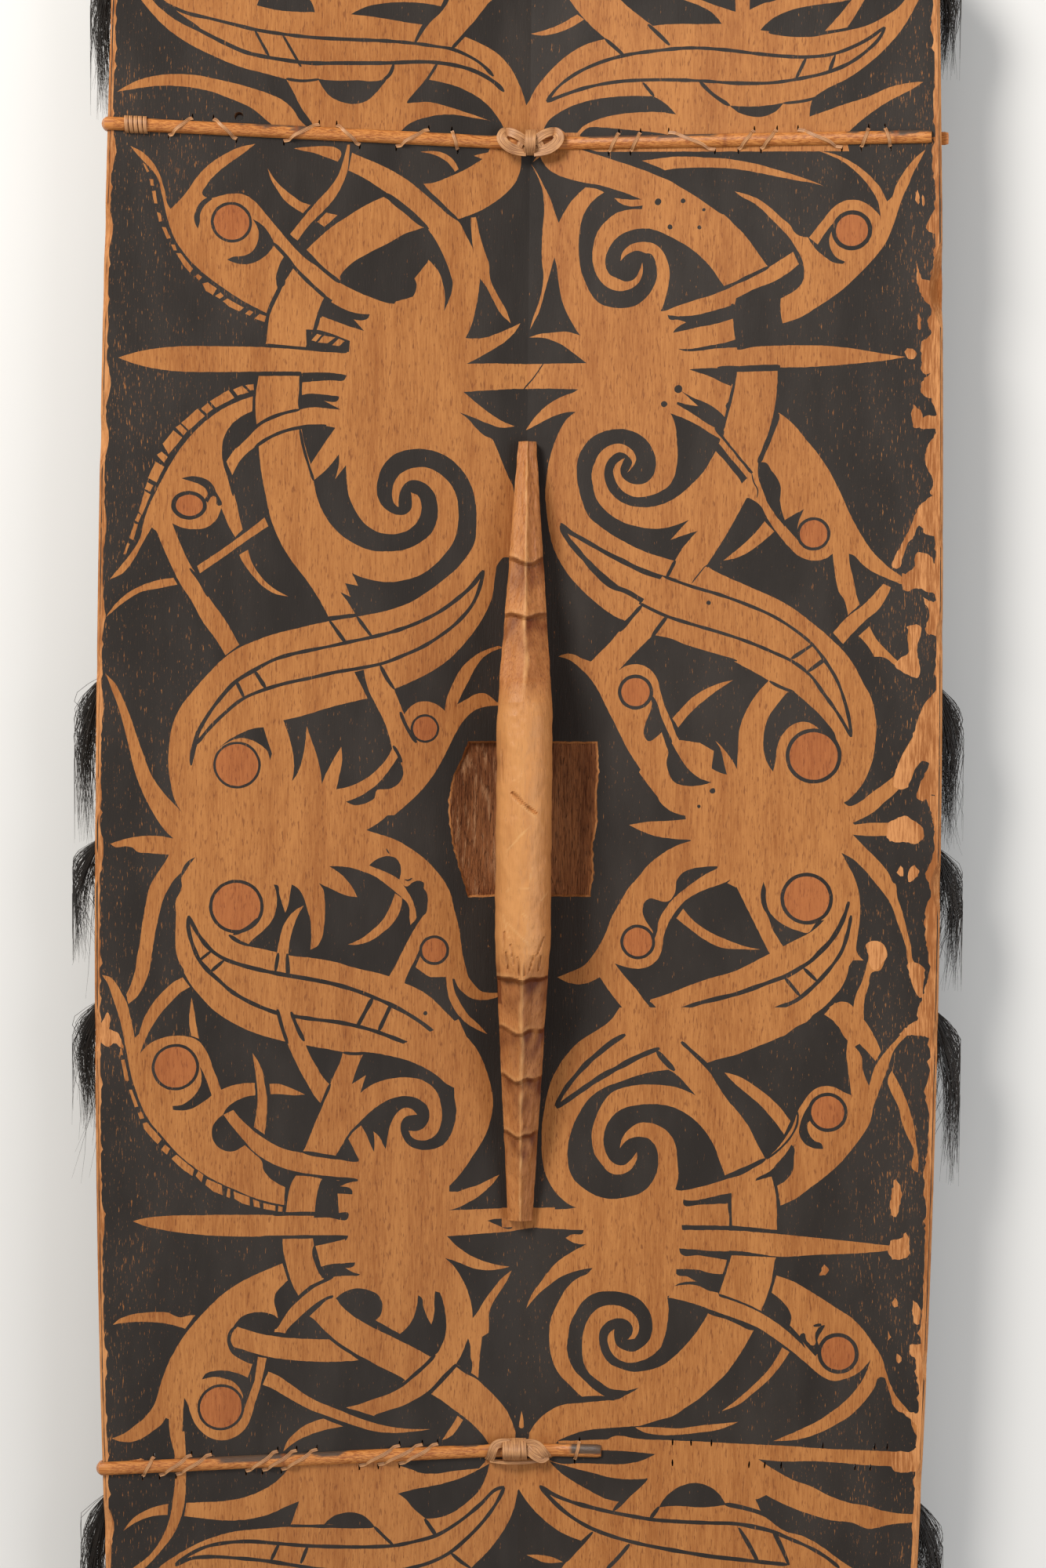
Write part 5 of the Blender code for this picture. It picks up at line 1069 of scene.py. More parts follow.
upperRight = [
    ("wood", "t2", [(10, 545, 1), (15, 400), (38, 370), (62, 325), (112, 262), (172, 205), (240, 163),
        (318, 140, 1), (235, 62), (188, 0), (130, -90, 1), (300, -180), (700, -190), (1100, -180),
        (1500, -150, 1), (1478, -70), (1445, 0), (1420, 48), (1385, 105), (1330, 170), (1260, 233),
        (1185, 285), (1105, 325), (1068, 352), (1052, 420, 1), (1110, 400), (1180, 375), (1260, 350),
        (1340, 315), (1400, 300), (1462, 295, 1), (1420, 322), (1375, 345), (1325, 372), (1270, 410),
        (1225, 445), (1180, 490, 1), (1195, 545, 1)]),
    ("ink", "t2", [(330, -55, 1), (372, 0), (430, 50), (487, 93, 1), (560, 87), (650, 87), (737, 86, 1),
        (700, 45), (650, 18), (600, 0), (520, -35), (420, -60)]),
    ("ink", "t2", [(650, -5, 1), (715, 20), (786, 43, 1), (784, -40, 1), (700, -50)]),
    ("ink", "t2", [(838, -45, 1), (836, 36, 1), (880, 15), (935, 0), (990, -30, 1), (920, -55)]),
    ("ink", "t2", [(875, 108, 1), (912, 72), (975, 40), (1060, 20), (1150, 8), (1205, -2, 1), (1165, 48),
        (1108, 112, 1), (1050, 124), (980, 122), (920, 116)]),
    ("ink", "t2", [(1258, -15, 1), (1225, 42), (1188, 100, 1), (1262, 82), (1322, 50), (1372, 14),
        (1405, -30, 1), (1330, -45)]),
    ("line", "t2", [(905, 117), (980, 126), (1050, 128), (1110, 118), (1190, 104), (1262, 84), (1325, 52),
        (1378, 12), (1412, -30)], 3),
    ("line", "t2", [(105, 366), (140, 320), (200, 272), (285, 230), (385, 200), (500, 183), (620, 173),
        (750, 180), (850, 192), (950, 202), (1050, 205), (1135, 195), (1210, 168), (1270, 136),
        (1322, 97)], 3.2),
    ("line", "t2", [(105, 367), (160, 345), (240, 318), (350, 296), (480, 288), (650, 291), (800, 300),
        (920, 298), (1030, 281), (1112, 262), (1200, 225), (1262, 180), (1302, 140), (1325, 98)], 3.2),
    ("line", "t2", [(1040, 208), (1002, 286)], 3),
    ("line", "t2", [(1145, 198), (1122, 260)], 3),
    ("line", "t2", [(315, 140), (350, 170), (385, 202)], 3.2),
    ("line", "t2", [(470, 88), (510, 125), (548, 163)], 3.2),
    ("line", "t2", [(452, 298), (492, 347)], 3.2),
    ("ink", "t2", [(90, 478, 1), (108, 440), (160, 400), (230, 370), (320, 352), (400, 346), (490, 347, 1),
        (535, 375), (572, 413, 1), (520, 405), (440, 405), (360, 413), (290, 430), (238, 455),
        (215, 478, 1)]),
    ("ink", "t2", [(225, 485, 1), (250, 463), (320, 461), (420, 470), (500, 478), (555, 488, 1),
        (555, 510, 1), (225, 510, 1)]),
    ("line", "t2", [(655, 292), (700, 337), (765, 381)], 3.4),
    ("ink", "t2", [(765, 380, 1), (850, 384), (960, 370, 1), (932, 400), (880, 421), (830, 417),
        (790, 402)]),
    ("line", "t2", [(958, 372), (1040, 362), (1105, 343)], 2.8),
    ("wood", "t2", [(48, 122, 1), (110, 105), (168, 80), (215, 52, 1), (240, 70, 1), (190, 100), (130, 122),
        (90, 128)]),
    ("wood", "c0", [(190, 62, 1), (300, -60, 1), (420, 40, 1), (560, 85), (720, 140), (830, 183),
        (900, 213), (980, 268), (1060, 325), (1130, 372), (1190, 430), (1240, 480), (1285, 540),
        (1320, 590), (1358, 642, 1), (1250, 695), (1160, 745), (1200, 728, 1), (1300, 680), (1400, 620),
        (1485, 565, 1), (1515, 628, 1), (1450, 680), (1390, 715), (1300, 750), (1195, 802, 1), (1180, 900),
        (1200, 1050, 1), (1300, 1048), (1400, 1044), (1500, 1042), (1660, 1045), (1800, 1060), (1950, 1085),
        (2062, 1101, 1), (1950, 1120), (1800, 1135), (1650, 1148), (1450, 1155), (1300, 1155),
        (1100, 1162, 1), (1170, 1230, 1), (1180, 1250), (1140, 1350, 1), (1160, 1400), (1250, 1500),
        (1330, 1600), (1390, 1650, 1), (1345, 1800), (1250, 1820, 1), (1200, 1910), (1150, 2000),
        (1100, 2080), (1045, 2165, 1), (1100, 2205), (1200, 2250, 1), (1200, 2420, 1), (850, 2310, 1),
        (715, 2370, 1), (628, 2447, 1), (560, 2415), (500, 2370), (440, 2320), (380, 2260), (330, 2200),
        (288, 2130), (258, 2058), (242, 1990), (232, 1920), (225, 1855), (222, 1800), (228, 1720),
        (240, 1640), (258, 1570), (280, 1510), (310, 1450), (345, 1405), (378, 1382, 1), (340, 1382),
        (280, 1398), (220, 1425), (165, 1455), (122, 1475, 1), (160, 1420), (205, 1370), (260, 1328),
        (320, 1298), (388, 1266, 1), (0, 1268, 1), (0, 1132, 1), (432, 1132, 1), (380, 1095), (330, 1055),
        (270, 1022), (220, 1006), (140, 1002, 1), (190, 985), (250, 978), (330, 973), (400, 992, 1),
        (365, 940), (335, 885), (305, 805), (290, 725), (280, 640), (268, 592, 1), (255, 640), (235, 710),
        (213, 790), (190, 870), (165, 920), (143, 962, 1), (160, 900), (190, 820), (208, 740), (213, 690),
        (205, 620), (204, 540), (208, 450), (215, 370), (214, 300), (202, 230), (178, 170), (150, 118, 1)]),
    ("ink", "c0", [(712, 298, 1), (640, 298), (575, 290, 1), (610, 320), (650, 332), (718, 328, 1),
        (715, 347, 1), (650, 350), (580, 370), (530, 410), (490, 460), (470, 520), (462, 580), (468, 640),
        (490, 695), (530, 740), (580, 762), (630, 762), (680, 740), (710, 700), (720, 660), (716, 620, 1),
        (700, 665), (680, 700), (640, 717), (590, 700), (550, 680), (530, 640), (530, 590), (548, 545),
        (575, 505), (620, 470), (680, 450), (740, 446), (800, 460), (860, 488), (920, 520), (980, 560),
        (1030, 605), (1075, 655), (1105, 700), (1140, 748, 1), (1080, 770), (1000, 795), (920, 820),
        (850, 842), (812, 865, 1), (835, 800), (850, 730), (855, 660), (840, 600), (815, 555), (780, 525),
        (730, 515), (680, 520), (640, 540), (615, 570), (605, 612, 1), (630, 585), (665, 565), (700, 560),
        (735, 572), (760, 575), (778, 600), (790, 650), (790, 700), (770, 750), (735, 800), (680, 840),
        (620, 852), (560, 848), (500, 828), (455, 780), (425, 720), (405, 660), (393, 580), (393, 500),
        (403, 420), (430, 350), (470, 300), (522, 262, 1), (470, 240), (425, 237, 1), (365, 295),
        (320, 360), (290, 418, 1), (268, 355), (250, 300), (220, 240), (190, 180), (150, 115, 1),
        (195, 80, 1), (240, 145), (290, 175), (350, 195), (420, 212), (500, 225), (570, 245), (640, 268)]),
    ("line", "c0", [(812, 865), (920, 822), (1040, 785), (1140, 748), (1250, 697), (1362, 642)], 3.6),
    ("line", "c0", [(400, 36), (560, 85), (720, 140), (830, 183), (980, 268), (1130, 372)], 2.6),
    ("ink", "c0", [(845, 887, 1), (900, 893), (1000, 885), (1080, 865), (1150, 845), (1187, 832, 1),
        (1197, 900, 1), (1100, 930), (1000, 950), (920, 968), (872, 977, 1), (885, 960), (940, 925, 1),
        (900, 912), (850, 905)]),
    ("ink", "c0", [(898, 1060, 1), (960, 1060), (1050, 1045), (1150, 1025), (1192, 1013, 1),
        (1205, 1052, 1), (1080, 1060), (1000, 1070), (940, 1072)]),
    ("line", "c0", [(1175, 830), (1190, 900), (1205, 1055)], 4),
    ("line", "c0", [(1190, 840), (1300, 795), (1390, 755)], 3.6),
    ("line", "c0", [(1200, 1060), (1300, 1040), (1420, 1025)], 3),
    ("ink", "c0", [(1390, 752, 1), (1515, 628, 1), (1542, 660), (1535, 715), (1510, 750), (1470, 778),
        (1420, 802), (1432, 930, 1), (1425, 1040, 1), (1412, 1020, 1), (1405, 900)]),
    ("ink", "c1", [(955, 45, 1), (1000, 40), (1100, 38), (1200, 38, 1), (1190, 80), (1170, 130, 1),
        (1120, 110), (1060, 80), (1000, 60)]),
    ("line", "c1", [(1100, 38), (1250, 36), (1420, 30)], 4),
    ("line", "d1", [(92, 60), (88, 130), (70, 200), (50, 280), (38, 320)], 4.4),
    ("wood", "d0", [(88, 257, 1), (150, 272), (210, 297), (270, 340), (330, 395), (378, 440), (385, 457),
        (440, 490, 1), (468, 492, 1), (500, 450), (540, 400), (580, 350), (620, 318), (670, 300),
        (720, 302), (770, 325), (810, 360), (830, 384, 1), (822, 320), (780, 240), (710, 160), (640, 105),
        (580, 75), (520, 52, 1), (580, 62), (650, 88), (720, 130), (780, 180), (830, 238), (865, 308, 1),
        (890, 285), (905, 240), (940, 175), (980, 118), (1020, 75), (1062, 43, 1), (1030, 105), (1000, 160),
        (975, 220), (945, 285), (925, 345), (905, 405), (885, 460), (855, 525), (815, 578), (760, 640),
        (700, 700), (640, 755), (580, 800), (500, 852), (420, 900), (332, 930, 1), (322, 870),
        (322, 802, 1), (370, 778), (410, 750), (435, 715), (442, 660), (430, 600), (400, 545), (365, 490),
        (320, 443), (280, 402), (230, 352), (180, 312), (130, 288)]),
    ("ink", "d0", [(460, 488, 1), (512, 528, 1), (545, 475), (580, 430), (615, 392, 1), (600, 430),
        (578, 470), (570, 510), (580, 555), (605, 592), (652, 615, 1), (640, 627, 1), (590, 618),
        (548, 590), (505, 555)]),
    ("eye", "d0", (686, 455), 92, 22),
    ("wood", "c0", [(715, 100, 1), (780, 92), (850, 82), (950, 79), (1050, 85), (1150, 90), (1200, 98),
        (1300, 117), (1400, 145), (1500, 175), (1580, 203), (1642, 229, 1), (1580, 213), (1500, 200),
        (1400, 180), (1300, 160), (1200, 143), (1100, 136), (1000, 135), (900, 139), (832, 148, 1),
        (770, 122)]),
    ("dot", "c0", (797, 310), 17),
    ("dot", "c0", (925, 305), 13),
    ("dot", "c0", (1030, 350), 9),
    ("dot", "c0", (858, 438), 13),
    ("dot", "c0", (1008, 440), 11),
    ("dot", "c1", (900, 145), 21),
    ("dot", "c1", (828, 222), 16),
    ("dot", "d0", (230, 840), 26),
    ("ink", "c0", [(150, 1010, 1), (215, 1008), (265, 1022), (330, 1058), (390, 1100), (432, 1133, 1),
        (300, 1135), (-20, 1135, 1), (80, 1080)]),
    ("ink", "c1", [(-20, 148, 1), (100, 144), (250, 143), (390, 146, 1), (370, 160), (320, 178), (260, 208),
        (205, 250), (160, 300), (122, 352, 1), (60, 330)]),
    ("ink", "c1", [(860, 268, 1), (885, 330), (892, 400), (897, 470), (893, 530), (880, 590), (852, 638),
        (800, 672), (740, 692), (680, 695), (630, 675), (595, 640), (575, 600), (568, 565), (580, 530),
        (600, 512), (628, 497, 1), (614, 525), (605, 552), (607, 578), (622, 603), (650, 622), (690, 632),
        (730, 625), (762, 600), (782, 560), (787, 518), (772, 460), (742, 410), (690, 370), (630, 350),
        (570, 350), (510, 365), (450, 400), (410, 450), (388, 500), (382, 560), (386, 620), (400, 685),
        (417, 740), (440, 790), (500, 845), (550, 880), (620, 922), (700, 962), (780, 992), (882, 1022, 1),
        (920, 960), (960, 910), (1000, 868, 1), (930, 890), (860, 915, 1), (910, 860), (955, 812, 1),
        (900, 835), (840, 852), (780, 858), (700, 848), (620, 825), (560, 790), (510, 745), (480, 700),
        (465, 640), (458, 580), (470, 530), (500, 472), (550, 433), (600, 424), (645, 440), (675, 470),
        (685, 505), (672, 535), (638, 572, 1), (656, 545), (665, 520), (652, 495), (628, 475), (600, 468),
        (568, 482), (540, 512), (524, 555), (525, 605), (540, 650), (575, 695), (620, 727), (680, 745),
        (740, 748), (800, 738), (860, 715), (920, 675), (980, 620), (1030, 565), (1070, 500), (1095, 455),
        (1115, 400, 1), (1060, 368), (1000, 330), (940, 300)]),
    ("ink", "c1", [(915, 155, 1), (950, 175), (990, 195), (1040, 215), (1090, 245), (1130, 280),
        (1160, 320, 1), (1135, 345), (1130, 370, 1), (1090, 345), (1030, 310), (980, 275), (930, 245),
        (892, 222, 1), (895, 210, 1), (950, 225), (1002, 232, 1), (960, 195)]),
    ("line", "d1", [(-10, 340), (30, 380), (70, 430), (110, 480), (150, 530), (188, 575)], 6),
    ("line", "d1", [(-20, 420), (40, 490), (90, 550), (130, 600), (155, 645)], 6),
    ("line", "d1", [(38, 318), (15, 360)], 4),
    ("wood", "d1", [(100, 58, 1), (307, 53, 1), (303, 150), (290, 250), (265, 350), (237, 435),
        (207, 520, 1), (215, 610), (232, 660), (250, 715), (290, 780), (330, 830), (380, 890), (440, 935),
        (520, 980), (520, 1010, 1), (430, 1003), (370, 955), (300, 872), (255, 805), (215, 735),
        (160, 700, 1), (120, 640), (150, 600), (182, 570, 1), (140, 520), (90, 460), (30, 385, 1),
        (50, 290), (75, 200)]),
    ("wood", "d1", [(312, 266, 1), (360, 300), (410, 350), (450, 400), (500, 460), (540, 515), (580, 580),
        (610, 640), (640, 700), (665, 760), (700, 830), (740, 900), (780, 960), (830, 1015), (880, 1060),
        (930, 1095), (945, 1110), (950, 1135), (900, 1125), (840, 1100), (780, 1070), (730, 1030),
        (690, 990), (670, 985, 1), (675, 1040), (690, 1100), (712, 1205), (725, 1245, 1), (665, 1298, 1),
        (640, 1210), (625, 1190), (605, 1120), (595, 1050), (588, 985, 1), (550, 1010), (490, 1020),
        (430, 1005), (370, 955), (345, 820, 1), (318, 700), (322, 640), (290, 580), (215, 518, 1),
        (240, 460), (270, 390), (295, 320)]),
    ("ink", "d1", [(208, 520, 1), (245, 520), (275, 560), (305, 600), (322, 645), (318, 710), (306, 755),
        (338, 818, 1), (390, 785), (443, 757, 1), (422, 800), (408, 850), (412, 900), (430, 930),
        (400, 905), (360, 860), (310, 800), (265, 735), (230, 660), (208, 590)]),
    ("line", "d1", [(310, 270), (290, 330), (262, 400), (235, 465), (210, 522)], 5),
    ("eye", "d1", (490, 884), 78, 16),
    ("ink", "d1", [(150, 700, 1), (215, 735, 1), (235, 775), (285, 875, 1), (210, 940), (150, 980),
        (90, 1005), (-50, 1045, 1), (0, 960), (50, 890), (100, 790)]),
    ("wood", "d1", [(240, 820, 1), (290, 872, 1), (210, 940), (150, 982), (90, 1008), (30, 1020, 1),
        (80, 980), (140, 930), (200, 870)]),
    ("line", "c1", [(1050, 1045), (1010, 1095), (968, 1152)], 4),
    ("line", "c1", [(885, 1020), (840, 1108)], 3.6),
    ("wood", "d1", [(900, 1055, 1), (925, 980), (965, 900), (1000, 820), (1050, 740), (1100, 690, 1),
        (1110, 740), (1060, 790), (1020, 850), (985, 900), (950, 990), (925, 1058, 1)]),
    ("line", "c1", [(300, 830), (340, 870), (400, 905), (470, 945), (540, 985), (620, 1025), (700, 1065),
        (780, 1095), (850, 1115), (920, 1132), (1000, 1160), (1100, 1200), (1200, 1228), (1280, 1260),
        (1370, 1302), (1460, 1362), (1540, 1410), (1600, 1450), (1660, 1505), (1710, 1570), (1745, 1650),
        (1765, 1740), (1780, 1820), (1788, 1900), (1786, 1965)], 4.2),
    ("line", "c1", [(300, 840), (330, 900), (390, 975), (450, 1045), (510, 1105), (580, 1155), (640, 1180),
        (740, 1240), (850, 1300), (1000, 1345), (1100, 1375), (1200, 1405), (1300, 1440), (1370, 1475),
        (1440, 1508), (1500, 1545), (1560, 1595), (1620, 1660), (1680, 1730), (1730, 1810), (1765, 1880),
        (1786, 1965)], 4.8),
    ("ink", "c1", [(385, 960, 1), (430, 1000), (490, 1060), (560, 1120), (640, 1185, 1), (560, 1165),
        (480, 1100), (420, 1030)]),
]

middleRight = [
    ("wood", "d2", [(-60, -70, 1), (50, -15), (120, 15), (200, 50), (300, 95), (380, 140), (460, 200),
        (530, 255), (590, 310), (650, 370), (700, 440), (740, 520), (780, 590), (800, 660), (810, 740),
        (805, 830), (795, 900), (770, 980), (740, 1040), (700, 1090), (645, 1140, 1), (690, 1150),
        (725, 1133), (780, 1090), (850, 1040), (910, 985), (930, 920), (960, 860), (1000, 790), (1030, 690),
        (1070, 612), (1150, 570, 1), (1150, 700), (1145, 900), (1070, 905), (1010, 960), (980, 1030),
        (930, 1062), (900, 1092), (850, 1142), (770, 1202), (695, 1240, 1), (790, 1238), (875, 1238, 1),
        (875, 1305, 1), (780, 1305), (695, 1302, 1), (760, 1370), (820, 1430), (870, 1490), (908, 1550),
        (918, 1620), (942, 1690), (962, 1770), (985, 1860), (1005, 1950), (1052, 1975, 1), (1050, 2040),
        (1032, 2132, 1), (1000, 2080), (980, 2010), (965, 1910), (945, 1820), (915, 1740), (890, 1665),
        (850, 1600), (805, 1545), (760, 1490), (700, 1430), (632, 1392, 1), (670, 1460), (700, 1520),
        (720, 1590), (728, 1670), (725, 1740), (715, 1820), (712, 1900), (745, 1940, 1), (690, 1940, 1),
        (672, 1970), (660, 2020), (630, 2080), (590, 2130), (540, 2180), (470, 2230), (400, 2280),
        (340, 2325, 1), (-100, 2440, 1), (-300, 2380, 1), (-410, 2285, 1), (-340, 2140, 1), (-250, 2110),
        (-150, 2070), (-50, 2035), (100, 1990), (190, 1945), (265, 1905, 1), (100, 1570, 1), (-90, 1480, 1),
        (-260, 1440, 1), (-330, 1400, 1), (-130, 1330, 1), (-220, 1320), (-320, 1305), (-400, 1275),
        (-450, 1249, 1), (-350, 1232), (-250, 1228), (-162, 1220, 1), (-200, 1195), (-250, 1170),
        (-310, 1100), (-400, 980, 1), (-300, 800, 1), (-90, 830, 1), (30, 900, 1), (100, 965, 1),
        (105, 850), (115, 750), (150, 660), (200, 580), (262, 512, 1), (200, 480), (130, 440), (60, 402),
        (0, 390), (-50, 370), (-150, 340), (-240, 305), (-320, 288, 1), (-260, 180, 1)]),
    ("wood", "c2", [(715, 130, 1), (850, 185, 1), (780, 270), (720, 330), (660, 390), (595, 462, 1),
        (640, 435), (700, 430), (750, 450), (790, 500), (810, 570), (830, 640), (860, 710), (890, 790),
        (930, 850), (980, 900), (1040, 950), (1100, 985), (1148, 995, 1), (1130, 960), (1100, 910),
        (1088, 860), (1090, 822, 1), (1130, 860), (1180, 930), (1300, 1000, 1), (1500, 1100, 1),
        (1300, 1400, 1), (1000, 1300, 1), (938, 1205, 1), (900, 1195), (850, 1170), (800, 1120),
        (790, 1080), (740, 1010), (690, 940), (640, 860), (600, 780), (570, 720), (530, 640), (490, 560),
        (450, 500), (400, 450), (350, 410), (288, 390, 1), (330, 375), (370, 380), (410, 400),
        (455, 415, 1), (490, 380), (540, 330), (600, 260), (660, 190)]),
    ("ink", "c2", [(770, 600, 1), (760, 660), (730, 740), (725, 790), (745, 820), (790, 800), (815, 775, 1),
        (840, 850), (850, 880), (840, 920), (850, 980), (880, 1030), (950, 1050), (1020, 1045),
        (1070, 1032, 1), (1000, 1005), (940, 950), (890, 870), (850, 800), (820, 740), (800, 670)]),
    ("line", "c2", [(762, 590), (785, 640), (805, 700), (830, 760), (865, 830)], 3.4),
    ("eye", "c2", (682, 571), 82, 18),
    ("dot", "c2", (1075, 1075), 14),
    ("dot", "c2", (1005, 1155), 9),
    ("dot", "c2", (1055, 115), 11),
    ("ink", "d2", [(-12, 818, 1), (0, 820), (40, 870), (70, 920), (100, 968, 1), (104, 850), (115, 750),
        (150, 660), (200, 580), (262, 512, 1), (130, 440), (-20, 385, 1), (-150, 500, 1), (-100, 700, 1)]),
    ("wood", "c2", [(870, 705, 1), (920, 650), (970, 600), (1040, 555), (1100, 530), (1180, 510, 1),
        (1110, 555), (1050, 600), (1000, 640), (950, 690), (900, 752, 1)]),
    ("wood", "c2", [(1148, 995, 1), (1130, 960), (1100, 910), (1088, 860), (1090, 820, 1), (1130, 860),
        (1165, 905), (1200, 965, 1), (1180, 1000)]),
    ("ink", "d2", [(-12, 820, 1), (10, 850), (30, 920), (48, 992, 1), (20, 985), (-30, 960, 1)]),
    ("line", "c2", [(715, 128), (660, 190), (600, 262)], 3.6),
    ("line", "c2", [(845, 182), (790, 255), (765, 290)], 3.6),
    ("line", "c2", [(768, 285), (860, 305), (950, 340), (1050, 370), (1200, 412)], 2.4),
    ("ink", "d2", [(357, 572, 1), (300, 640), (255, 710), (236, 790), (238, 880), (258, 940), (284, 977, 1),
        (298, 910), (305, 850), (330, 790), (380, 740), (440, 722), (490, 738), (520, 762, 1), (570, 790),
        (602, 840), (600, 790), (560, 730), (510, 675), (450, 620), (390, 568, 1)]),
    ("line", "d2", [(265, 515), (310, 540), (392, 572)], 3),
    ("eye", "d2", (490, 897), 132, 20),
    ("ink", "d2", [(645, 1133, 1), (690, 1112), (745, 1060), (790, 1000, 1), (760, 1080), (722, 1132, 1),
        (660, 1149)]),
    ("line", "d2", [(492, 325), (375, 402)], 3.4),
    ("line", "d2", [(550, 402), (460, 468)], 3.4),
    ("wood", "d2", [(590, 268, 1), (660, 190), (740, 130), (800, 70), (845, 18, 1), (885, 38, 1), (860, 90),
        (820, 150), (760, 200), (700, 260), (640, 325, 1)]),
    ("wood", "d2", [(720, 285, 1), (775, 235, 1), (810, 300), (860, 355), (910, 405), (950, 430),
        (975, 370), (970, 300), (975, 240, 1), (1028, 230, 1), (1020, 320), (1010, 420), (1000, 495, 1),
        (950, 470), (900, 430), (850, 395), (800, 390, 1), (770, 340)]),
    ("ink", "c3", [(936, 82, 1), (940, 98, 1), (850, 108), (750, 112), (650, 128, 1), (560, 100, 1),
        (780, -30, 1), (850, 52)]),
    ("ink", "c3", [(965, 205, 1), (958, 212, 1), (890, 237), (820, 278), (750, 332), (700, 392),
        (500, 300, 1), (650, 130, 1), (700, 155), (780, 185), (880, 200)]),
    ("wood", "c3", [(968, 210, 1), (890, 235), (820, 275), (750, 330), (700, 390), (640, 460), (600, 530),
        (560, 600), (530, 680), (500, 740), (460, 800), (420, 845), (360, 875), (283, 905, 1), (330, 930),
        (400, 942), (450, 930), (500, 905, 1), (530, 950), (580, 1020), (640, 1090), (692, 1165, 1),
        (805, 1108, 1), (740, 1040), (680, 960), (620, 890), (575, 835, 1), (620, 850), (680, 862),
        (740, 855), (790, 820), (815, 770), (825, 700), (845, 640), (880, 580), (930, 520), (990, 480),
        (1060, 450), (1120, 430), (1168, 408, 1), (1200, 300, 1)]),
    ("ink", "c3", [(1168, 406, 1), (1120, 432), (1060, 450), (990, 480), (930, 520), (880, 580), (845, 640),
        (825, 700), (815, 770), (790, 820), (740, 855), (680, 862), (620, 850), (575, 835, 1), (680, 960),
        (750, 1022, 1), (850, 990), (950, 950), (1050, 915), (1200, 870), (1290, 825), (1368, 785, 1),
        (1310, 700), (1260, 600), (1230, 520), (1198, 445, 1), (1180, 500), (1150, 545), (1110, 560),
        (1095, 545), (1105, 495), (1135, 450)]),
    ("wood", "c3", [(890, 605, 1), (925, 556, 1), (960, 600), (1020, 650), (1090, 690), (1150, 715),
        (1240, 748), (1320, 765, 1), (1200, 762), (1120, 755), (1040, 718), (960, 660)]),
    ("ink", "c3", [(1100, 340, 1), (1040, 342), (980, 350), (920, 375), (890, 420), (885, 470), (845, 520),
        (800, 515), (760, 503), (730, 520), (718, 560), (725, 600), (750, 640), (772, 675, 1),
        (765, 740, 1), (790, 680), (800, 620), (840, 548), (870, 510), (920, 465), (980, 420), (1040, 380),
        (1100, 350, 1)]),
    ("eye", "c3", (693, 726), 82, 16),
    ("line", "c3", [(612, 1085), (650, 1125), (692, 1168)], 3.6),
    ("line", "c3", [(745, 1030), (775, 1065), (808, 1110)], 3.6),
    ("line", "c3", [(625, 1200), (690, 1162), (800, 1115), (900, 1075), (1000, 1040), (1100, 1015),
        (1200, 990), (1300, 955), (1400, 918), (1450, 900), (1520, 860), (1580, 820), (1620, 780),
        (1665, 735), (1705, 680), (1745, 600), (1770, 520)], 4),
    ("line", "c3", [(800, 1250), (900, 1222), (1000, 1195), (1100, 1165), (1200, 1135), (1300, 1100),
        (1400, 1065), (1500, 1025), (1570, 970), (1640, 900), (1690, 840), (1730, 780), (1762, 690),
        (1782, 590)], 3.6),
    ("line", "d3", [(345, 910), (420, 1000)], 3.6),
    ("line", "d3", [(440, 860), (507, 925)], 3.4),
    ("eye", "d3", (455, 505), 124, 19),
    ("ink", "d3", [(235, 418, 1), (222, 470), (228, 540), (260, 600), (280, 660), (310, 710), (335, 748, 1),
        (400, 715), (470, 680), (545, 615, 1), (510, 622), (460, 680), (415, 670), (350, 645), (300, 610),
        (265, 570), (248, 510), (245, 450)]),
    ("ink", "d3", [(632, 270, 1), (700, 310), (760, 370), (805, 425), (850, 480), (890, 545), (915, 620),
        (945, 700), (965, 790), (900, 900, 1), (745, 820, 1), (712, 780), (715, 700), (725, 620),
        (728, 550), (720, 470), (700, 400), (670, 340)]),
    ("ink", "d3", [(690, 118, 1), (740, 95), (800, 60), (860, 5), (950, -60, 1), (1000, 60, 1),
        (875, 118, 1), (780, 118), (700, 128, 1)]),
    ("ink", "d3", [(690, 178, 1), (780, 186), (875, 187, 1), (980, 230, 1), (960, 420, 1), (908, 430),
        (870, 370), (820, 310), (760, 250)]),
    ("wood", "d3", [(755, 745, 1), (800, 720), (830, 725), (865, 780), (850, 830), (830, 870), (790, 880),
        (770, 950), (750, 1020), (747, 1135, 1), (690, 1095, 1), (705, 1000), (740, 920), (760, 850),
        (770, 800)]),
    ("wood", "d3", [(545, 1095, 1), (600, 1035, 1), (660, 1090), (740, 1150), (775, 1215, 1),
        (700, 1260, 1), (640, 1200), (620, 1160)]),
]
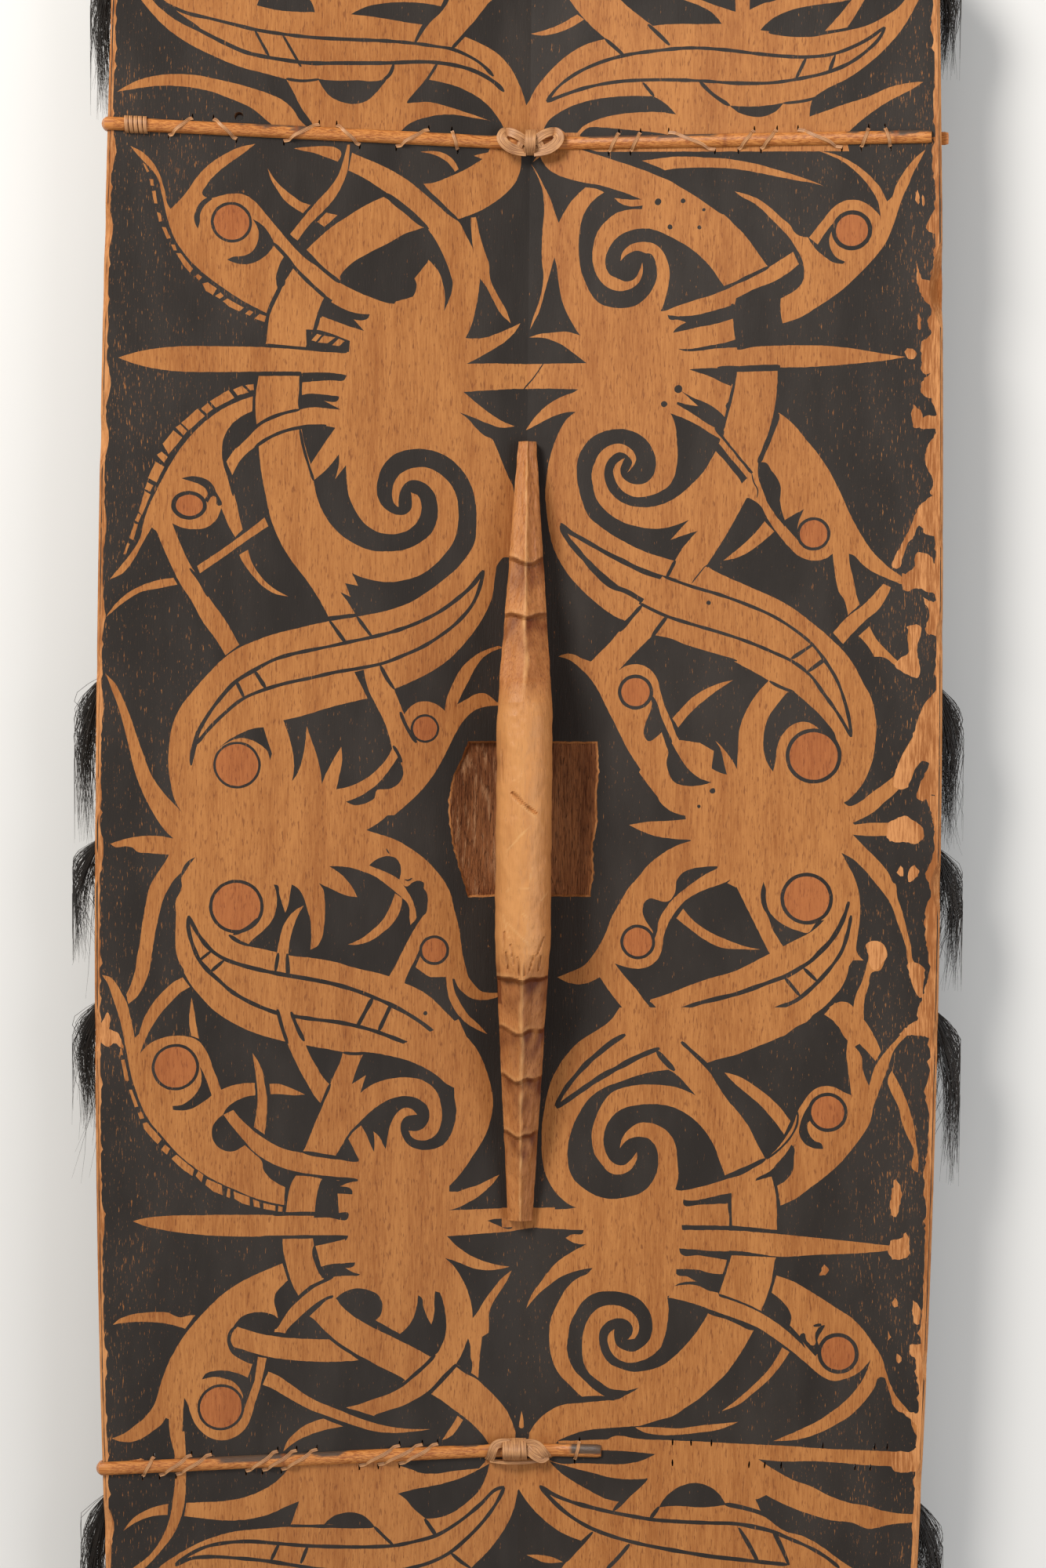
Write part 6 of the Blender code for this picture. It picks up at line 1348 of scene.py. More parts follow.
lowerRight = [
    ("wood", "c4", [(600, -60, 1), (560, 0), (480, 60), (400, 110), (340, 170), (290, 240), (250, 320),
        (230, 390), (215, 470), (205, 540), (203, 620), (205, 700), (220, 780), (245, 840), (290, 900),
        (335, 940), (380, 962, 1), (300, 970), (165, 962, 1), (0, 962, 1), (0, 1062, 1), (150, 1062, 1),
        (280, 1070), (418, 1076, 1), (415, 1090), (360, 1098), (325, 1115, 1), (360, 1138), (430, 1150, 1),
        (380, 1175), (320, 1210), (270, 1250), (220, 1310), (180, 1370), (150, 1430), (122, 1477, 1),
        (160, 1430), (200, 1390), (250, 1350), (300, 1315), (360, 1290), (420, 1275), (463, 1268, 1),
        (440, 1295), (390, 1320), (340, 1360), (300, 1420), (275, 1470), (250, 1530), (242, 1600),
        (245, 1680), (265, 1760), (300, 1820), (350, 1870), (390, 1910), (415, 1930, 1), (520, 1928, 1),
        (600, 1905, 1), (700, 1880, 1), (640, 1915), (570, 1940), (500, 1948), (400, 1958), (300, 1970),
        (240, 2000), (190, 2040), (140, 2110, 1), (130, 2200, 1), (250, 2200, 1), (285, 2150, 1),
        (400, 2105), (600, 2082), (700, 2075, 1), (800, 2045), (880, 2020), (940, 1980), (1000, 1940),
        (1080, 1870), (1150, 1800), (1200, 1730), (1250, 1650), (1287, 1582, 1), (1130, 1500, 1),
        (1100, 1380, 1), (1160, 1200, 1), (1160, 900, 1), (1290, 830, 1), (1345, 715, 1), (1300, 630),
        (1260, 550), (1210, 480), (1150, 410), (1100, 335), (1040, 225, 1), (1100, 205), (1200, 180),
        (1300, 140), (1400, 100), (1500, 40), (1570, 0), (1600, -60, 1)]),
    ("line", "c4", [(630, 78), (560, 120), (500, 168), (440, 220), (380, 285), (325, 355),
        (275, 445)], 4.6),
    ("line", "c4", [(805, 148), (760, 165), (680, 200), (600, 243), (500, 298), (420, 352), (340, 408),
        (278, 452)], 4.6),
    ("line", "c4", [(790, 162), (835, 215), (882, 262)], 5),
    ("line", "c4", [(915, 115), (975, 170), (1040, 232), (1110, 320), (1200, 455)], 4),
    ("ink", "c4", [(990, 390, 1), (940, 365), (880, 345), (800, 335), (700, 335), (620, 350), (560, 375),
        (520, 420), (480, 500), (460, 570), (460, 630), (475, 690), (510, 740), (545, 780), (590, 793),
        (640, 780), (678, 740), (690, 700), (688, 678, 1), (660, 715), (620, 745), (580, 740), (540, 700),
        (520, 640), (520, 590), (535, 540), (570, 490), (620, 455), (700, 437), (780, 433), (860, 445),
        (930, 475), (990, 520), (1040, 575), (1080, 640), (1110, 720), (1142, 806, 1), (1060, 830),
        (960, 855), (885, 870, 1), (900, 800), (895, 720), (885, 640), (860, 590), (820, 555), (760, 530),
        (700, 530), (650, 560), (615, 605), (603, 657, 1), (620, 635), (650, 610), (700, 600), (750, 610),
        (785, 650), (798, 710), (790, 780), (760, 840), (710, 886), (640, 907), (560, 917), (480, 900),
        (420, 865), (370, 820), (345, 770), (335, 700), (342, 620), (365, 540), (400, 470), (450, 400),
        (520, 350), (600, 320), (700, 285), (760, 270), (850, 258, 1), (900, 290), (950, 345)]),
    ("ink", "c5", [(845, 298, 1), (850, 360), (845, 430), (830, 500), (812, 552, 1), (760, 600), (700, 625),
        (640, 632), (590, 612), (555, 572), (540, 522), (548, 482), (574, 460, 1), (574, 510), (588, 545),
        (620, 566), (668, 576), (720, 550), (755, 510), (768, 460), (765, 410), (740, 350), (690, 302),
        (620, 275), (550, 268), (480, 276), (420, 312), (380, 370), (350, 430), (338, 500), (332, 570),
        (345, 622), (370, 670), (420, 722), (480, 776), (530, 806), (565, 822), (610, 812), (652, 776, 1),
        (600, 772), (550, 763), (500, 730), (450, 690), (420, 640), (410, 570), (412, 500), (427, 440),
        (460, 382), (500, 350), (560, 338), (620, 350), (668, 380), (695, 420), (698, 470), (678, 510, 1),
        (640, 515, 1), (662, 490), (668, 455), (650, 425), (615, 407), (575, 408), (530, 430), (500, 470),
        (497, 525), (515, 590), (550, 636), (600, 660), (660, 678), (740, 672), (820, 645), (880, 600),
        (940, 540), (990, 480), (1030, 420), (1057, 372, 1), (980, 332), (900, 308)]),
    ("line", "c4", [(1140, 806), (1240, 770), (1345, 715)], 5),
    ("line", "c5", [(845, 300), (950, 318), (1057, 365), (1180, 410), (1290, 460)], 5.5),
    ("line", "c5", [(1108, 275), (1180, 305), (1320, 375), (1400, 425), (1480, 495)], 5.5),
    ("line", "c5", [(330, 832), (415, 812), (520, 812), (575, 822)], 3),
    ("ink", "c4", [(925, 920, 1), (960, 925), (1050, 912), (1120, 895), (1172, 886, 1), (1165, 930),
        (1100, 942), (1020, 945), (925, 940)]),
    ("ink", "c4", [(918, 1050, 1), (1050, 1052), (1200, 1054, 1), (1200, 1078, 1), (1050, 1075),
        (920, 1070)]),
    ("line", "c4", [(1165, 890), (1170, 970), (1178, 1060)], 5),
    ("line", "c4", [(1180, 1066), (1300, 1075), (1410, 1085)], 3),
    ("ink", "c5", [(905, 48, 1), (960, 52), (1060, 62), (1200, 62, 1), (1200, 85), (1160, 110, 1),
        (1100, 100), (1010, 85), (910, 72)]),
    ("line", "c5", [(1162, 95), (1148, 185), (1110, 275)], 6),
    ("ink", "c5", [(890, 155, 1), (950, 155), (1010, 160), (1060, 175), (1135, 180, 1), (1112, 278, 1),
        (1050, 262), (1000, 240), (878, 242, 1), (900, 230), (990, 218, 1), (950, 195), (890, 178)]),
    ("line", "c5", [(1180, 62), (1300, 72), (1420, 85)], 4),
    ("wood", "d4", [(-175, 908, 1), (-215, 870, 1), (-140, 862), (-50, 845), (40, 822), (150, 780),
        (245, 715), (300, 665), (350, 600), (390, 530), (410, 470), (440, 420), (480, 370), (530, 343),
        (590, 345), (640, 370), (682, 388, 1), (675, 320), (665, 250), (658, 170), (665, 108, 1),
        (700, 140), (735, 190), (740, 250), (755, 300), (773, 340, 1), (785, 300), (800, 250), (830, 200),
        (870, 150), (920, 95), (970, 40), (1010, 25, 1), (980, 70), (930, 120), (900, 160), (880, 210),
        (865, 260), (845, 310), (820, 380), (795, 450), (780, 520), (740, 590), (680, 670), (620, 740),
        (540, 810), (460, 870), (390, 920), (322, 950, 1), (305, 850, 1), (350, 820), (385, 770),
        (390, 710), (388, 650), (378, 640, 1), (345, 690), (310, 730), (280, 765), (200, 810), (100, 860),
        (0, 890), (-100, 905)]),
    ("line", "d4", [(-210, 866), (-50, 835), (42, 806), (150, 762), (245, 713)], 4),
    ("ink", "d4", [(413, 590, 1), (385, 650), (345, 695), (285, 768), (300, 847, 1), (350, 820), (385, 770),
        (390, 710), (390, 650)]),
    ("ink", "d4", [(500, 400, 1), (460, 450), (425, 520), (418, 590), (440, 630), (480, 655), (540, 662, 1),
        (530, 635), (495, 620), (465, 580), (458, 540), (480, 500), (470, 470)]),
    ("eye", "d4", (562, 475), 92, 18),
    ("line", "d4", [(368, 520), (400, 470), (408, 520), (380, 590), (330, 650), (250, 715)], 2),
    ("wood", "d4", [(72, 880, 1), (180, 830), (275, 803, 1), (295, 880), (302, 960), (302, 1075, 1),
        (75, 1052, 1), (72, 960)]),
    ("wood", "d4", [(35, 272, 1), (90, 285), (160, 320), (230, 370), (300, 430), (372, 520, 1),
        (340, 588, 1), (290, 520), (220, 440), (150, 380), (90, 330)]),
    ("wood", "d4", [(890, 262, 1), (910, 300), (950, 380), (985, 480), (1005, 560), (1015, 640),
        (1025, 720), (1022, 782, 1), (1000, 770), (1000, 660), (970, 600), (945, 540), (920, 440),
        (885, 370), (868, 315)]),
    ("wood", "d4", [(570, -60, 1), (640, -90), (740, -5), (835, 165, 1), (806, 214, 1), (740, 140),
        (665, 70), (600, 20)]),
    ("wood", "d5", [(-190, -45, 1), (0, -42), (100, -40), (300, -25), (500, -5), (700, 15), (880, 35),
        (960, 40, 1), (880, 58), (700, 75), (500, 82), (330, 92), (100, 62), (-40, 58), (-190, 50, 1)]),
    ("wood", "d5", [(72, 85, 1), (300, 95, 1), (290, 180), (270, 270), (228, 370, 1), (120, 320),
        (8, 280, 1), (45, 170)]),
    ("line", "d5", [(305, 95), (292, 190), (268, 280), (228, 372)], 4),
    ("wood", "d5", [(-225, 252, 1), (-100, 262), (0, 292), (100, 325), (220, 378), (300, 428), (380, 492),
        (450, 560, 1), (420, 500), (370, 442, 1), (375, 390), (350, 340), (310, 300), (276, 275, 1),
        (300, 188, 1), (380, 215), (460, 260), (540, 310), (600, 350), (680, 400), (740, 460), (790, 530),
        (840, 610), (860, 680), (880, 740), (910, 800), (960, 860), (1000, 900), (1055, 885, 1),
        (1060, 960), (1040, 1010), (990, 950, 1), (980, 900), (900, 850), (880, 790), (855, 712, 1),
        (830, 705), (800, 760), (740, 840), (680, 900), (600, 950), (520, 990), (430, 1020), (285, 1032, 1),
        (430, 970), (520, 925), (600, 870), (660, 820), (720, 750), (760, 680), (780, 616, 1), (745, 660),
        (700, 695), (650, 715), (590, 725), (530, 700), (470, 650), (400, 590), (300, 515), (200, 450),
        (100, 410), (0, 375), (-80, 345), (-160, 320), (-250, 300, 1)]),
    ("eye", "d5", (615, 585), 95, 20),
    ("ink", "d5", [(415, 500, 1), (440, 480), (455, 520), (490, 545), (500, 480), (540, 440), (510, 520),
        (520, 560), (500, 600, 1), (450, 545)]),
    ("line", "d5", [(490, 445), (530, 438)], 4),
    ("wood", "d5", [(330, 553, 1), (367, 578, 1), (320, 650), (260, 720), (180, 790), (100, 850),
        (22, 880, 1), (100, 820), (180, 750), (250, 680), (300, 610)]),
    ("wood", "c5", [(680, 962, 1), (800, 962), (900, 968), (1000, 955), (1205, 935, 1), (1100, 975),
        (1000, 990), (900, 1000), (800, 1000), (720, 985)]),
    ("wood", "c5", [(285, 1032, 1), (540, 1024, 1), (560, 1012), (700, 1022), (900, 1030), (1200, 1045),
        (1500, 1060), (1800, 1085), (2000, 1098), (2150, 1085, 1), (2150, 1155), (1970, 1150), (1820, 1140),
        (1600, 1125), (1300, 1118, 1), (1360, 1160), (1500, 1240, 1), (1300, 1330, 1), (400, 1330, 1),
        (250, 1210), (238, 1150, 1), (290, 1150), (380, 1152), (500, 1152), (600, 1147), (700, 1127),
        (792, 1094, 1), (690, 1083), (550, 1076), (400, 1078), (300, 1060)]),
]

lowerJaws = [
    ("wood", "t3", [(330, 215, 1), (400, 212), (470, 208), (545, 193), (605, 168), (655, 135), (700, 85, 1),
        (1100, 60, 1), (1530, 60, 1), (1530, 150, 1), (1512, 172, 1), (1500, 232), (1470, 300), (1420, 372),
        (1345, 448), (1240, 540), (1100, 600, 1), (700, 590), (400, 550), (200, 500, 1), (230, 448),
        (290, 405), (350, 370), (420, 340), (500, 318), (600, 308), (700, 300, 1), (732, 210, 1),
        (690, 226), (640, 250), (560, 272), (480, 278), (400, 272), (322, 262, 1)]),
    ("wood", "t3", [(280, -40, 1), (322, -40, 1), (328, 60), (328, 130), (325, 200), (312, 262), (285, 325),
        (240, 385), (180, 448), (100, 500, 1), (60, 520, 1), (130, 455), (200, 400), (245, 335), (270, 270),
        (282, 200), (290, 130), (300, 60)]),
    ("wood", "t3", [(105, 315, 1), (140, 270), (190, 240), (265, 218, 1), (262, 258, 1), (200, 265),
        (150, 285)]),
    ("ink", "t3", [(1088, 82, 1), (1120, 60, 1), (1405, 40, 1), (1395, 70, 1), (1375, 92, 1), (1290, 101),
        (1225, 110), (1165, 108), (1130, 95)]),
    ("ink", "t3", [(1085, 182, 1), (1150, 165), (1230, 150), (1300, 130), (1375, 95, 1), (1412, 75, 1),
        (1400, 120), (1375, 170), (1330, 215), (1280, 250), (1230, 268), (1185, 272, 1), (1140, 235),
        (1110, 200)]),
    ("ink", "t3", [(822, 292, 1), (850, 265), (890, 252), (930, 250), (965, 262), (1000, 298, 1),
        (900, 295)]),
    ("line", "t3", [(290, 435), (340, 400), (400, 372), (470, 358), (550, 353), (650, 360), (750, 368),
        (870, 372), (1000, 372), (1070, 368), (1150, 352), (1220, 332), (1300, 285), (1380, 220),
        (1440, 165), (1465, 158)], 3.4),
    ("line", "t3", [(290, 440), (340, 416), (410, 408), (500, 412), (600, 421), (700, 436), (800, 452),
        (900, 462), (1000, 462), (1120, 450), (1200, 428), (1270, 393), (1330, 343), (1392, 278),
        (1440, 210), (1465, 160)], 3.4),
    ("line", "t3", [(660, 362), (632, 420)], 3.4),
    ("line", "t3", [(762, 372), (738, 432)], 3.4),
    ("line", "t3", [(1000, 300), (1035, 335), (1070, 368)], 3.4),
    ("line", "t3", [(695, 297), (850, 299), (1000, 300)], 3.2),
    ("line", "t3", [(1180, 272), (1220, 330)], 4),
    ("line", "t3", [(1275, 395), (1310, 425), (1345, 448)], 3.6),
    ("wood", "t4", [(30, 165, 1), (20, 60, 1), (140, 55, 1), (200, 15), (370, 10), (680, -5, 1), (900, 10),
        (1100, 20), (1300, 28), (1500, 38, 1), (1500, 88), (1390, 86), (1300, 82), (1200, 73), (1100, 68),
        (1000, 69), (905, 60, 1), (960, 93), (1030, 133), (1110, 163), (1180, 198), (1250, 222),
        (1310, 232), (1370, 250), (1460, 262), (1500, 262, 1), (1500, 292, 1), (1400, 300), (1310, 315),
        (1260, 295), (1180, 285), (1100, 262), (1010, 228), (935, 188), (895, 158), (860, 143, 1),
        (885, 180), (905, 215), (930, 265), (960, 290), (1000, 320), (1080, 345), (1150, 385), (1210, 430),
        (1255, 460), (1350, 560, 1), (900, 620), (500, 600), (120, 560, 1), (195, 455), (232, 405),
        (262, 360, 1), (190, 330), (120, 278), (70, 225)]),
    ("wood", "t4", [(62, 412, 1), (110, 412), (160, 422), (195, 438, 1), (130, 440), (90, 425)]),
    ("ink", "t4", [(140, 62, 1), (180, 40), (240, 30), (330, 28), (430, 32), (535, 42, 1), (500, 60),
        (470, 70), (400, 80), (330, 78), (260, 76), (180, 76)]),
    ("ink", "t4", [(145, 68, 1), (175, 100), (230, 140), (300, 180), (350, 205), (405, 218, 1), (450, 180),
        (505, 132, 1), (440, 135), (370, 128), (300, 110), (230, 92), (180, 78)]),
    ("ink", "t4", [(548, 238, 1), (565, 208), (600, 175), (640, 155), (685, 148), (730, 160), (768, 188),
        (793, 228, 1), (740, 236), (680, 237), (610, 232)]),
    ("line", "t4", [(505, 132), (440, 190), (380, 250)], 3.6),
    ("line", "t4", [(110, 158), (160, 190), (220, 215), (300, 238), (380, 257), (460, 272), (520, 282),
        (620, 290), (740, 295), (830, 298), (900, 310), (960, 325), (1020, 350), (1100, 385), (1160, 420),
        (1210, 460)], 3.6),
    ("line", "t4", [(110, 158), (150, 205), (210, 260), (290, 310), (380, 345), (480, 372), (560, 388),
        (640, 402), (740, 418), (830, 428), (920, 438), (1020, 448)], 3.6),
    ("line", "t4", [(305, 328), (262, 372), (200, 440)], 3.6),
    ("line", "t4", [(440, 372), (400, 420), (355, 465)], 3.6),
    ("line", "t4", [(515, 280), (548, 236)], 3.6),
    ("line", "t4", [(790, 226), (860, 240), (930, 262), (1000, 300)], 4),
    ("line", "t4", [(840, 312), (875, 370), (912, 440)], 3.6),
    ("line", "t4", [(965, 320), (995, 380), (1025, 450)], 3.6),
]

# bare wood where the paint has rubbed off, mostly down the right edge
wornPlaces = [
    ("bare", "d0", [(1095, -20, 1), (1165, -40, 1), (1165, 560, 1), (1140, 680), (1120, 660), (1105, 560),
        (1140, 480), (1095, 470), (1075, 460), (1090, 380), (1118, 330), (1108, 200), (1130, 90)]),
    ("bare", "d0", [(1018, 620, 1), (1050, 700), (1100, 720), (1110, 780), (1130, 840), (1165, 870, 1),
        (1165, 1220, 1), (1110, 1180), (1060, 1190), (1040, 1100), (1050, 1010), (1085, 990), (1072, 920),
        (1090, 860), (1050, 800), (1020, 730)]),
    ("bare", "d0", [(955, 1080, 1), (980, 1055), (1012, 1085), (1000, 1110), (965, 1105)]),
    ("bare", "d0", [(1020, 250, 1), (1032, 300), (1022, 325), (1012, 300)]),
    ("bare", "d0", [(1048, 270, 1), (1058, 310), (1050, 330), (1044, 300)]),
    ("bare", "d0", [(1025, 880, 1), (1035, 920), (1030, 960), (1022, 920)]),
    ("bare", "d1", [(1040, -10, 1), (1170, -10, 1), (1170, 700, 1), (1095, 690), (1100, 600), (1065, 545),
        (1070, 440), (1110, 350), (1040, 345), (1045, 290), (1120, 270), (1100, 200), (1045, 170),
        (1040, 110), (1090, 60)]),
    ("bare", "d1", [(1000, 225, 1), (1030, 250), (1045, 300), (1020, 345), (990, 270)]),
    ("bare", "d1", [(1095, 690, 1), (1170, 690, 1), (1170, 1200, 1), (1095, 1180), (1110, 1080),
        (1110, 960), (1100, 900), (1060, 880), (1035, 840), (1000, 900), (940, 980), (925, 1060),
        (900, 1055), (925, 960), (985, 850), (1030, 740)]),
    ("bare", "d1", [(945, 1085, 1), (1000, 1060), (1010, 990), (1060, 980), (1110, 1060), (1090, 1160),
        (1000, 1160), (965, 1175)]),
    ("bare", "d2", [(890, 0, 1), (1095, -20, 1), (1085, 65), (1030, 40), (960, 52), (940, 10)]),
    ("bare", "d2", [(1045, 85, 1), (1100, 110), (1165, 80, 1), (1165, 600, 1), (1120, 560), (1135, 480),
        (1120, 400), (1115, 290), (1065, 270), (1080, 180)]),
    ("bare", "d2", [(970, 240, 1), (1028, 228), (1020, 330), (1005, 495), (950, 470), (905, 430),
        (930, 400), (975, 370)]),
    ("bare", "d2", [(1165, 560, 1), (1165, 1220, 1), (1100, 1180), (1095, 1090), (1060, 1125), (1030, 1120),
        (1050, 1000), (1075, 930), (1020, 940), (985, 1020), (960, 1062), (910, 1060), (905, 990),
        (930, 915), (985, 830), (1030, 690), (1075, 605), (1120, 562)]),
    ("bare", "d3", [(875, 120, 1), (910, 98), (960, 82), (1000, 105), (1047, 145), (1045, 200), (1010, 228),
        (960, 215), (880, 212)]),
    ("bare", "d3", [(1060, -20, 1), (1165, -20, 1), (1165, 560), (1130, 1200, 1), (1020, 1160),
        (1020, 1100), (1060, 960), (1085, 860), (1060, 700), (1060, 570), (1090, 460), (1060, 380),
        (1085, 330), (1110, 200), (1095, 90)]),
    ("bare", "d3", [(1000, 830, 1), (1050, 855), (1050, 930), (1032, 1012), (1005, 970), (980, 890),
        (975, 830)]),
    ("bare", "d3", [(758, 735, 1), (800, 722), (832, 728), (866, 785), (848, 832), (800, 870), (770, 800)]),
    ("bare", "d3", [(935, 335, 1), (950, 360), (945, 390), (920, 385)]),
    ("bare", "d3", [(1000, 332, 1), (1030, 370), (1010, 400), (985, 420), (975, 360)]),
    ("bare", "d3", [(930, 1200, 1), (980, 1150), (1100, 1140), (1110, 1215, 1)]),
    ("bare", "d4", [(905, 813, 1), (935, 860), (930, 950), (900, 1008), (885, 980), (890, 880)]),
    ("bare", "d4", [(1085, 60, 1), (1120, 0, 1), (1105, 1200, 1), (1060, 1200, 1), (1065, 1000),
        (1085, 850), (1058, 830), (1060, 740), (1085, 600), (1095, 400), (1100, 220)]),
    ("bare", "d4", [(880, 1130, 1), (930, 1120), (960, 1090), (972, 1120), (960, 1222), (920, 1230),
        (885, 1215)]),
    ("bare", "d5", [(1000, 320, 1), (1020, 330), (1035, 400), (1018, 440), (995, 400)]),
    ("bare", "d5", [(980, 545, 1), (1065, 530, 1), (1062, 660), (1035, 715), (1010, 690), (1010, 620),
        (982, 590)]),
    ("bare", "d5", [(905, 300, 1), (918, 320), (908, 348), (898, 325)]),
    ("bare", "d5", [(920, 585, 1), (938, 610), (930, 632), (915, 610)]),
    ("bare", "d5", [(870, 470, 1), (885, 490), (878, 518)]),
    ("bare", "d5", [(855, 690, 1), (890, 770), (905, 840), (960, 880), (1000, 890), (1060, 880, 1),
        (1060, 1180, 1), (880, 1150), (890, 1095), (990, 1085), (1045, 1010), (985, 920), (900, 855),
        (880, 790)]),
    ("bare", "d5", [(545, 130, 1), (565, 150), (550, 185), (530, 190)]),
    ("bare", "a3", [(15, 1140, 1), (55, 1092), (62, 1130), (35, 1190), (10, 1195)]),
    ("bare", "a4", [(10, 60, 1), (60, 50), (110, 90), (120, 150), (90, 120), (40, 140), (15, 120)]),
    ("bare", "a5", [(50, 1160, 1), (130, 1140), (240, 1135), (250, 1165), (120, 1185)]),
    ("bare", "a2", [(5, 700, 1), (14, 760), (12, 830), (4, 860)]),
    ("crack", "d4", [(838, 590), (836, 630), (850, 665), (870, 690)]),
    ("crack", "d1", [(175, 575), (185, 620), (205, 660), (200, 700)]),
    ("crack", "d5", [(773, 228), (775, 290), (770, 352)]),
    ("crack", "c1", [(215, 10), (160, 90), (110, 150), (75, 300)]),
]

sheets["end"] = (0, 0, 1)
# plainer curls and leaves for the two ends, which the photograph's edges cut off; each is mirrored over the keel
endShapes = [
    ("wood", "end", [(648, -128, 1), (600, -150), (540, -165), (480, -150), (450, -115), (455, -78), (482, -60),
                     (512, -68), (524, -92), (505, -102, 1), (498, -90), (482, -92), (476, -110), (492, -130),
                     (530, -140), (580, -126), (620, -105), (648, -85, 1)]),
    ("wood", "end", [(656, -486, 1), (640, -400), (612, -336), (566, -280), (500, -240, 1), (560, -246),
                     (610, -276), (640, -312), (657, -350, 1)]),
    ("wood", "end", [(262, -92, 1), (340, -136), (430, -188), (520, -280), (594, -402, 1), (548, -300), (492, -222),
                     (420, -158), (340, -112)]),
    ("wood", "end", [(655, -300, 1), (628, -250), (580, -208), (520, -192, 1), (570, -180), (620, -186), (655, -204, 1)]),
    ("line", "end", [(646, -470), (636, -408), (606, -346), (560, -294)], 3),
]


# the long jaw right of the handle, drawn over the neck that crosses under it
rightJaw = [
    ("wood", "end", [(817, 770, 1), (845, 735, 1), (890, 745, 1), (890, 800, 1), (848, 786, 1)]),
    ("line", "end", [(846, 735), (882, 748), (919, 759), (952, 771), (986, 786), (1013, 803), (1036, 822), (1053, 844),
                     (1067, 867), (1077, 894), (1084, 924), (1086, 940)], 3.0),
    ("line", "end", [(815, 769), (848, 785), (885, 797), (919, 807), (952, 818), (986, 832), (1011, 844), (1033, 861),
                     (1050, 884), (1067, 908), (1079, 928), (1085, 940)], 3.0),
]


def paintedItems(entries):
    items = []
    for entry in entries:
        kind, sheet, points, *rest = entry
        if kind == "eye":
            items += eyeOf(sheet, points, *rest)
        elif kind == "line":
            items.append(stroke(sheet, points, (rest[0] if rest else 3.0) * 1.4))
        elif kind == "crack":
            items.append(stroke(sheet, points, 1.6, "ink"))
        elif kind == "chip":
            items.append(chip(sheet, points))
        elif kind == "dot":
            items.append(disc("ink", sheet, points, rest[0]))
        elif kind == "disc":
            items.append(disc("ink", sheet, points, *rest))
        elif kind == "redDisc":
            items.append(disc("eye", sheet, points, *rest))
        elif kind == "bare":
            items.append(area("bare", sheet, points, 5.0))
        else:
            items.append(area(kind, sheet, points, *rest))
    return items


def endItems():
    # drawn for the upper left quarter and mirrored into the other three
    middleX, middleY = view["middle"]
    made = []
    for sideX in (1, -1):
        for sideY in (1, -1):
            for kind, sheet, points, *rest in endShapes:
                turned = [(middleX + 5 + (p[0] - middleX - 5) * sideX, middleY + (p[1] - middleY) * sideY, *p[2:])
                          for p in points]
                made.append((kind, sheet, turned, *rest))
    return paintedItems(made)


def rimWear():
    # the paint is rubbed off along both arrises, and more so on the right
    made = []
    for side in (-1, 1):
        rows = spread(plankLow.y + 0.004, plankHigh.y - 0.004, 560)
        outer = [(side * (halfWidth(y) - plank["rimChamfer"] - 0.0004), y) for y in rows]
        inner = []
        for y in rows:
            depth = plank["rimChamfer"] + 0.0009 + 0.0004 + 0.0030 * max(0.0, wobble(y * 42, side * 7)) + 0.0022 * max(0.0, wobble(y * 210, side * 3))
            inner.append((side * (halfWidth(y) - depth * (1.15 + 0.15 * side)), y))
        made.append(("bare", outer + inner[::-1]))
    return made


def backOrnament():
    drawn = upperLeft + lowerLeft + upperRight + middleRight + lowerRight + lowerJaws + rightJaw + wornPlaces
    return endItems() + paintedItems(drawn) + rimWear()


front = {"stemX": 0.017, "stemWidth": 0.0045, "stemReach": 0.300, "turns": 1.35, "rootWidth": 0.0125}
# hooks on the front: place along the stem, reach outwards, size and whether it curls up or down
frontHooks = [(0.204, 0.070, 0.024, -1), (0.192, 0.070, 0.024, 1), (0.078, 0.056, 0.021, -1), (0.066, 0.056, 0.021, 1)]


def hookShape(y, reach, size, curl, sideX, sideY):
    # a stem that leaves the keel and rolls up into a spiral, thinner all the way
    line = []
    for k in range(9):
        share = k / 8
        line.append((front["stemX"] + reach * share, y - curl * (size * 2.4) * math.sin(share * math.pi / 2) ** 2))
    middle = (line[-1][0], line[-1][1] + curl * size)
    for k in range(1, 31):
        turn = 2 * math.pi * front["turns"] * k / 30
        radius = size * (1 - 0.78 * k / 30)
        line.append((middle[0] + radius * math.sin(turn), middle[1] - curl * radius * math.cos(turn)))
    left, right = [], []
    for k in range(1, len(line) - 1):
        ahead = (Vector(line[k + 1]) - Vector(line[k - 1])).normalized()
        half = front["rootWidth"] / 2 * (1 - 0.8 * k / len(line))
        left.append((line[k][0] - ahead.y * half, line[k][1] + ahead.x * half))
        right.append((line[k][0] + ahead.y * half, line[k][1] - ahead.x * half))
    loop = left + [line[-1]] + right[::-1]
    return ("wood", [heldIn(sideX * x, sideY * v) for x, v in loop])


def frontOrnament():
    # the front isn't seen: it repeats the back's hooks and curls, fewer and plainer, on a stem by the keel
    made = []
    for sideX in (1, -1):
        x0, x1 = front["stemX"], front["stemX"] + front["stemWidth"]
        reach = front["stemReach"]
        made.append(("wood", shaken([Vector((sideX * x, y)) for x, y in (
            (x0, -reach), (x1 + 0.004, -reach * 0.9), (x1, 0), (x1 + 0.004, reach * 0.9), (x0, reach))],
            brush["shake"])))
        for sideY in (1, -1):
            made += [hookShape(*hook, sideX, sideY) for hook in frontHooks]
    return endItems() + made


# Mesh helpers

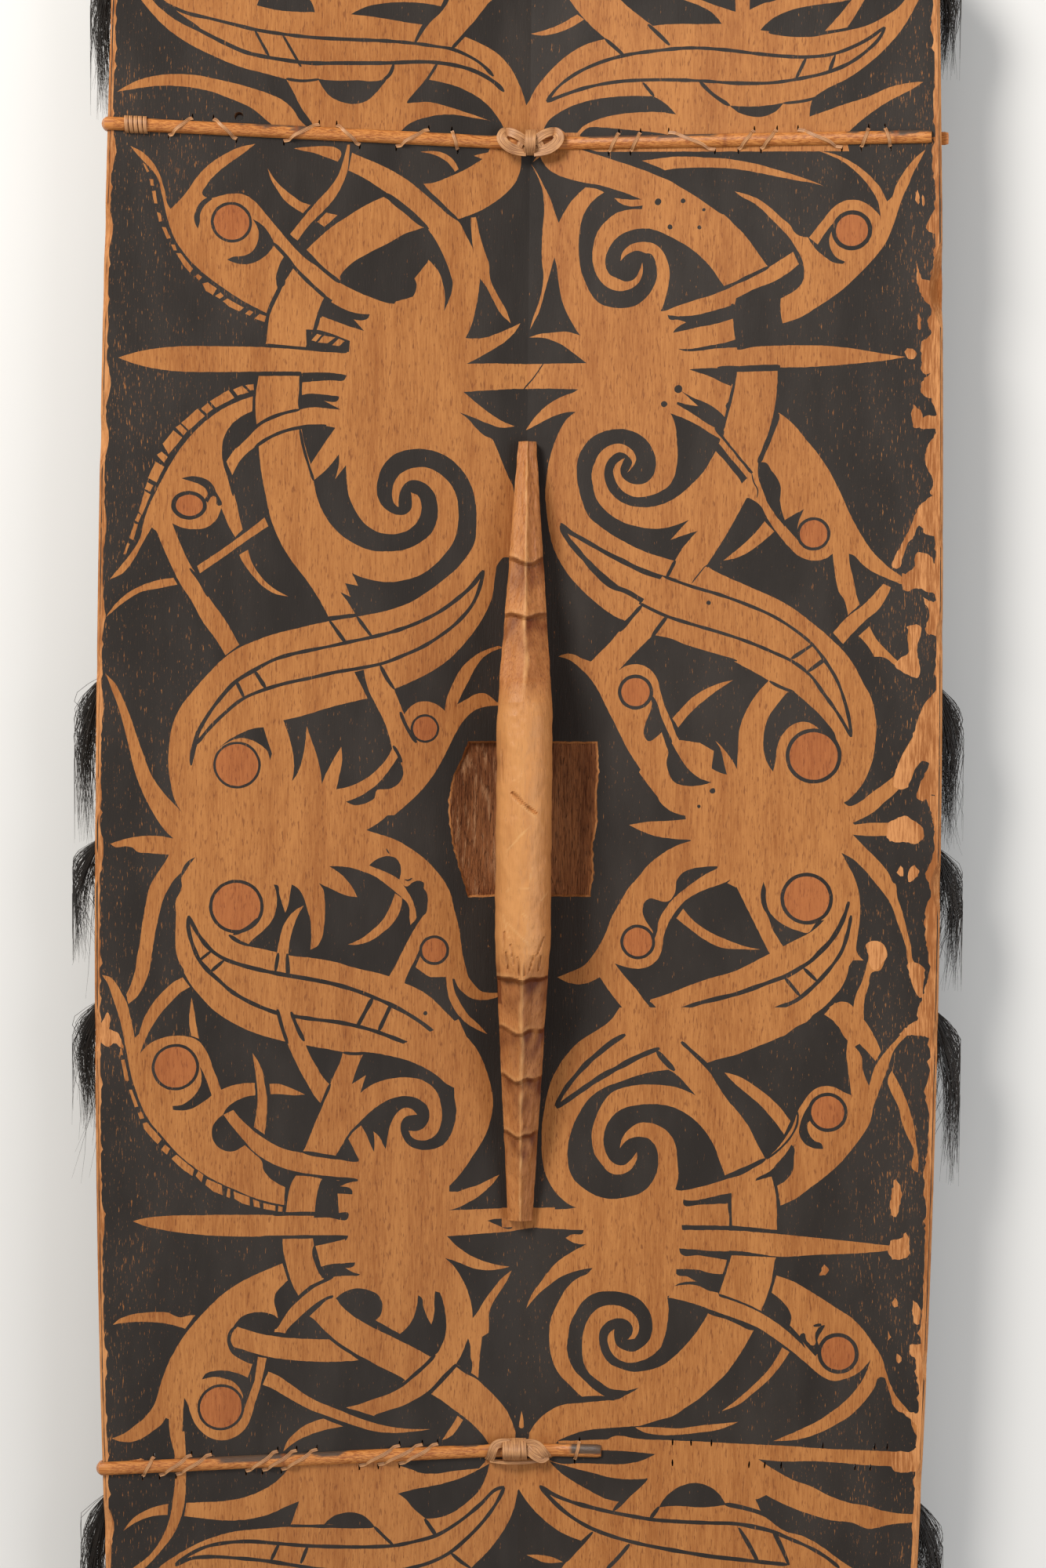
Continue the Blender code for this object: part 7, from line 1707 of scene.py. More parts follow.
def meshObject(name, verts, faces, materials, faceSlots=None, smooth=False):
    mesh = bpy.data.meshes.new(name)
    mesh.from_pydata([tuple(v) for v in verts], [], faces)
    for finish in materials:
        mesh.materials.append(finish)
    if faceSlots:
        mesh.polygons.foreach_set("material_index", faceSlots)
    if smooth:
        mesh.shade_smooth()
    mesh.update()
    made = bpy.data.objects.new(name, mesh)
    bpy.context.scene.collection.objects.link(made)
    return made


def wearPiece(piece, slotName, *nodes):
    # every piece rides on the one body and stands for the CAD nodes of its own
    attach(piece, "root")
    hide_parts(*nodes)


def setMask(mesh, name, values):
    # one colour for each face or a list of one for each of its corners
    layer = mesh.color_attributes.new(name, "BYTE_COLOR", "CORNER")
    flat = []
    for face, value in zip(mesh.polygons, values):
        corners = value if isinstance(value, list) else [value] * face.loop_total
        for corner in corners:
            flat += [*corner, 1.0]
    layer.data.foreach_set("color", flat)


def insideOf(loop, x, y):
    found = False
    x0, y0 = loop[-1]
    for x1, y1 in loop:
        if (y0 > y) != (y1 > y) and x < (x1 - x0) * (y - y0) / (y1 - y0) + x0:
            found = not found
        x0, y0 = x1, y1
    return found


def shrunk(loop, amount):
    # moves each point of a counter-clockwise loop inwards by amount
    made = []
    for k, (x, y) in enumerate(loop):
        ahead = Vector(loop[(k + 1) % len(loop)]) - Vector(loop[k - 1])
        if ahead.length < 1e-9:
            made.append((x, y))
            continue
        ahead.normalize()
        made.append((x - ahead.y * amount, y + ahead.x * amount))
    return made


def turnedLeft(loop):
    # the same loop, counter-clockwise
    area = sum(a[0] * b[1] - b[0] * a[1] for a, b in zip(loop, loop[1:] + loop[:1]))
    return loop if area > 0 else loop[::-1]


# The plank: its outline, pocket, slits and faces

pocket = {
    "depth": 0.0025,
    "lip": 0.0010,
    "left": [(597, 945), (588, 968), (577, 992), (572, 1020), (573, 1048), (577, 1078), (585, 1106), (597, 1144)],
    "right": [(753, 1144), (757, 1112), (756, 1080), (762, 1048), (761, 1015), (764, 985), (762, 946)],
}
slits = {
    "width": 0.0010,
    "length": 0.0034,
    "upper": [-0.855, -0.800, -0.750, -0.695, -0.582, -0.498, -0.456, -0.400, -0.312, -0.234, -0.178, -0.163,
              0.205, 0.230, 0.258, 0.282, 0.350, 0.462, 0.518, 0.556, 0.572, 0.610, 0.660, 0.765, 0.810, 0.828,
              0.866, 0.880],
    "upperSides": "LUULLUULLUULLULUULLULUULLUUL",
    "lower": [-0.903, -0.876, -0.862, -0.786, -0.822, -0.738, -0.654, -0.578, -0.614, -0.532, -0.568, -0.482,
              -0.378, -0.280, -0.332, -0.224, -0.280, -0.186, 0.154, 0.166,
              0.395, 0.440, 0.490, 0.760, 0.885, 0.915, 0.395, 0.582, 0.620, 0.660, 0.838, 0.875],
    "lowerSides": "LULULULULULULULULULUUUUUUULLLLLL",
}
oldHole = {"share": -0.690, "rise": 0.0068, "radius": 0.0023, "sides": 14}


def rimLoop():
    # points round the plank's edge, counter-clockwise from the lower right, each with its outward direction
    ys = spread(-plank["length"] / 2, plank["length"] / 2, int(plank["length"] / plank["rimStep"]))
    right = [(halfWidth(y), y) for y in ys]
    across = spread(-1, 1, 9)[1:-1]
    top = [(-a * plank["tipWidth"] / 2, plank["length"] / 2) for a in across]
    loop = right + top + [(-x, y) for x, y in reversed(right)] + [(-x, -y) for x, y in top]
    made = []
    for k, (x, y) in enumerate(loop):
        ahead = Vector(loop[(k + 1) % len(loop)]) - Vector(loop[k - 1])
        ahead.normalize()
        made.append((x, y, ahead.y, -ahead.x))
    return made


def rimCut(x, y, seed):
    # how far the arris is worn back at this place of the rim
    slow = wobble(x * 9, y * 9, seed)
    fast = wobble(x * 60, y * 60, seed + 5)
    chip = max(0.0, wobble(x * 30, y * 30, seed + 9) - 0.32) * 0.012
    return plank["rimChamfer"] + plank["rimWear"] * (0.9 * slow + 0.6 * fast) + chip


def slitLoops():
    loops = []
    for tie, shares, sides in (("upper", slits["upper"], slits["upperSides"]),
                               ("lower", slits["lower"], slits["lowerSides"])):
        for share, side in zip(shares, sides):
            x = share * halfWidth(ties[tie]["y"])
            way = 1 if side == "U" else -1
            y = tieY(x, ties[tie]) + way * ties["slitOffset"]
            lean = wobble(x * 50, y * 50) * 0.0003
            w, h = slits["width"] / 2, slits["length"] / 2
            y += way * h * 0.45
            loops.append([(x - lean - w * 0.6, y - h), (x - lean + w * 0.6, y - h), (x + w, y),
                          (x + lean + w * 0.5, y + h), (x + lean - w * 0.5, y + h), (x - w, y)])
    return loops


def holeLoop():
    x = oldHole["share"] * halfWidth(ties["upper"]["y"])
    y = tieY(x, ties["upper"]) + oldHole["rise"]
    turns = [2 * math.pi * k / oldHole["sides"] for k in range(oldHole["sides"])]
    return [(x + oldHole["radius"] * (1 + 0.12 * wobble(3 * math.cos(t), 3 * math.sin(t))) * math.cos(t),
             y + oldHole["radius"] * math.sin(t)) for t in turns]


def pocketLoop():
    points = [onBack(*p) for p in pocket["left"][::-1]] + [onBack(*p) for p in pocket["right"][::-1]]
    loop = []
    for k, start in enumerate(points):
        end = points[(k + 1) % len(points)]
        count = max(1, int((Vector(end) - Vector(start)).length / 0.0012))
        for step in range(count):
            share = step / count
            x = start[0] + (end[0] - start[0]) * share
            y = start[1] + (end[1] - start[1]) * share
            loop.append((x + 0.0007 * wobble(x * 40, y * 420, 3), y + 0.0004 * wobble(x * 300, y * 60, 8)))
    return turnedLeft(loop)


def pocketHeight(x, y, reach):
    # a trough that is deepest a little off the keel line and runs out at its sides
    floor = plank["keelThickness"] - pocket["depth"]
    rise = reach * backSlope + pocket["depth"]
    radius = (reach ** 2 + rise ** 2) / (2 * rise)
    off = min(abs(x - keelX), reach)
    torn = 0.00022 * wobble(x * 900, y * 60, 4) + 0.0003 * wobble(x * 160, y * 50, 6)
    return min(backZ(x), floor + radius - math.sqrt(radius ** 2 - off ** 2) + torn)


def saddleLoop(tie, grow):
    top = ties["caneThickness"] + 3 * ties["gap"]
    reach = plank["keelFlat"] / 2 + (top + ties["gap"]) / frontSlope + grow
    room = ties["caneWidth"] / 2 + ties["gap"] + grow
    left, right = keelX - reach, keelX + reach
    return [(left, tieY(left, tie) - room), (right, tieY(right, tie) - room),
            (right, tieY(right, tie) + room), (left, tieY(left, tie) + room)]


def windings(loop, xs, ys):
    # how often the closed line goes round each of the places
    px, py = np.array(loop, dtype=float).T
    qx, qy = np.roll(px, -1), np.roll(py, -1)
    x, y = xs[:, None], ys[:, None]
    side = (qx - px) * (y - py) - (x - px) * (qy - py)
    return ((py <= y) & (qy > y) & (side > 0)).sum(1) - ((py > y) & (qy <= y) & (side < 0)).sum(1)


def flatMesh(outline, layers, lines, dots):
    # triangles of the outline, each with the number of the topmost layer over it (-1: none)
    verts = [Vector(p) for p in outline]
    edges = []
    for line in [[*loop, None] for loop in layers] + lines:
        start = len(verts)
        closed = line[-1] is None
        places = line[:-1] if closed else line
        verts.extend(Vector(p) for p in places)
        edges.extend((start + k, start + k + 1) for k in range(len(places) - 1))
        if closed:
            edges.append((start + len(places) - 1, start))
    verts.extend(Vector(p) for p in dots)
    places, _, triangles, origin, _, owners = geometry.delaunay_2d_cdt(
        verts, edges, [list(range(len(outline)))], 1, 1e-7, True)
    kept = [list(triangle) for triangle, owner in zip(triangles, owners) if 0 in owner]
    flat = np.array([(p.x, p.y) for p in places])
    middles = flat[np.array(kept)].mean(axis=1)
    tops = np.full(len(kept), -1)
    for number, loop in enumerate(layers):
        low, high = np.min(loop, axis=0), np.max(loop, axis=0)
        near = np.nonzero(((middles >= low) & (middles <= high)).all(axis=1))[0]
        if len(near):
            tops[near[windings(loop, *middles[near].T) != 0]] = number
    rim = {}
    for k, sources in enumerate(origin):
        for source in sources:
            if source < len(outline):
                rim[source] = k
    return [(p.x, p.y) for p in places], kept, [int(top) for top in tops], rim


def wallsOf(triangles):
    # the edges that belong to one triangle only, in that triangle's own direction
    seen = {}
    for t in triangles:
        for a, b in ((t[0], t[1]), (t[1], t[2]), (t[2], t[0])):
            seen[(a, b)] = True
    return [(a, b) for a, b in seen if (b, a) not in seen]


maskOf = {"wood": (0, 0, 0), "ink": (1, 0, 0), "eye": (0, 1, 0), "bare": (0, 0, 1), "pit": (0.6, 0, 0),
          "pocket": (0, 0, 0), "lip": (0, 0, 0.7)}


def buildPlank():
    rim = rimLoop()
    backRim = [(x - nx * rimCut(x, y, 1), y - ny * rimCut(x, y, 1)) for x, y, nx, ny in rim]
    frontRim = [(x - nx * rimCut(x, y, 40), y - ny * rimCut(x, y, 40)) for x, y, nx, ny in rim]
    openings = slitLoops() + [holeLoop()]
    pocketEdge = pocketLoop()
    pocketFloor = shrunk(pocketEdge, pocket["lip"])
    verts, faces, slotsOf, masks = [], [], [], []

    def addSide(outline, items, extra, dots, lines, height, flip):
        # one face of the plank; an opening's triangles are left out and its walls go to half depth
        layers = [loop for _, loop in items] + [loop for _, loop in extra] + openings
        kinds = [kind for kind, _ in items] + [kind for kind, _ in extra] + ["opening"] * len(openings)
        places, triangles, tops, rimIndex = flatMesh(outline, layers, lines, dots)
        start = len(verts)
        verts.extend((x, y, height(x, y)) for x, y in places)
        kept = [(t, kinds[top] if top >= 0 else "ink") for t, top in zip(triangles, tops)]
        solid = [(t, kind) for t, kind in kept if kind != "opening"]
        for t, kind in solid:
            corners = [start + i for i in t]
            faces.append(corners[::-1] if flip else corners)
            slotsOf.append(2 if kind == "pocket" else 0)
            masks.append(maskOf[kind])
        rimSet = set(rimIndex.values())
        deep = {}
        for a, b in wallsOf([t for t, _ in solid]):
            if a in rimSet and b in rimSet:
                continue
            for i in (a, b):
                if i not in deep:
                    x, y = places[i]
                    deep[i] = len(verts)
                    verts.append((x, y, (backZ(x) + frontZ(x)) / 2))
            wall = [start + b, start + a, deep[a], deep[b]]
            faces.append(wall[::-1] if flip else wall)
            slotsOf.append(0)
            # the walls inside the slits and the hole are darkened towards the paint's black, a painted shade
            masks.append(maskOf["pit"])
        return [start + rimIndex[k] for k in range(len(outline))]

    reachOf = {}

    def reachAt(y):
        key = round(y, 4)
        if key not in reachOf:
            xs = [x for x, py in pocketEdge if abs(py - y) < 0.0025]
            reachOf[key] = max(0.031, min(0.038, max(abs(x - keelX) for x in xs) if xs else 0.031))
        return reachOf[key]

    def backHeight(x, y):
        if insideOf(pocketHull, x, y):
            return pocketHeight(x, y, reachAt(y))
        return backZ(x)

    pocketHull = shrunk(pocketEdge, pocket["lip"] * 0.5)
    dots = []
    lowY, highY = min(p[1] for p in pocketFloor), max(p[1] for p in pocketFloor)
    for y in spread(lowY, highY, 40):
        for x in spread(keelX - 0.038, keelX + 0.038, 46):
            x += 0.0004 * wobble(x * 900, y * 900)
            if insideOf(shrunk(pocketFloor, 0.0005), x, y):
                dots.append((x, y))
    keelLine = [(keelX, y) for y in spread(-plank["length"] / 2 + 0.004, plank["length"] / 2 - 0.004, 3)]
    backLoop = addSide(backRim, backOrnament(), [("lip", pocketEdge), ("pocket", pocketFloor)], dots, [keelLine],
                       backHeight, False)
    print("back drawn:", len(faces), "faces")

    saddles = [saddleLoop(ties[tie], 0) for tie in ("upper", "lower")]
    saddleTop = ties["caneThickness"] + 3 * ties["gap"]

    def frontHeight(x, y):
        for loop in saddleTests:
            if insideOf(loop, x, y):
                return max(saddleTop, frontZ(x))
        return frontZ(x)

    saddleTests = [saddleLoop(ties[tie], 0.0001) for tie in ("upper", "lower")]
    outer = [saddleLoop(ties[tie], 0.0005) for tie in ("upper", "lower")]
    half = plank["keelFlat"] / 2
    flatLines = [[(keelX + side * half, y) for y in spread(-plank["length"] / 2 + 0.02, plank["length"] / 2 - 0.02, 3)]
                 for side in (-1, 1)]
    frontLoop = addSide(frontRim, frontOrnament(), [("ink", loop) for loop in outer + saddles], [], flatLines,
                        frontHeight, True)
    print("front drawn:", len(faces), "faces")

    count = len(rim)
    rows = [[], []]
    for k, (x, y, nx, ny) in enumerate(rim):
        for row, z in zip(rows, (backZ(x) - rimCut(x, y, 1), frontZ(x) + rimCut(x, y, 40))):
            row.append(len(verts))
            verts.append((x, y, z))
    rings = [backLoop, rows[0], rows[1], frontLoop]
    shades = [(0, 0, 0.75), (0, 0, 0.35), (0.2, 0, 0.5)]
    for shade, upper, lower in zip(shades, rings, rings[1:]):
        for k in range(count):
            after = (k + 1) % count
            faces.append([upper[k], lower[k], lower[after], upper[after]])
            slotsOf.append(0)
            masks.append(shade)
    return verts, faces, slotsOf, masks


# The handle, measured from the middle of its grip

handle = {
    "middleY": -0.018,
    "gripUp": 0.070,
    "gripDown": 0.081,
    "gripWidth": 0.0285,
    "gripHeight": 0.051,
    "gripSwell": 0.002,
    "fingerRoom": 0.025,
    "footLip": 0.0015,
    "footSlant": 0.0035,
    "footEmbed": 0.004,
    "pocketLength": 0.080,
    "upperReach": 0.196,
    "upperEndWidth": 0.0092,
    "upperRings": (0.105, 0.134),
    "lowerReach": 0.209,
    "lowerEndWidth": 0.0128,
    "lowerRings": (0.108, 0.133, 0.163),
    "endHeight": 0.010,
    "neckStep": 0.006,
    "notchDepth": 0.0026,
    "notchRun": 0.0022,
    "step": 0.0008,
    "topPoints": 49,
    "nearer": 0.968,
}


def handleLines():
    floor = plank["keelThickness"] - handle["footEmbed"]
    roof = plank["keelThickness"] + handle["fingerRoom"]
    mouth = handle["pocketLength"] / 2 - handle["footLip"]
    full = handle["gripWidth"]
    width, height = [(0, full / 2)], [(0, handle["gripHeight"] + handle["gripSwell"])]
    under, sharp = [(0, roof)], [(0, 0)]
    neckHeight = handle["gripHeight"] - handle["neckStep"]
    necks = ((1, handle["gripUp"], handle["upperReach"], handle["upperEndWidth"], handle["upperRings"]),
             (-1, handle["gripDown"], handle["lowerReach"], handle["lowerEndWidth"], handle["lowerRings"]))
    for side, grip, reach, endWidth, rings in necks:
        def crest(distance, near=grip, far=reach):
            return neckHeight + (handle["endHeight"] - neckHeight) * (distance - near) / (far - near)

        width += [(side * grip * 0.75, full / 2), (side * grip, full * 0.46), (side * reach, endWidth / 2)]
        height += [(side * grip * 0.75, handle["gripHeight"]),
                   (side * grip, handle["gripHeight"] - handle["neckStep"] * 0.4)]
        for ring in rings:
            height += [(side * ring, crest(ring)), (side * ring - handle["notchRun"], crest(ring) - handle["notchDepth"])]
        height.append((side * reach, handle["endHeight"]))
        under += [(side * (mouth - handle["footSlant"]), roof), (side * mouth, floor)]
        sharp += [(side * grip * 0.85, 0), (side * (grip + handle["notchRun"]), 1)]
    height.append((-handle["gripDown"] - handle["notchRun"], neckHeight - handle["notchDepth"]))
    return width, height, under, sharp


# Cuts, splits and scratches on the handle in pixels of the photo: from, to, width in mm and what it is
handleMarks = [
    (653, 1011, 668, 1026, 1.5, "gouge"), (668, 1026, 684, 1038, 1.1, "gouge"),
    (657, 1020, 684, 1043, 1.0, "scratch"), (677, 1053, 660, 1069, 0.5, "scratch"),
    (673, 1058, 658, 1074, 0.4, "scratch"), (665, 1065, 645, 1088, 0.6, "scratch"),
    (646, 1178, 680, 1212, 0.6, "scratch"), (641, 1167, 649, 1197, 0.5, "scratch"),
    (660, 1135, 675, 1134, 0.6, "scratch"), (679, 1108, 675, 1131, 0.5, "scratch"),
    (645, 1140, 652, 1132, 0.5, "scratch"), (666, 1166, 678, 1175, 0.4, "scratch"),
    (690, 1150, 700, 1138, 0.4, "scratch"), (655, 995, 662, 997, 0.4, "scratch"),
    (651, 1206, 654, 1223, 0.7, "split"), (660, 1223, 663, 1248, 0.7, "split"),
    (694, 1197, 685, 1221, 0.9, "split"), (682, 1218, 674, 1244, 0.6, "split"),
    (645, 1216, 648, 1238, 0.8, "split"), (668, 1228, 669, 1247, 0.5, "split"),
    (690, 1222, 687, 1240, 0.9, "split"), (654, 1214, 655, 1232, 0.5, "split"),
    (640, 955, 641, 1000, 0.7, "split"), (643, 1190, 642, 1215, 0.7, "split"),
]


def nearHandleMark(x, y):
    # how strongly a gouge, a split and a scratch reach this place
    found = {"gouge": 0.0, "split": 0.0, "scratch": 0.0}
    for x0, y0, x1, y1, width, kind in handleMarks:
        (ax, ay), (bx, by) = onBack(x0, y0), onBack(x1, y1)
        ax, ay, bx, by = ax * handle["nearer"], ay * handle["nearer"], bx * handle["nearer"], by * handle["nearer"]
        if not (min(ay, by) - 0.004 < y < max(ay, by) + 0.004):
            continue
        share = max(0.0, min(1.0, ((x - ax) * (bx - ax) + (y - ay) * (by - ay)) / ((bx - ax) ** 2 + (by - ay) ** 2)))
        away = math.hypot(x - ax - (bx - ax) * share, y - ay - (by - ay) * share)
        taper = width * 0.0006 * (0.35 + 1.3 * math.sin(math.pi * (0.12 + 0.76 * share)))
        found[kind] = max(found[kind], 1 - away / taper)
    return found


def handleMesh():
    lines = handleLines()
    keys = sorted({d for line in lines for d, _ in line})
    stations = []
    for near, far in zip(keys, keys[1:]):
        count = max(1, round((far - near) / handle["step"]))
        stations += [near + (far - near) * k / count for k in range(count)]
    stations.append(keys[-1])
    marks = [side * r for side, rr in ((1, handle["upperRings"]), (-1, handle["lowerRings"])) for r in rr]
    marks.append(-handle["gripDown"])
    verts, shades = [], []
    for distance in stations:
        w, top, low, ridge = (between(line, distance) for line in lines)
        y = handle["middleY"] + distance
        edge = min(distance + handle["gripDown"], handle["gripUp"] - distance) / 0.014
        polish = max(0.0, min(1.0, edge))
        for k in range(handle["topPoints"]):
            x = math.cos(math.pi * k / (handle["topPoints"] - 1))
            bend = ridge * (0.0026 * (0.5 - abs(x)) + 0.0022 * wobble(x * 1.7, y * 30, 77))
            top = between(lines[1], distance + bend) + plank["keelThickness"]
            roundDrop = w * 0.95 * (1 - math.sqrt(max(0.0, 1 - x * x)))
            ridgeDrop = w * (0.62 * abs(x) + 0.55 * max(0.0, abs(x) - 0.86))
            z = top - roundDrop * (1 - ridge) - ridgeDrop * ridge
            carve = 0.0006 * wobble(x * 2.2, y * 70, 2) + 0.0003 * wobble(x * 6, y * 220, 7)
            facet = 0.0007 * abs(wobble(x * 1.6, y * 38, 4)) * ridge
            side = x * w * (1 + 0.03 * wobble(x * 2, y * 60, 11)) + 0.0003 * wobble(y * 150, x * 3, 19)
            near = nearHandleMark(keelX + side, y)
            z -= 0.0016 * max(0.0, near["gouge"]) + 0.0011 * max(0.0, near["split"]) + facet
            if abs(x) < 0.999:
                z = min(z + carve, top)
            verts.append((keelX + side, y, z))
            uneven = 0.85 + 0.8 * wobble(x * 2.5, y * 110, 31)
            bent = distance + bend
            # the band below each carved step is darkened: dirt and painted shade, deeper on the right side where shade
            # falls
            below = [mark - bent for mark in marks if 0 <= mark - bent < 0.023]
            stepDirtAndShade = max((1 - d / 0.023 for d in below), default=0.0) ** 0.7
            # lip: a painted highlight just above each carved step, added to pale below
            lip = max((1 - abs(bent - mark - 0.0008) / 0.0018 for mark in marks), default=0.0)
            dark = stepDirtAndShade * (0.75 + 0.45 * min(1, max(0, x * 5 + 0.5))) * uneven
            # painted shade down the right side of the ridged necks; the gouges and splits are darkened too
            dark = max(dark, 1.25 * max(near["gouge"], near["split"]), 0.36 * ridge * (x > 0.10))
            # painted shade on the grip's left side face
            if x < -0.86 and -0.095 < distance < 0.045:
                dark = max(dark, 0.85)
            arris = abs(x + 0.02 + 0.10 * wobble(y * 55, 8)) / (0.12 + 0.06 * wobble(y * 90, 9))
            pale = 0.75 * max(0.0, 1 - arris) * ridge * (0.75 + wobble(y * 150, 3))
            pale = max(pale, 0.30 * lip * uneven * (1 - max(0.0, x)), near["scratch"] * 0.75)
            if near["gouge"] > 0:
                pale = 0.0
            # polish by hands, fading towards the right side as painted shade
            grip = polish * (1 - 0.75 * max(0.0, x - 0.35) / 0.65) * (0.85 + 0.4 * wobble(x * 3, y * 40, 51))
            shades.append([max(0.0, min(1.0, value)) for value in (dark, grip, pale)])
        # the underside of the handle, darkened as painted shade underneath
        for x in (-0.93, -0.6, -0.2, 0.2, 0.6, 0.93):
            drop = w * 0.45 * (1 - math.sqrt(1 - x * x)) * (1 - ridge)
            verts.append((keelX + x * w, y, low + drop + 0.0004 * wobble(x * 3, y * 90, 5)))
            shades.append([0.7, 0.0, 0.0])
    size = handle["topPoints"] + 6
    faces = []
    for k in range(len(stations) - 1):
        for i in range(size):
            a, b = k * size + i, k * size + (i + 1) % size
            faces.append([b, a, a + size, b + size])
    faces.append(list(range(size)))
    faces.append([len(verts) - size + i for i in range(size)][::-1])
    return verts, faces, shades


def makePlank():
    verts, faces, slotsOf, masks = buildPlank()
    more, moreFaces, shades = handleMesh()
    start = len(verts)
    verts += more
    faces += [[start + i for i in face] for face in moreFaces]
    slotsOf += [1] * len(moreFaces)
    masks += [[shades[i] for i in face] for face in moreFaces]
    made = meshObject("carved_plank", verts, faces, [finishes["plank"], finishes["handle"], finishes["pocket"]], slotsOf)
    setMask(made.data, "paintMask", masks)
    wearPiece(made, "carved_wood", "shield_board")
    return made


makePlank()
print("plank done")


# The canes, round the left rim from the back to the front

cane = {
    "sides": 12,
    "step": 0.002,
    "overrun": 0.004,
    "inset": 0.005,
    "brokenX": 0.046,
    "nodes": (-0.118, 0.104, 0.190),
    "nodeSwell": 0.0004,
}


def saddleTopZ():
    return ties["caneThickness"] + ties["gap"]


def saddleReach():
    return plank["keelFlat"] / 2 + (saddleTopZ() + ties["gap"]) / frontSlope


def caneRoute(tie, backEnd, frontEnd):
    # (x, z, direction that the round side faces) along the cane, as the solid has it
    w = halfWidth(tie["y"])
    c, gap, reach = plank["rimChamfer"], ties["gap"], ties["bridgeReach"]
    steepBack, steepFront = math.atan(backSlope), math.atan(frontSlope)
    up = math.pi / 2
    route = []
    if backEnd > keelX + reach:
        route += [(backEnd, caneBackZ(backEnd), up + steepBack), (keelX + reach, caneBackZ(keelX), up + steepBack / 2)]
    else:
        route.append((backEnd, caneBackZ(backEnd), up))
    route += [
        (keelX - reach, caneBackZ(keelX), up - steepBack / 2),
        (-w + 2 * c, caneBackZ(-w + 2 * c), up - steepBack),
        (-w + c * 0.2, backZ(-w) + gap, up + math.pi / 5),
        (-w - gap, backZ(-w) - c, math.pi - 0.1),
        (-w - gap, frontZ(-w) + c, math.pi + 0.1),
        (-w + c * 0.2, frontZ(-w) - gap, math.pi + math.pi / 3.4),
        (-w + 3 * c, frontZ(-w + 3 * c) - gap, 1.5 * math.pi - steepFront),
        (keelX - saddleReach(), saddleTopZ(), 1.5 * math.pi),
        (keelX + saddleReach(), saddleTopZ(), 1.5 * math.pi),
        (frontEnd, frontZ(frontEnd) - gap, 1.5 * math.pi + steepFront),
    ]
    return route


def makeCane(name, node, tie, backEnd, frontEnd, seed):
    route = caneRoute(tie, backEnd, frontEnd)
    stations = []
    for (x0, z0, a0), (x1, z1, a1) in zip(route, route[1:]):
        count = max(1, int(math.hypot(x1 - x0, z1 - z0) / cane["step"]))
        for k in range(count):
            share = k / count
            stations.append((x0 + (x1 - x0) * share, z0 + (z1 - z0) * share, a0 + (a1 - a0) * share))
    stations.append(route[-1])
    verts, faces, shades = [], [], []
    sides = cane["sides"]
    for k, (x, z, way) in enumerate(stations):
        onBack = math.sin(way) > 0.5
        joint = max((math.exp(-((x - n) / 0.0022) ** 2) for n in cane["nodes"]), default=0) if onBack else 0
        end = min(k, len(stations) - 1 - k)
        swell = 1 + 0.03 * wobble(x * 40, seed) + 0.07 * joint
        if end == 0:
            swell *= 0.86
        for i in range(sides + 1):
            turn = math.pi * i / sides
            rough = 1 + 0.03 * wobble(x * 60, turn * 2, seed)
            across = ties["caneWidth"] / 2 * math.cos(turn) * min(1.0, swell)
            out = ties["caneThickness"] * math.sin(turn) * min(1.0, rough * swell * 0.97)
            verts.append((x + out * math.cos(way), tieY(x, tie) + across, z + out * math.sin(way)))
            share = i / sides
            smudge = wobble(x * 16, share * 1.5, seed) + 0.6 * wobble(x * 90, share * 5, seed) - share * 2.1
            paint = max(0.0, min(1.0, (smudge + 0.40) * 12)) if onBack else 0.0
            if tie is ties["lower"] and onBack and x > cane["brokenX"] - 0.016 and share < 0.62:
                paint = 1.0
            nearJoint = onBack and any(abs(x - n) < 0.0012 for n in cane["nodes"])
            brown = 0.8 if nearJoint else max(0.0, 0.5 * wobble(x * 12, seed + 3))
            shades.append((paint * 0.9, brown, 0.0))
    size = sides + 1
    for k in range(len(stations) - 1):
        for i in range(size):
            a, b = k * size + i, k * size + (i + 1) % size
            faces.append([a, b, b + size, a + size])
    faces.append(list(range(size))[::-1])
    faces.append([len(verts) - size + i for i in range(size)])
    made = meshObject(name, verts, faces, [finishes["cane"]])
    bm = bmesh.new()
    bm.from_mesh(made.data)
    bmesh.ops.recalc_face_normals(bm, faces=bm.faces)
    bm.to_mesh(made.data)
    bm.free()
    setMask(made.data, "caneMask", [[shades[i] for i in face.vertices] for face in made.data.polygons])
    made.data.shade_smooth()
    made.data.set_sharp_from_angle(angle=math.radians(50))
    wearPiece(made, "split_cane", node)
    return made


upperEdge, lowerEdge = halfWidth(ties["upper"]["y"]), halfWidth(ties["lower"]["y"])
makeCane("cane_upper", "upper_cane", ties["upper"], upperEdge - cane["inset"], upperEdge + cane["overrun"], 1.5)
makeCane("cane_lower", "lower_cane", ties["lower"], cane["brokenX"], lowerEdge - cane["inset"], 6.5)
print("canes done")


# Flat strips of split cane, each laid along its path by one node tree

def newTree(name, inputs):
    tree = bpy.data.node_groups.new(name, "GeometryNodeTree")
    tree.interface.new_socket("Geometry", in_out="INPUT", socket_type="NodeSocketGeometry")
    for label, kind, value in inputs:
        socket = tree.interface.new_socket(label, in_out="INPUT", socket_type=kind)
        if value is not None:
            socket.default_value = value
    tree.interface.new_socket("Geometry", in_out="OUTPUT", socket_type="NodeSocketGeometry")
    return tree, tree.nodes.new("NodeGroupInput"), tree.nodes.new("NodeGroupOutput")


def chain(tree, *steps):
    # links each step's first output to the next one's first input
    for near, far in zip(steps, steps[1:]):
        tree.links.new(near.outputs[0], far.inputs[0])


def endTree(tree, last, given, result):
    real = tree.nodes.new("GeometryNodeRealizeInstances")
    dress = tree.nodes.new("GeometryNodeSetMaterial")
    tree.links.new(last.outputs[0], real.inputs[0])
    tree.links.new(real.outputs[0], dress.inputs[0])
    tree.links.new(given.outputs["Material"], dress.inputs["Material"])
    tree.links.new(dress.outputs[0], result.inputs[0])


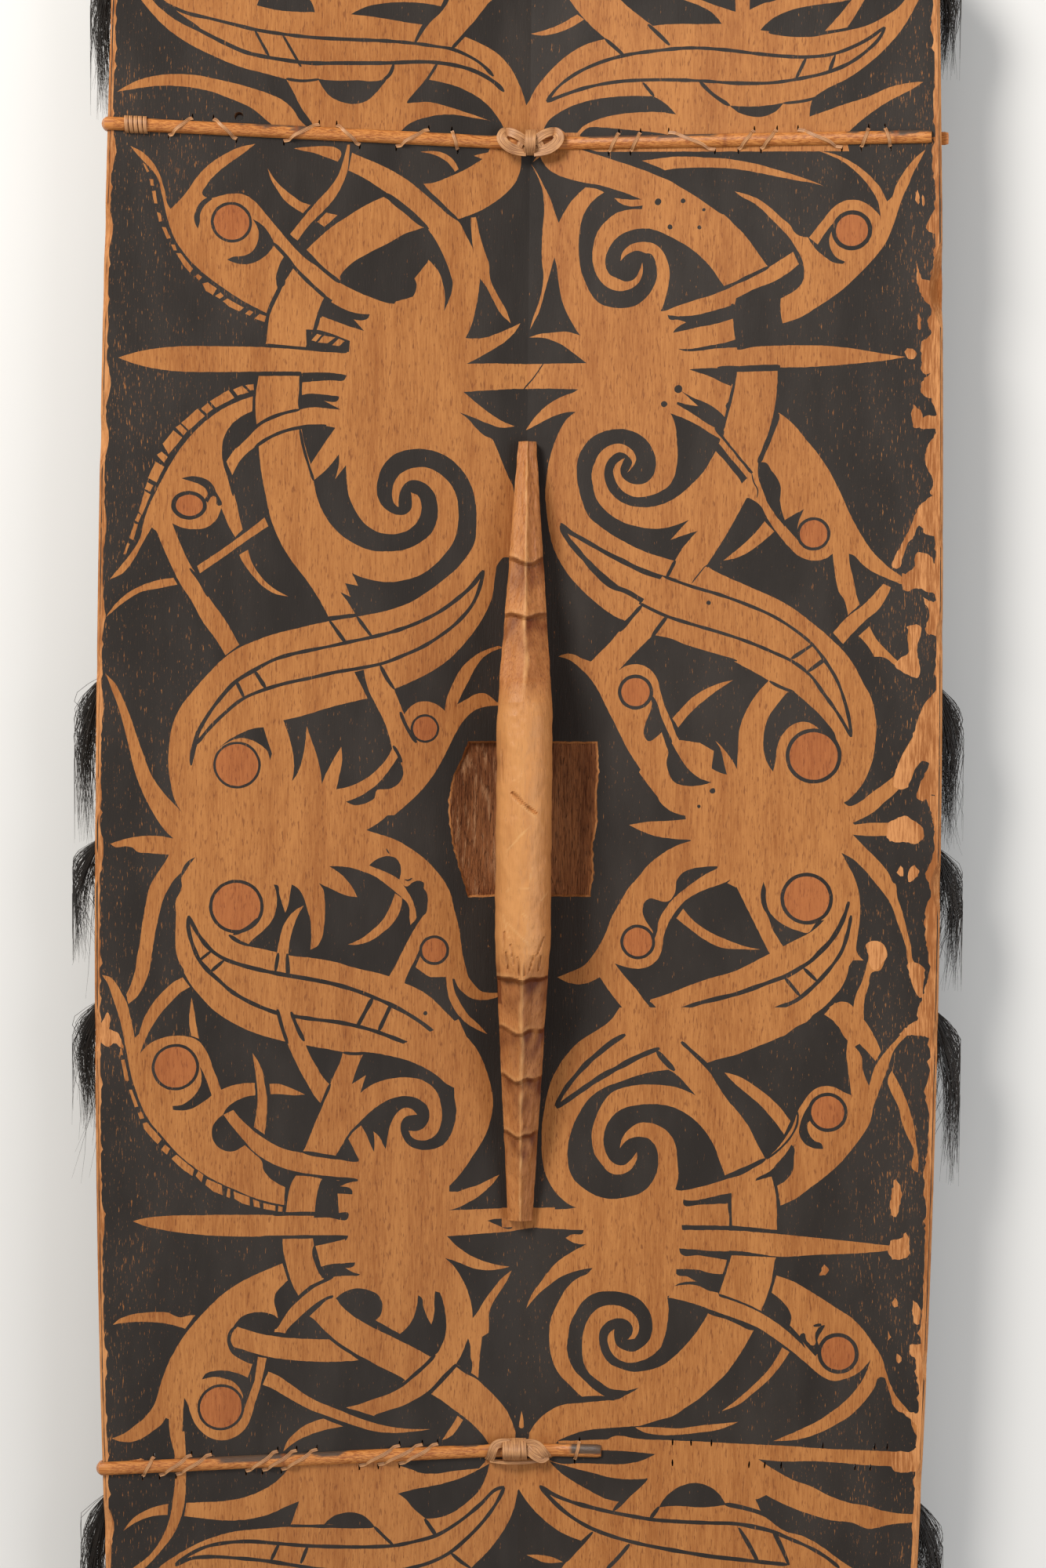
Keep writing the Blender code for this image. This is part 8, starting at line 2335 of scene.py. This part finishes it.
def namedValue(tree, geometry, name, value, kind="FLOAT"):
    # stores a value on the points under a name that a material or a later node reads
    made = tree.nodes.new("GeometryNodeStoreNamedAttribute")
    made.data_type = kind
    made.inputs["Name"].default_value = name
    tree.links.new(geometry, made.inputs["Geometry"])
    tree.links.new(value, made.inputs["Value"])
    return made


def stripTree():
    # a flat strip along each path, turned so that its width lies along the path's "across"
    tree, given, result = newTree("laidStrip", [
        ("Width", "NodeSocketFloat", 0.0018), ("Thickness", "NodeSocketFloat", 0.0005),
        ("Step", "NodeSocketFloat", 0.0009), ("Material", "NodeSocketMaterial", None)])
    toCurve = tree.nodes.new("GeometryNodeMeshToCurve")
    resample = tree.nodes.new("GeometryNodeResampleCurve")
    resample.mode = "LENGTH"
    turned = tree.nodes.new("GeometryNodeSetCurveNormal")
    turned.mode = "FREE"
    across = tree.nodes.new("GeometryNodeInputNamedAttribute")
    across.data_type = "FLOAT_VECTOR"
    across.inputs["Name"].default_value = "across"
    along = tree.nodes.new("GeometryNodeSplineParameter")
    profile = tree.nodes.new("GeometryNodeCurvePrimitiveQuadrilateral")
    finer = tree.nodes.new("GeometryNodeSubdivideCurve")
    finer.inputs["Cuts"].default_value = 3
    place = tree.nodes.new("GeometryNodeInputPosition")
    apart = tree.nodes.new("ShaderNodeSeparateXYZ")
    sweep = tree.nodes.new("GeometryNodeCurveToMesh")
    sweep.inputs["Fill Caps"].default_value = True
    tree.links.new(given.outputs["Geometry"], toCurve.inputs[0])
    chain(tree, toCurve, resample, turned)
    tree.links.new(across.outputs["Attribute"], turned.inputs["Normal"])
    tree.links.new(given.outputs["Step"], resample.inputs["Length"])
    tree.links.new(given.outputs["Width"], profile.inputs["Width"])
    tree.links.new(given.outputs["Thickness"], profile.inputs["Height"])
    chain(tree, profile, finer)
    chain(tree, place, apart)
    length = namedValue(tree, turned.outputs[0], "alongStrip", along.outputs["Length"])
    width = namedValue(tree, finer.outputs[0], "acrossStrip", apart.outputs["X"])
    chain(tree, length, sweep)
    tree.links.new(width.outputs[0], sweep.inputs["Profile Curve"])
    endTree(tree, sweep, given, result)
    return tree


def runTree(name, tree, paths, values, across=None):
    # runs a node tree on loose edges, with the way that each point's width lies, and keeps a plain mesh
    verts, edges = [], []
    for path in paths:
        start = len(verts)
        verts += path
        edges += [(start + k, start + k + 1) for k in range(len(path) - 1)]
    mesh = bpy.data.meshes.new(name + "_paths")
    mesh.from_pydata(verts, edges, [])
    if across:
        layer = mesh.attributes.new("across", "FLOAT_VECTOR", "POINT")
        layer.data.foreach_set("vector", [value for line in across for way in line for value in way])
    guide = bpy.data.objects.new(name + "_paths", mesh)
    bpy.context.scene.collection.objects.link(guide)
    modifier = guide.modifiers.new("laid", "NODES")
    modifier.node_group = tree
    for item in tree.interface.items_tree:
        if item.item_type == "SOCKET" and item.in_out == "INPUT" and item.name in values:
            modifier[item.identifier] = values[item.name]
    depsgraph = bpy.context.evaluated_depsgraph_get()
    laid = bpy.data.meshes.new_from_object(guide.evaluated_get(depsgraph), depsgraph=depsgraph)
    laid.name = name
    bpy.data.objects.remove(guide)
    bpy.data.meshes.remove(mesh)
    return laid


laidStrip = stripTree()


def keepMesh(name, mesh, smoothAngle=40):
    made = bpy.data.objects.new(name, mesh)
    bpy.context.scene.collection.objects.link(made)
    mesh.shade_smooth()
    mesh.set_sharp_from_angle(angle=math.radians(smoothAngle))
    return made


lace = {
    "width": 0.0017,
    "thickness": 0.00045,
    "upperLeft": [(-0.855, -1, -0.800, 1), (-0.750, 1, -0.695, -1), (-0.582, -1, -0.498, 1), (-0.456, 1, -0.400, -1),
                  (-0.312, -1, -0.234, 1), (-0.178, 1, -0.163, -1)],
    "upperRight": [(0.205, -1, 0.230, 1), (0.258, -1, 0.282, 1), (0.350, 1, 0.462, -1), (0.518, -1, 0.556, 1),
                   (0.572, -1, 0.610, 1), (0.660, 1, 0.765, -1), (0.810, -1, 0.828, 1), (0.866, 1, 0.880, -1)],
    "lowerLeft": [(-0.903, -1, -0.876, 1), (-0.862, -1, -0.786, 1), (-0.822, -1, -0.738, 1), (-0.654, -1, -0.578, 1),
                  (-0.614, -1, -0.532, 1), (-0.568, -1, -0.482, 1), (-0.378, -1, -0.280, 1), (-0.332, -1, -0.224, 1),
                  (-0.280, -1, -0.186, 1)],
    "lowerRight": [(0.154, -1, 0.166, 1)],
}


def stitchPath(start, end, tie, surface, outward):
    # one pass over a cane, from slit to slit, on the face that surface(x) gives
    (x0, side0), (x1, side1) = start, end
    thick = lace["thickness"] / 2
    points = []
    for k in range(15):
        share = k / 14
        x = x0 + (x1 - x0) * share
        if side0 == side1:
            across, lift = side0 * ties["slitOffset"], thick
        else:
            angle = math.pi * share
            reach = ties["caneWidth"] / 2 + thick + 0.0002
            across = side0 * min(ties["slitOffset"], reach / max(0.35, math.sin(angle) + 0.35)) * math.cos(angle)
            crown = ties["caneThickness"] + ties["gap"] + thick
            rest = math.sqrt(max(0.0, 1 - min(1.0, abs(across) / reach) ** 2))
            lift = max(thick, crown * rest)
        points.append((x, tieY(x, tie) + across, surface(x) + outward * lift))
    return points


def lacePaths(tie, stitches):
    w = halfWidth(tie["y"])

    def backLine(x):
        return caneBackZ(x) - ties["gap"]

    paths = []
    for k, (a, sideA, b, sideB) in enumerate(stitches):
        start, end = (a * w, sideA), (b * w, sideB)
        over = stitchPath(start, end, tie, backLine, 1)
        dip = [(x, tieY(x, tie) + side * ties["slitOffset"], backLine(x) - 0.003) for x, side in (start, end)]
        paths.append([dip[0]] + over + [dip[1]])
        if k + 1 < len(stitches):
            c, sideC = stitches[k + 1][0] * w, stitches[k + 1][1]
            under = stitchPath(end, (c, sideC), tie, frontZ, -1)
            paths.append(under)
    return paths


def waysAcross(path, tie):
    # level directions square to the path, held steady where it dips
    ways = []
    lean = (Vector(path[-1]) - Vector(path[0]))
    for k in range(len(path)):
        ahead = Vector(path[min(k + 1, len(path) - 1)]) - Vector(path[max(k - 1, 0)])
        level = Vector((ahead.x, ahead.y, 0))
        if level.length < abs(ahead.z) * 0.8:
            level = Vector((lean.x, lean.y, 0))
        side = Vector((-level.y, level.x, 0)).normalized()
        if ways and side.dot(Vector(ways[-1])) < 0:
            side = -side
        ways.append(tuple(side))
    return ways


for corner, tie in (("upperLeft", "upper"), ("upperRight", "upper"), ("lowerLeft", "lower"), ("lowerRight", "lower")):
    node = "lacing_" + ("upper" if corner.startswith("upper") else "lower") + ("_left" if "Left" in corner else "_right")
    runs = lacePaths(ties[tie], lace[corner])
    mesh = runTree("lace_" + corner, laidStrip, runs, {
        "Width": lace["width"], "Thickness": lace["thickness"], "Step": 0.0008, "Material": finishes["knot"]},
        [waysAcross(run, tie) for run in runs])
    wearPiece(keepMesh("lace" + node[6:], mesh), "split_cane", node)
print("lacing done")


# The knots, in mm from the middle of each: x, y and the height over the cane's bed, with each strip's width
knotStrips = {
    "upper": [
        (5.6, [(0.6, 6.3, 0.6), (0.4, 5.2, 3.2), (0.2, 2.6, 6.2), (0, 0, 7.1), (0, -3.0, 6.4), (-0.2, -5.4, 3.6),
               (-0.3, -6.4, 0.6)]),
        (4.4, [(-1.4, -0.8, 4.4), (-4.4, 1.6, 5.0), (-7.6, 3.4, 5.2), (-10.6, 4.6, 4.2), (-12.8, 5.0, 2.4)]),
        (5.2, [(-12.2, 4.8, 2.6), (-13.8, 4.0, 4.6), (-14.8, 1.4, 5.6), (-13.2, -1.6, 5.8), (-9.8, -3.8, 5.0),
               (-5.8, -4.8, 3.8), (-2.2, -5.0, 2.8)]),
        (3.2, [(-2.0, 0.6, 4.2), (-4.6, -0.9, 4.4), (-5.8, -3.2, 3.6), (-5.9, -5.6, 1.0)]),
        (4.4, [(1.4, -0.8, 4.4), (4.4, 1.8, 5.0), (7.6, 3.8, 5.2), (10.8, 5.0, 4.2), (13.2, 5.3, 2.4)]),
        (5.4, [(12.2, 5.0, 2.6), (13.9, 4.2, 4.6), (14.9, 1.6, 5.6), (13.2, -1.5, 5.8), (9.8, -3.8, 5.0),
               (5.8, -4.8, 3.8), (2.2, -5.0, 2.8)]),
        (3.4, [(2.0, 0.6, 4.2), (4.8, -0.9, 4.4), (6.0, -3.2, 3.6), (6.1, -5.6, 1.0)]),
    ],
    "lower": [
        (4.6, [(-5.6, 6.0, 0.6), (-5.7, 4.6, 3.8), (-5.8, 1.6, 6.6), (-5.8, -1.4, 6.6), (-5.6, -4.0, 3.4), (-5.4, -4.8, 1)]),
        (4.8, [(-1.4, 6.2, 0.6), (-1.3, 4.8, 4.0), (-1.2, 1.6, 6.9), (-1.2, -1.4, 6.9), (-1.0, -4.0, 3.4), (-1, -4.8, 1)]),
        (3.0, [(2.6, 6.2, 0.6), (2.6, 4.8, 3.6), (2.8, 1.6, 6.2), (3.0, -1.4, 6.2), (3.2, -3.8, 3.2), (3.2, -4.6, 1)]),
        (4.6, [(-4.6, 4.0, 2.8), (-8.6, 4.4, 3.8), (-11.8, 3.2, 4.6), (-13.4, 0.2, 4.8), (-14.2, -3.0, 3.2),
               (-15.2, -5.0, 0.8)]),
        (4.8, [(2.6, 3.8, 2.8), (7.4, 4.2, 4.2), (10.6, 3.0, 5.2), (12.8, 0.4, 5.6), (14.4, -1.6, 4.6), (14.9, -2.8, 3.2)]),
        (4.6, [(15.0, -2.0, 3.0), (12.4, -3.4, 4.4), (9.4, -2.2, 5.0), (6.8, -0.2, 5.2), (4.6, 1.8, 4.0)]),
        (1.5, [(-14.6, -5.4, 1.2), (-8.0, -6.1, 1.6), (0.0, -6.2, 1.8), (8.0, -5.6, 1.6), (14.2, -4.6, 1.2)]),
    ],
}
knot = {"thickness": 0.0008, "step": 0.0006, "bindingTurns": 5, "bindingWidth": 0.0019, "bindingThickness": 0.0007}


def spline(points, count):
    # a smooth run through the given places
    made = []
    last = len(points) - 1
    for k in range(count):
        at = last * k / (count - 1)
        i = min(int(at), last - 1)
        f = at - i
        p0, p1, p2, p3 = (Vector(points[max(0, min(last, i + j))]) for j in (-1, 0, 1, 2))
        made.append(0.5 * (2 * p1 + (p2 - p0) * f + (2 * p0 - 5 * p1 + 4 * p2 - p3) * f ** 2
                           + (3 * p1 - p0 - 3 * p2 + p3) * f ** 3))
    return made


def makeKnot(name, node, tie):
    low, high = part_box(node)
    middle = (low + high) / 2
    meshes = []
    for number, (width, places) in enumerate(knotStrips[tie]):
        line = [(middle.x + p.x / 1000, middle.y + p.y / 1000,
                 caneBackZ(middle.x + p.x / 1000) - ties["gap"] + p.z / 1000) for p in spline(places, 33)]
        band = abs(places[0][0] - places[-1][0]) < 1.2
        ways = [(1, 0, 0)] * len(line) if band else waysAcross(line, tie)
        meshes.append(runTree(f"{name}_{number}", laidStrip, [line], {
            "Width": width / 1000, "Thickness": knot["thickness"], "Step": knot["step"],
            "Material": finishes["knot"]}, [ways]))
    wearPiece(keepMesh(name, joinMeshes(name, meshes)), "split_cane", node)


def joinMeshes(name, meshes):
    bm = bmesh.new()
    for mesh in meshes:
        bm.from_mesh(mesh)
    joined = bpy.data.meshes.new(name)
    bm.to_mesh(joined)
    bm.free()
    for finish in meshes[0].materials:
        joined.materials.append(finish)
    for mesh in meshes:
        bpy.data.meshes.remove(mesh)
    return joined


makeKnot("knot_upper", "upper_knot", "upper")
makeKnot("knot_lower", "lower_knot", "lower")


def overCane(x, turn, tie, lift):
    # a point on a ring round a back cane: turn 0 at its upper side, pi at its lower side
    half = ties["caneWidth"] / 2 + ties["gap"] + lift
    crown = ties["caneThickness"] + ties["gap"] + lift
    return (x, tieY(x, tie) + half * math.cos(turn), caneBackZ(x) + crown * math.sin(turn))


def makeBinding():
    low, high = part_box("upper_binding")
    paths, ways = [], []
    for k, x in enumerate(spread(low.x + 0.0012, high.x - 0.0012, knot["bindingTurns"])):
        lean = 0.0011 * (1 if k % 2 else 0.6)
        paths.append([overCane(x + lean * (s / 24 - 0.5), -0.3 + (math.pi + 0.6) * s / 24, ties["upper"],
                               knot["bindingThickness"] * 0.6) for s in range(25)])
        ways.append([(1, 0, 0)] * 25)
    mesh = runTree("binding", laidStrip, paths, {
        "Width": knot["bindingWidth"], "Thickness": knot["bindingThickness"], "Step": knot["step"],
        "Material": finishes["knot"]}, ways)
    wearPiece(keepMesh("binding_upper", mesh), "split_cane", "upper_binding")


makeBinding()
print("knots done")


# Rows of hair set in the front: every strand is a thin tapered blade on its own curved path

hair = {
    "rows": [shoulderY, 0.056, -0.027, -0.110, -0.362],
    "inner": 0.100,
    "overhang": 0.013,
    "length": 0.105,
    "droop": 0.010,
    "strands": 1700,
    "width": 0.00030,
    "points": 7,
}


def strandTree():
    tree, given, result = newTree("hairStrand", [
        ("Root Width", "NodeSocketFloat", 0.0004), ("Material", "NodeSocketMaterial", None)])
    toCurve = tree.nodes.new("GeometryNodeMeshToCurve")
    along = tree.nodes.new("GeometryNodeSplineParameter")
    taper = tree.nodes.new("ShaderNodeMapRange")
    taper.inputs["From Min"].default_value = 0.55
    taper.inputs["To Min"].default_value = 1.0
    taper.inputs["To Max"].default_value = 0.25
    radius = tree.nodes.new("GeometryNodeSetCurveRadius")
    profile = tree.nodes.new("GeometryNodeCurvePrimitiveCircle")
    profile.mode = "RADIUS"
    profile.inputs["Resolution"].default_value = 3
    sweep = tree.nodes.new("GeometryNodeCurveToMesh")
    tree.links.new(given.outputs["Geometry"], toCurve.inputs[0])
    chain(tree, toCurve, radius, sweep)
    tree.links.new(along.outputs["Factor"], taper.inputs["Value"])
    tree.links.new(taper.outputs["Result"], radius.inputs["Radius"])
    tree.links.new(given.outputs["Root Width"], profile.inputs["Radius"])
    tree.links.new(profile.outputs[0], sweep.inputs["Profile Curve"])
    if "Scale" in sweep.inputs:
        tree.links.new(taper.outputs["Result"], sweep.inputs["Scale"])
    sweep.inputs["Fill Caps"].default_value = True
    endTree(tree, sweep, given, result)
    return tree


hairStrand = strandTree()


def makeHairRow(name, rootY, side, seed):
    draw = random.Random(seed)
    outer = halfWidth(rootY) + hair["overhang"]
    locks = [hair["inner"] + (outer - hair["inner"]) * (k + 0.2 + 0.6 * draw.random()) / 11 for k in range(11)]
    fullness = {lock: 0.62 + 0.38 * draw.random() for lock in locks}
    paths = []
    for _ in range(hair["strands"]):
        reach = hair["inner"] + (outer - hair["inner"]) * draw.random() ** 0.85
        lock = min(locks, key=lambda r: abs(r - reach - 0.004 * (draw.random() - 0.5)))
        stray = draw.random() < 0.16
        length = hair["length"] * 0.97 * (0.30 + 0.70 * draw.random() ** 0.8)
        length *= fullness[lock]
        lift = draw.random()
        drift = (draw.random() - 0.5) * (0.034 if stray else 0.008)
        curl = (draw.random() - 0.35) * (0.012 if stray else 0.005)
        pull = 0.15 if stray else 0.72
        path = []
        rootReach = min(reach, halfWidth(rootY) - 0.003)
        for k in range(hair["points"]):
            share = k / (hair["points"] - 1)
            x = rootReach + (reach - rootReach) * min(1, share * 2.2)
            x += (lock - reach) * pull * share + drift * share ** 2 + curl * math.sin(share * 4)
            x = max(hair["inner"], min(outer - 0.0004, x))
            y = rootY - 0.002 - length * share
            roof = frontZ(min(x, halfWidth(y))) - ties["gap"] - 0.0006
            z = roof - hair["droop"] * share * (0.5 + 0.5 * lift) - 0.0028 * lift
            path.append((side * x, y, max(0.0012, z)))
        paths.append(path)
    mesh = runTree(name + "_mesh", hairStrand, paths, {"Root Width": hair["width"] / 2, "Material": finishes["hair"]})
    mesh.shade_smooth()
    made = bpy.data.objects.new("strands" + name[8:], mesh)
    bpy.context.scene.collection.objects.link(made)
    wearPiece(made, "dark_hair", name)


for row, rootY in enumerate(hair["rows"], start=1):
    for sideName, side in (("left", -1), ("right", 1)):
        makeHairRow(f"hair_row_{row}_{sideName}", rootY, side, 10 * row + (side > 0))
print("hair done")
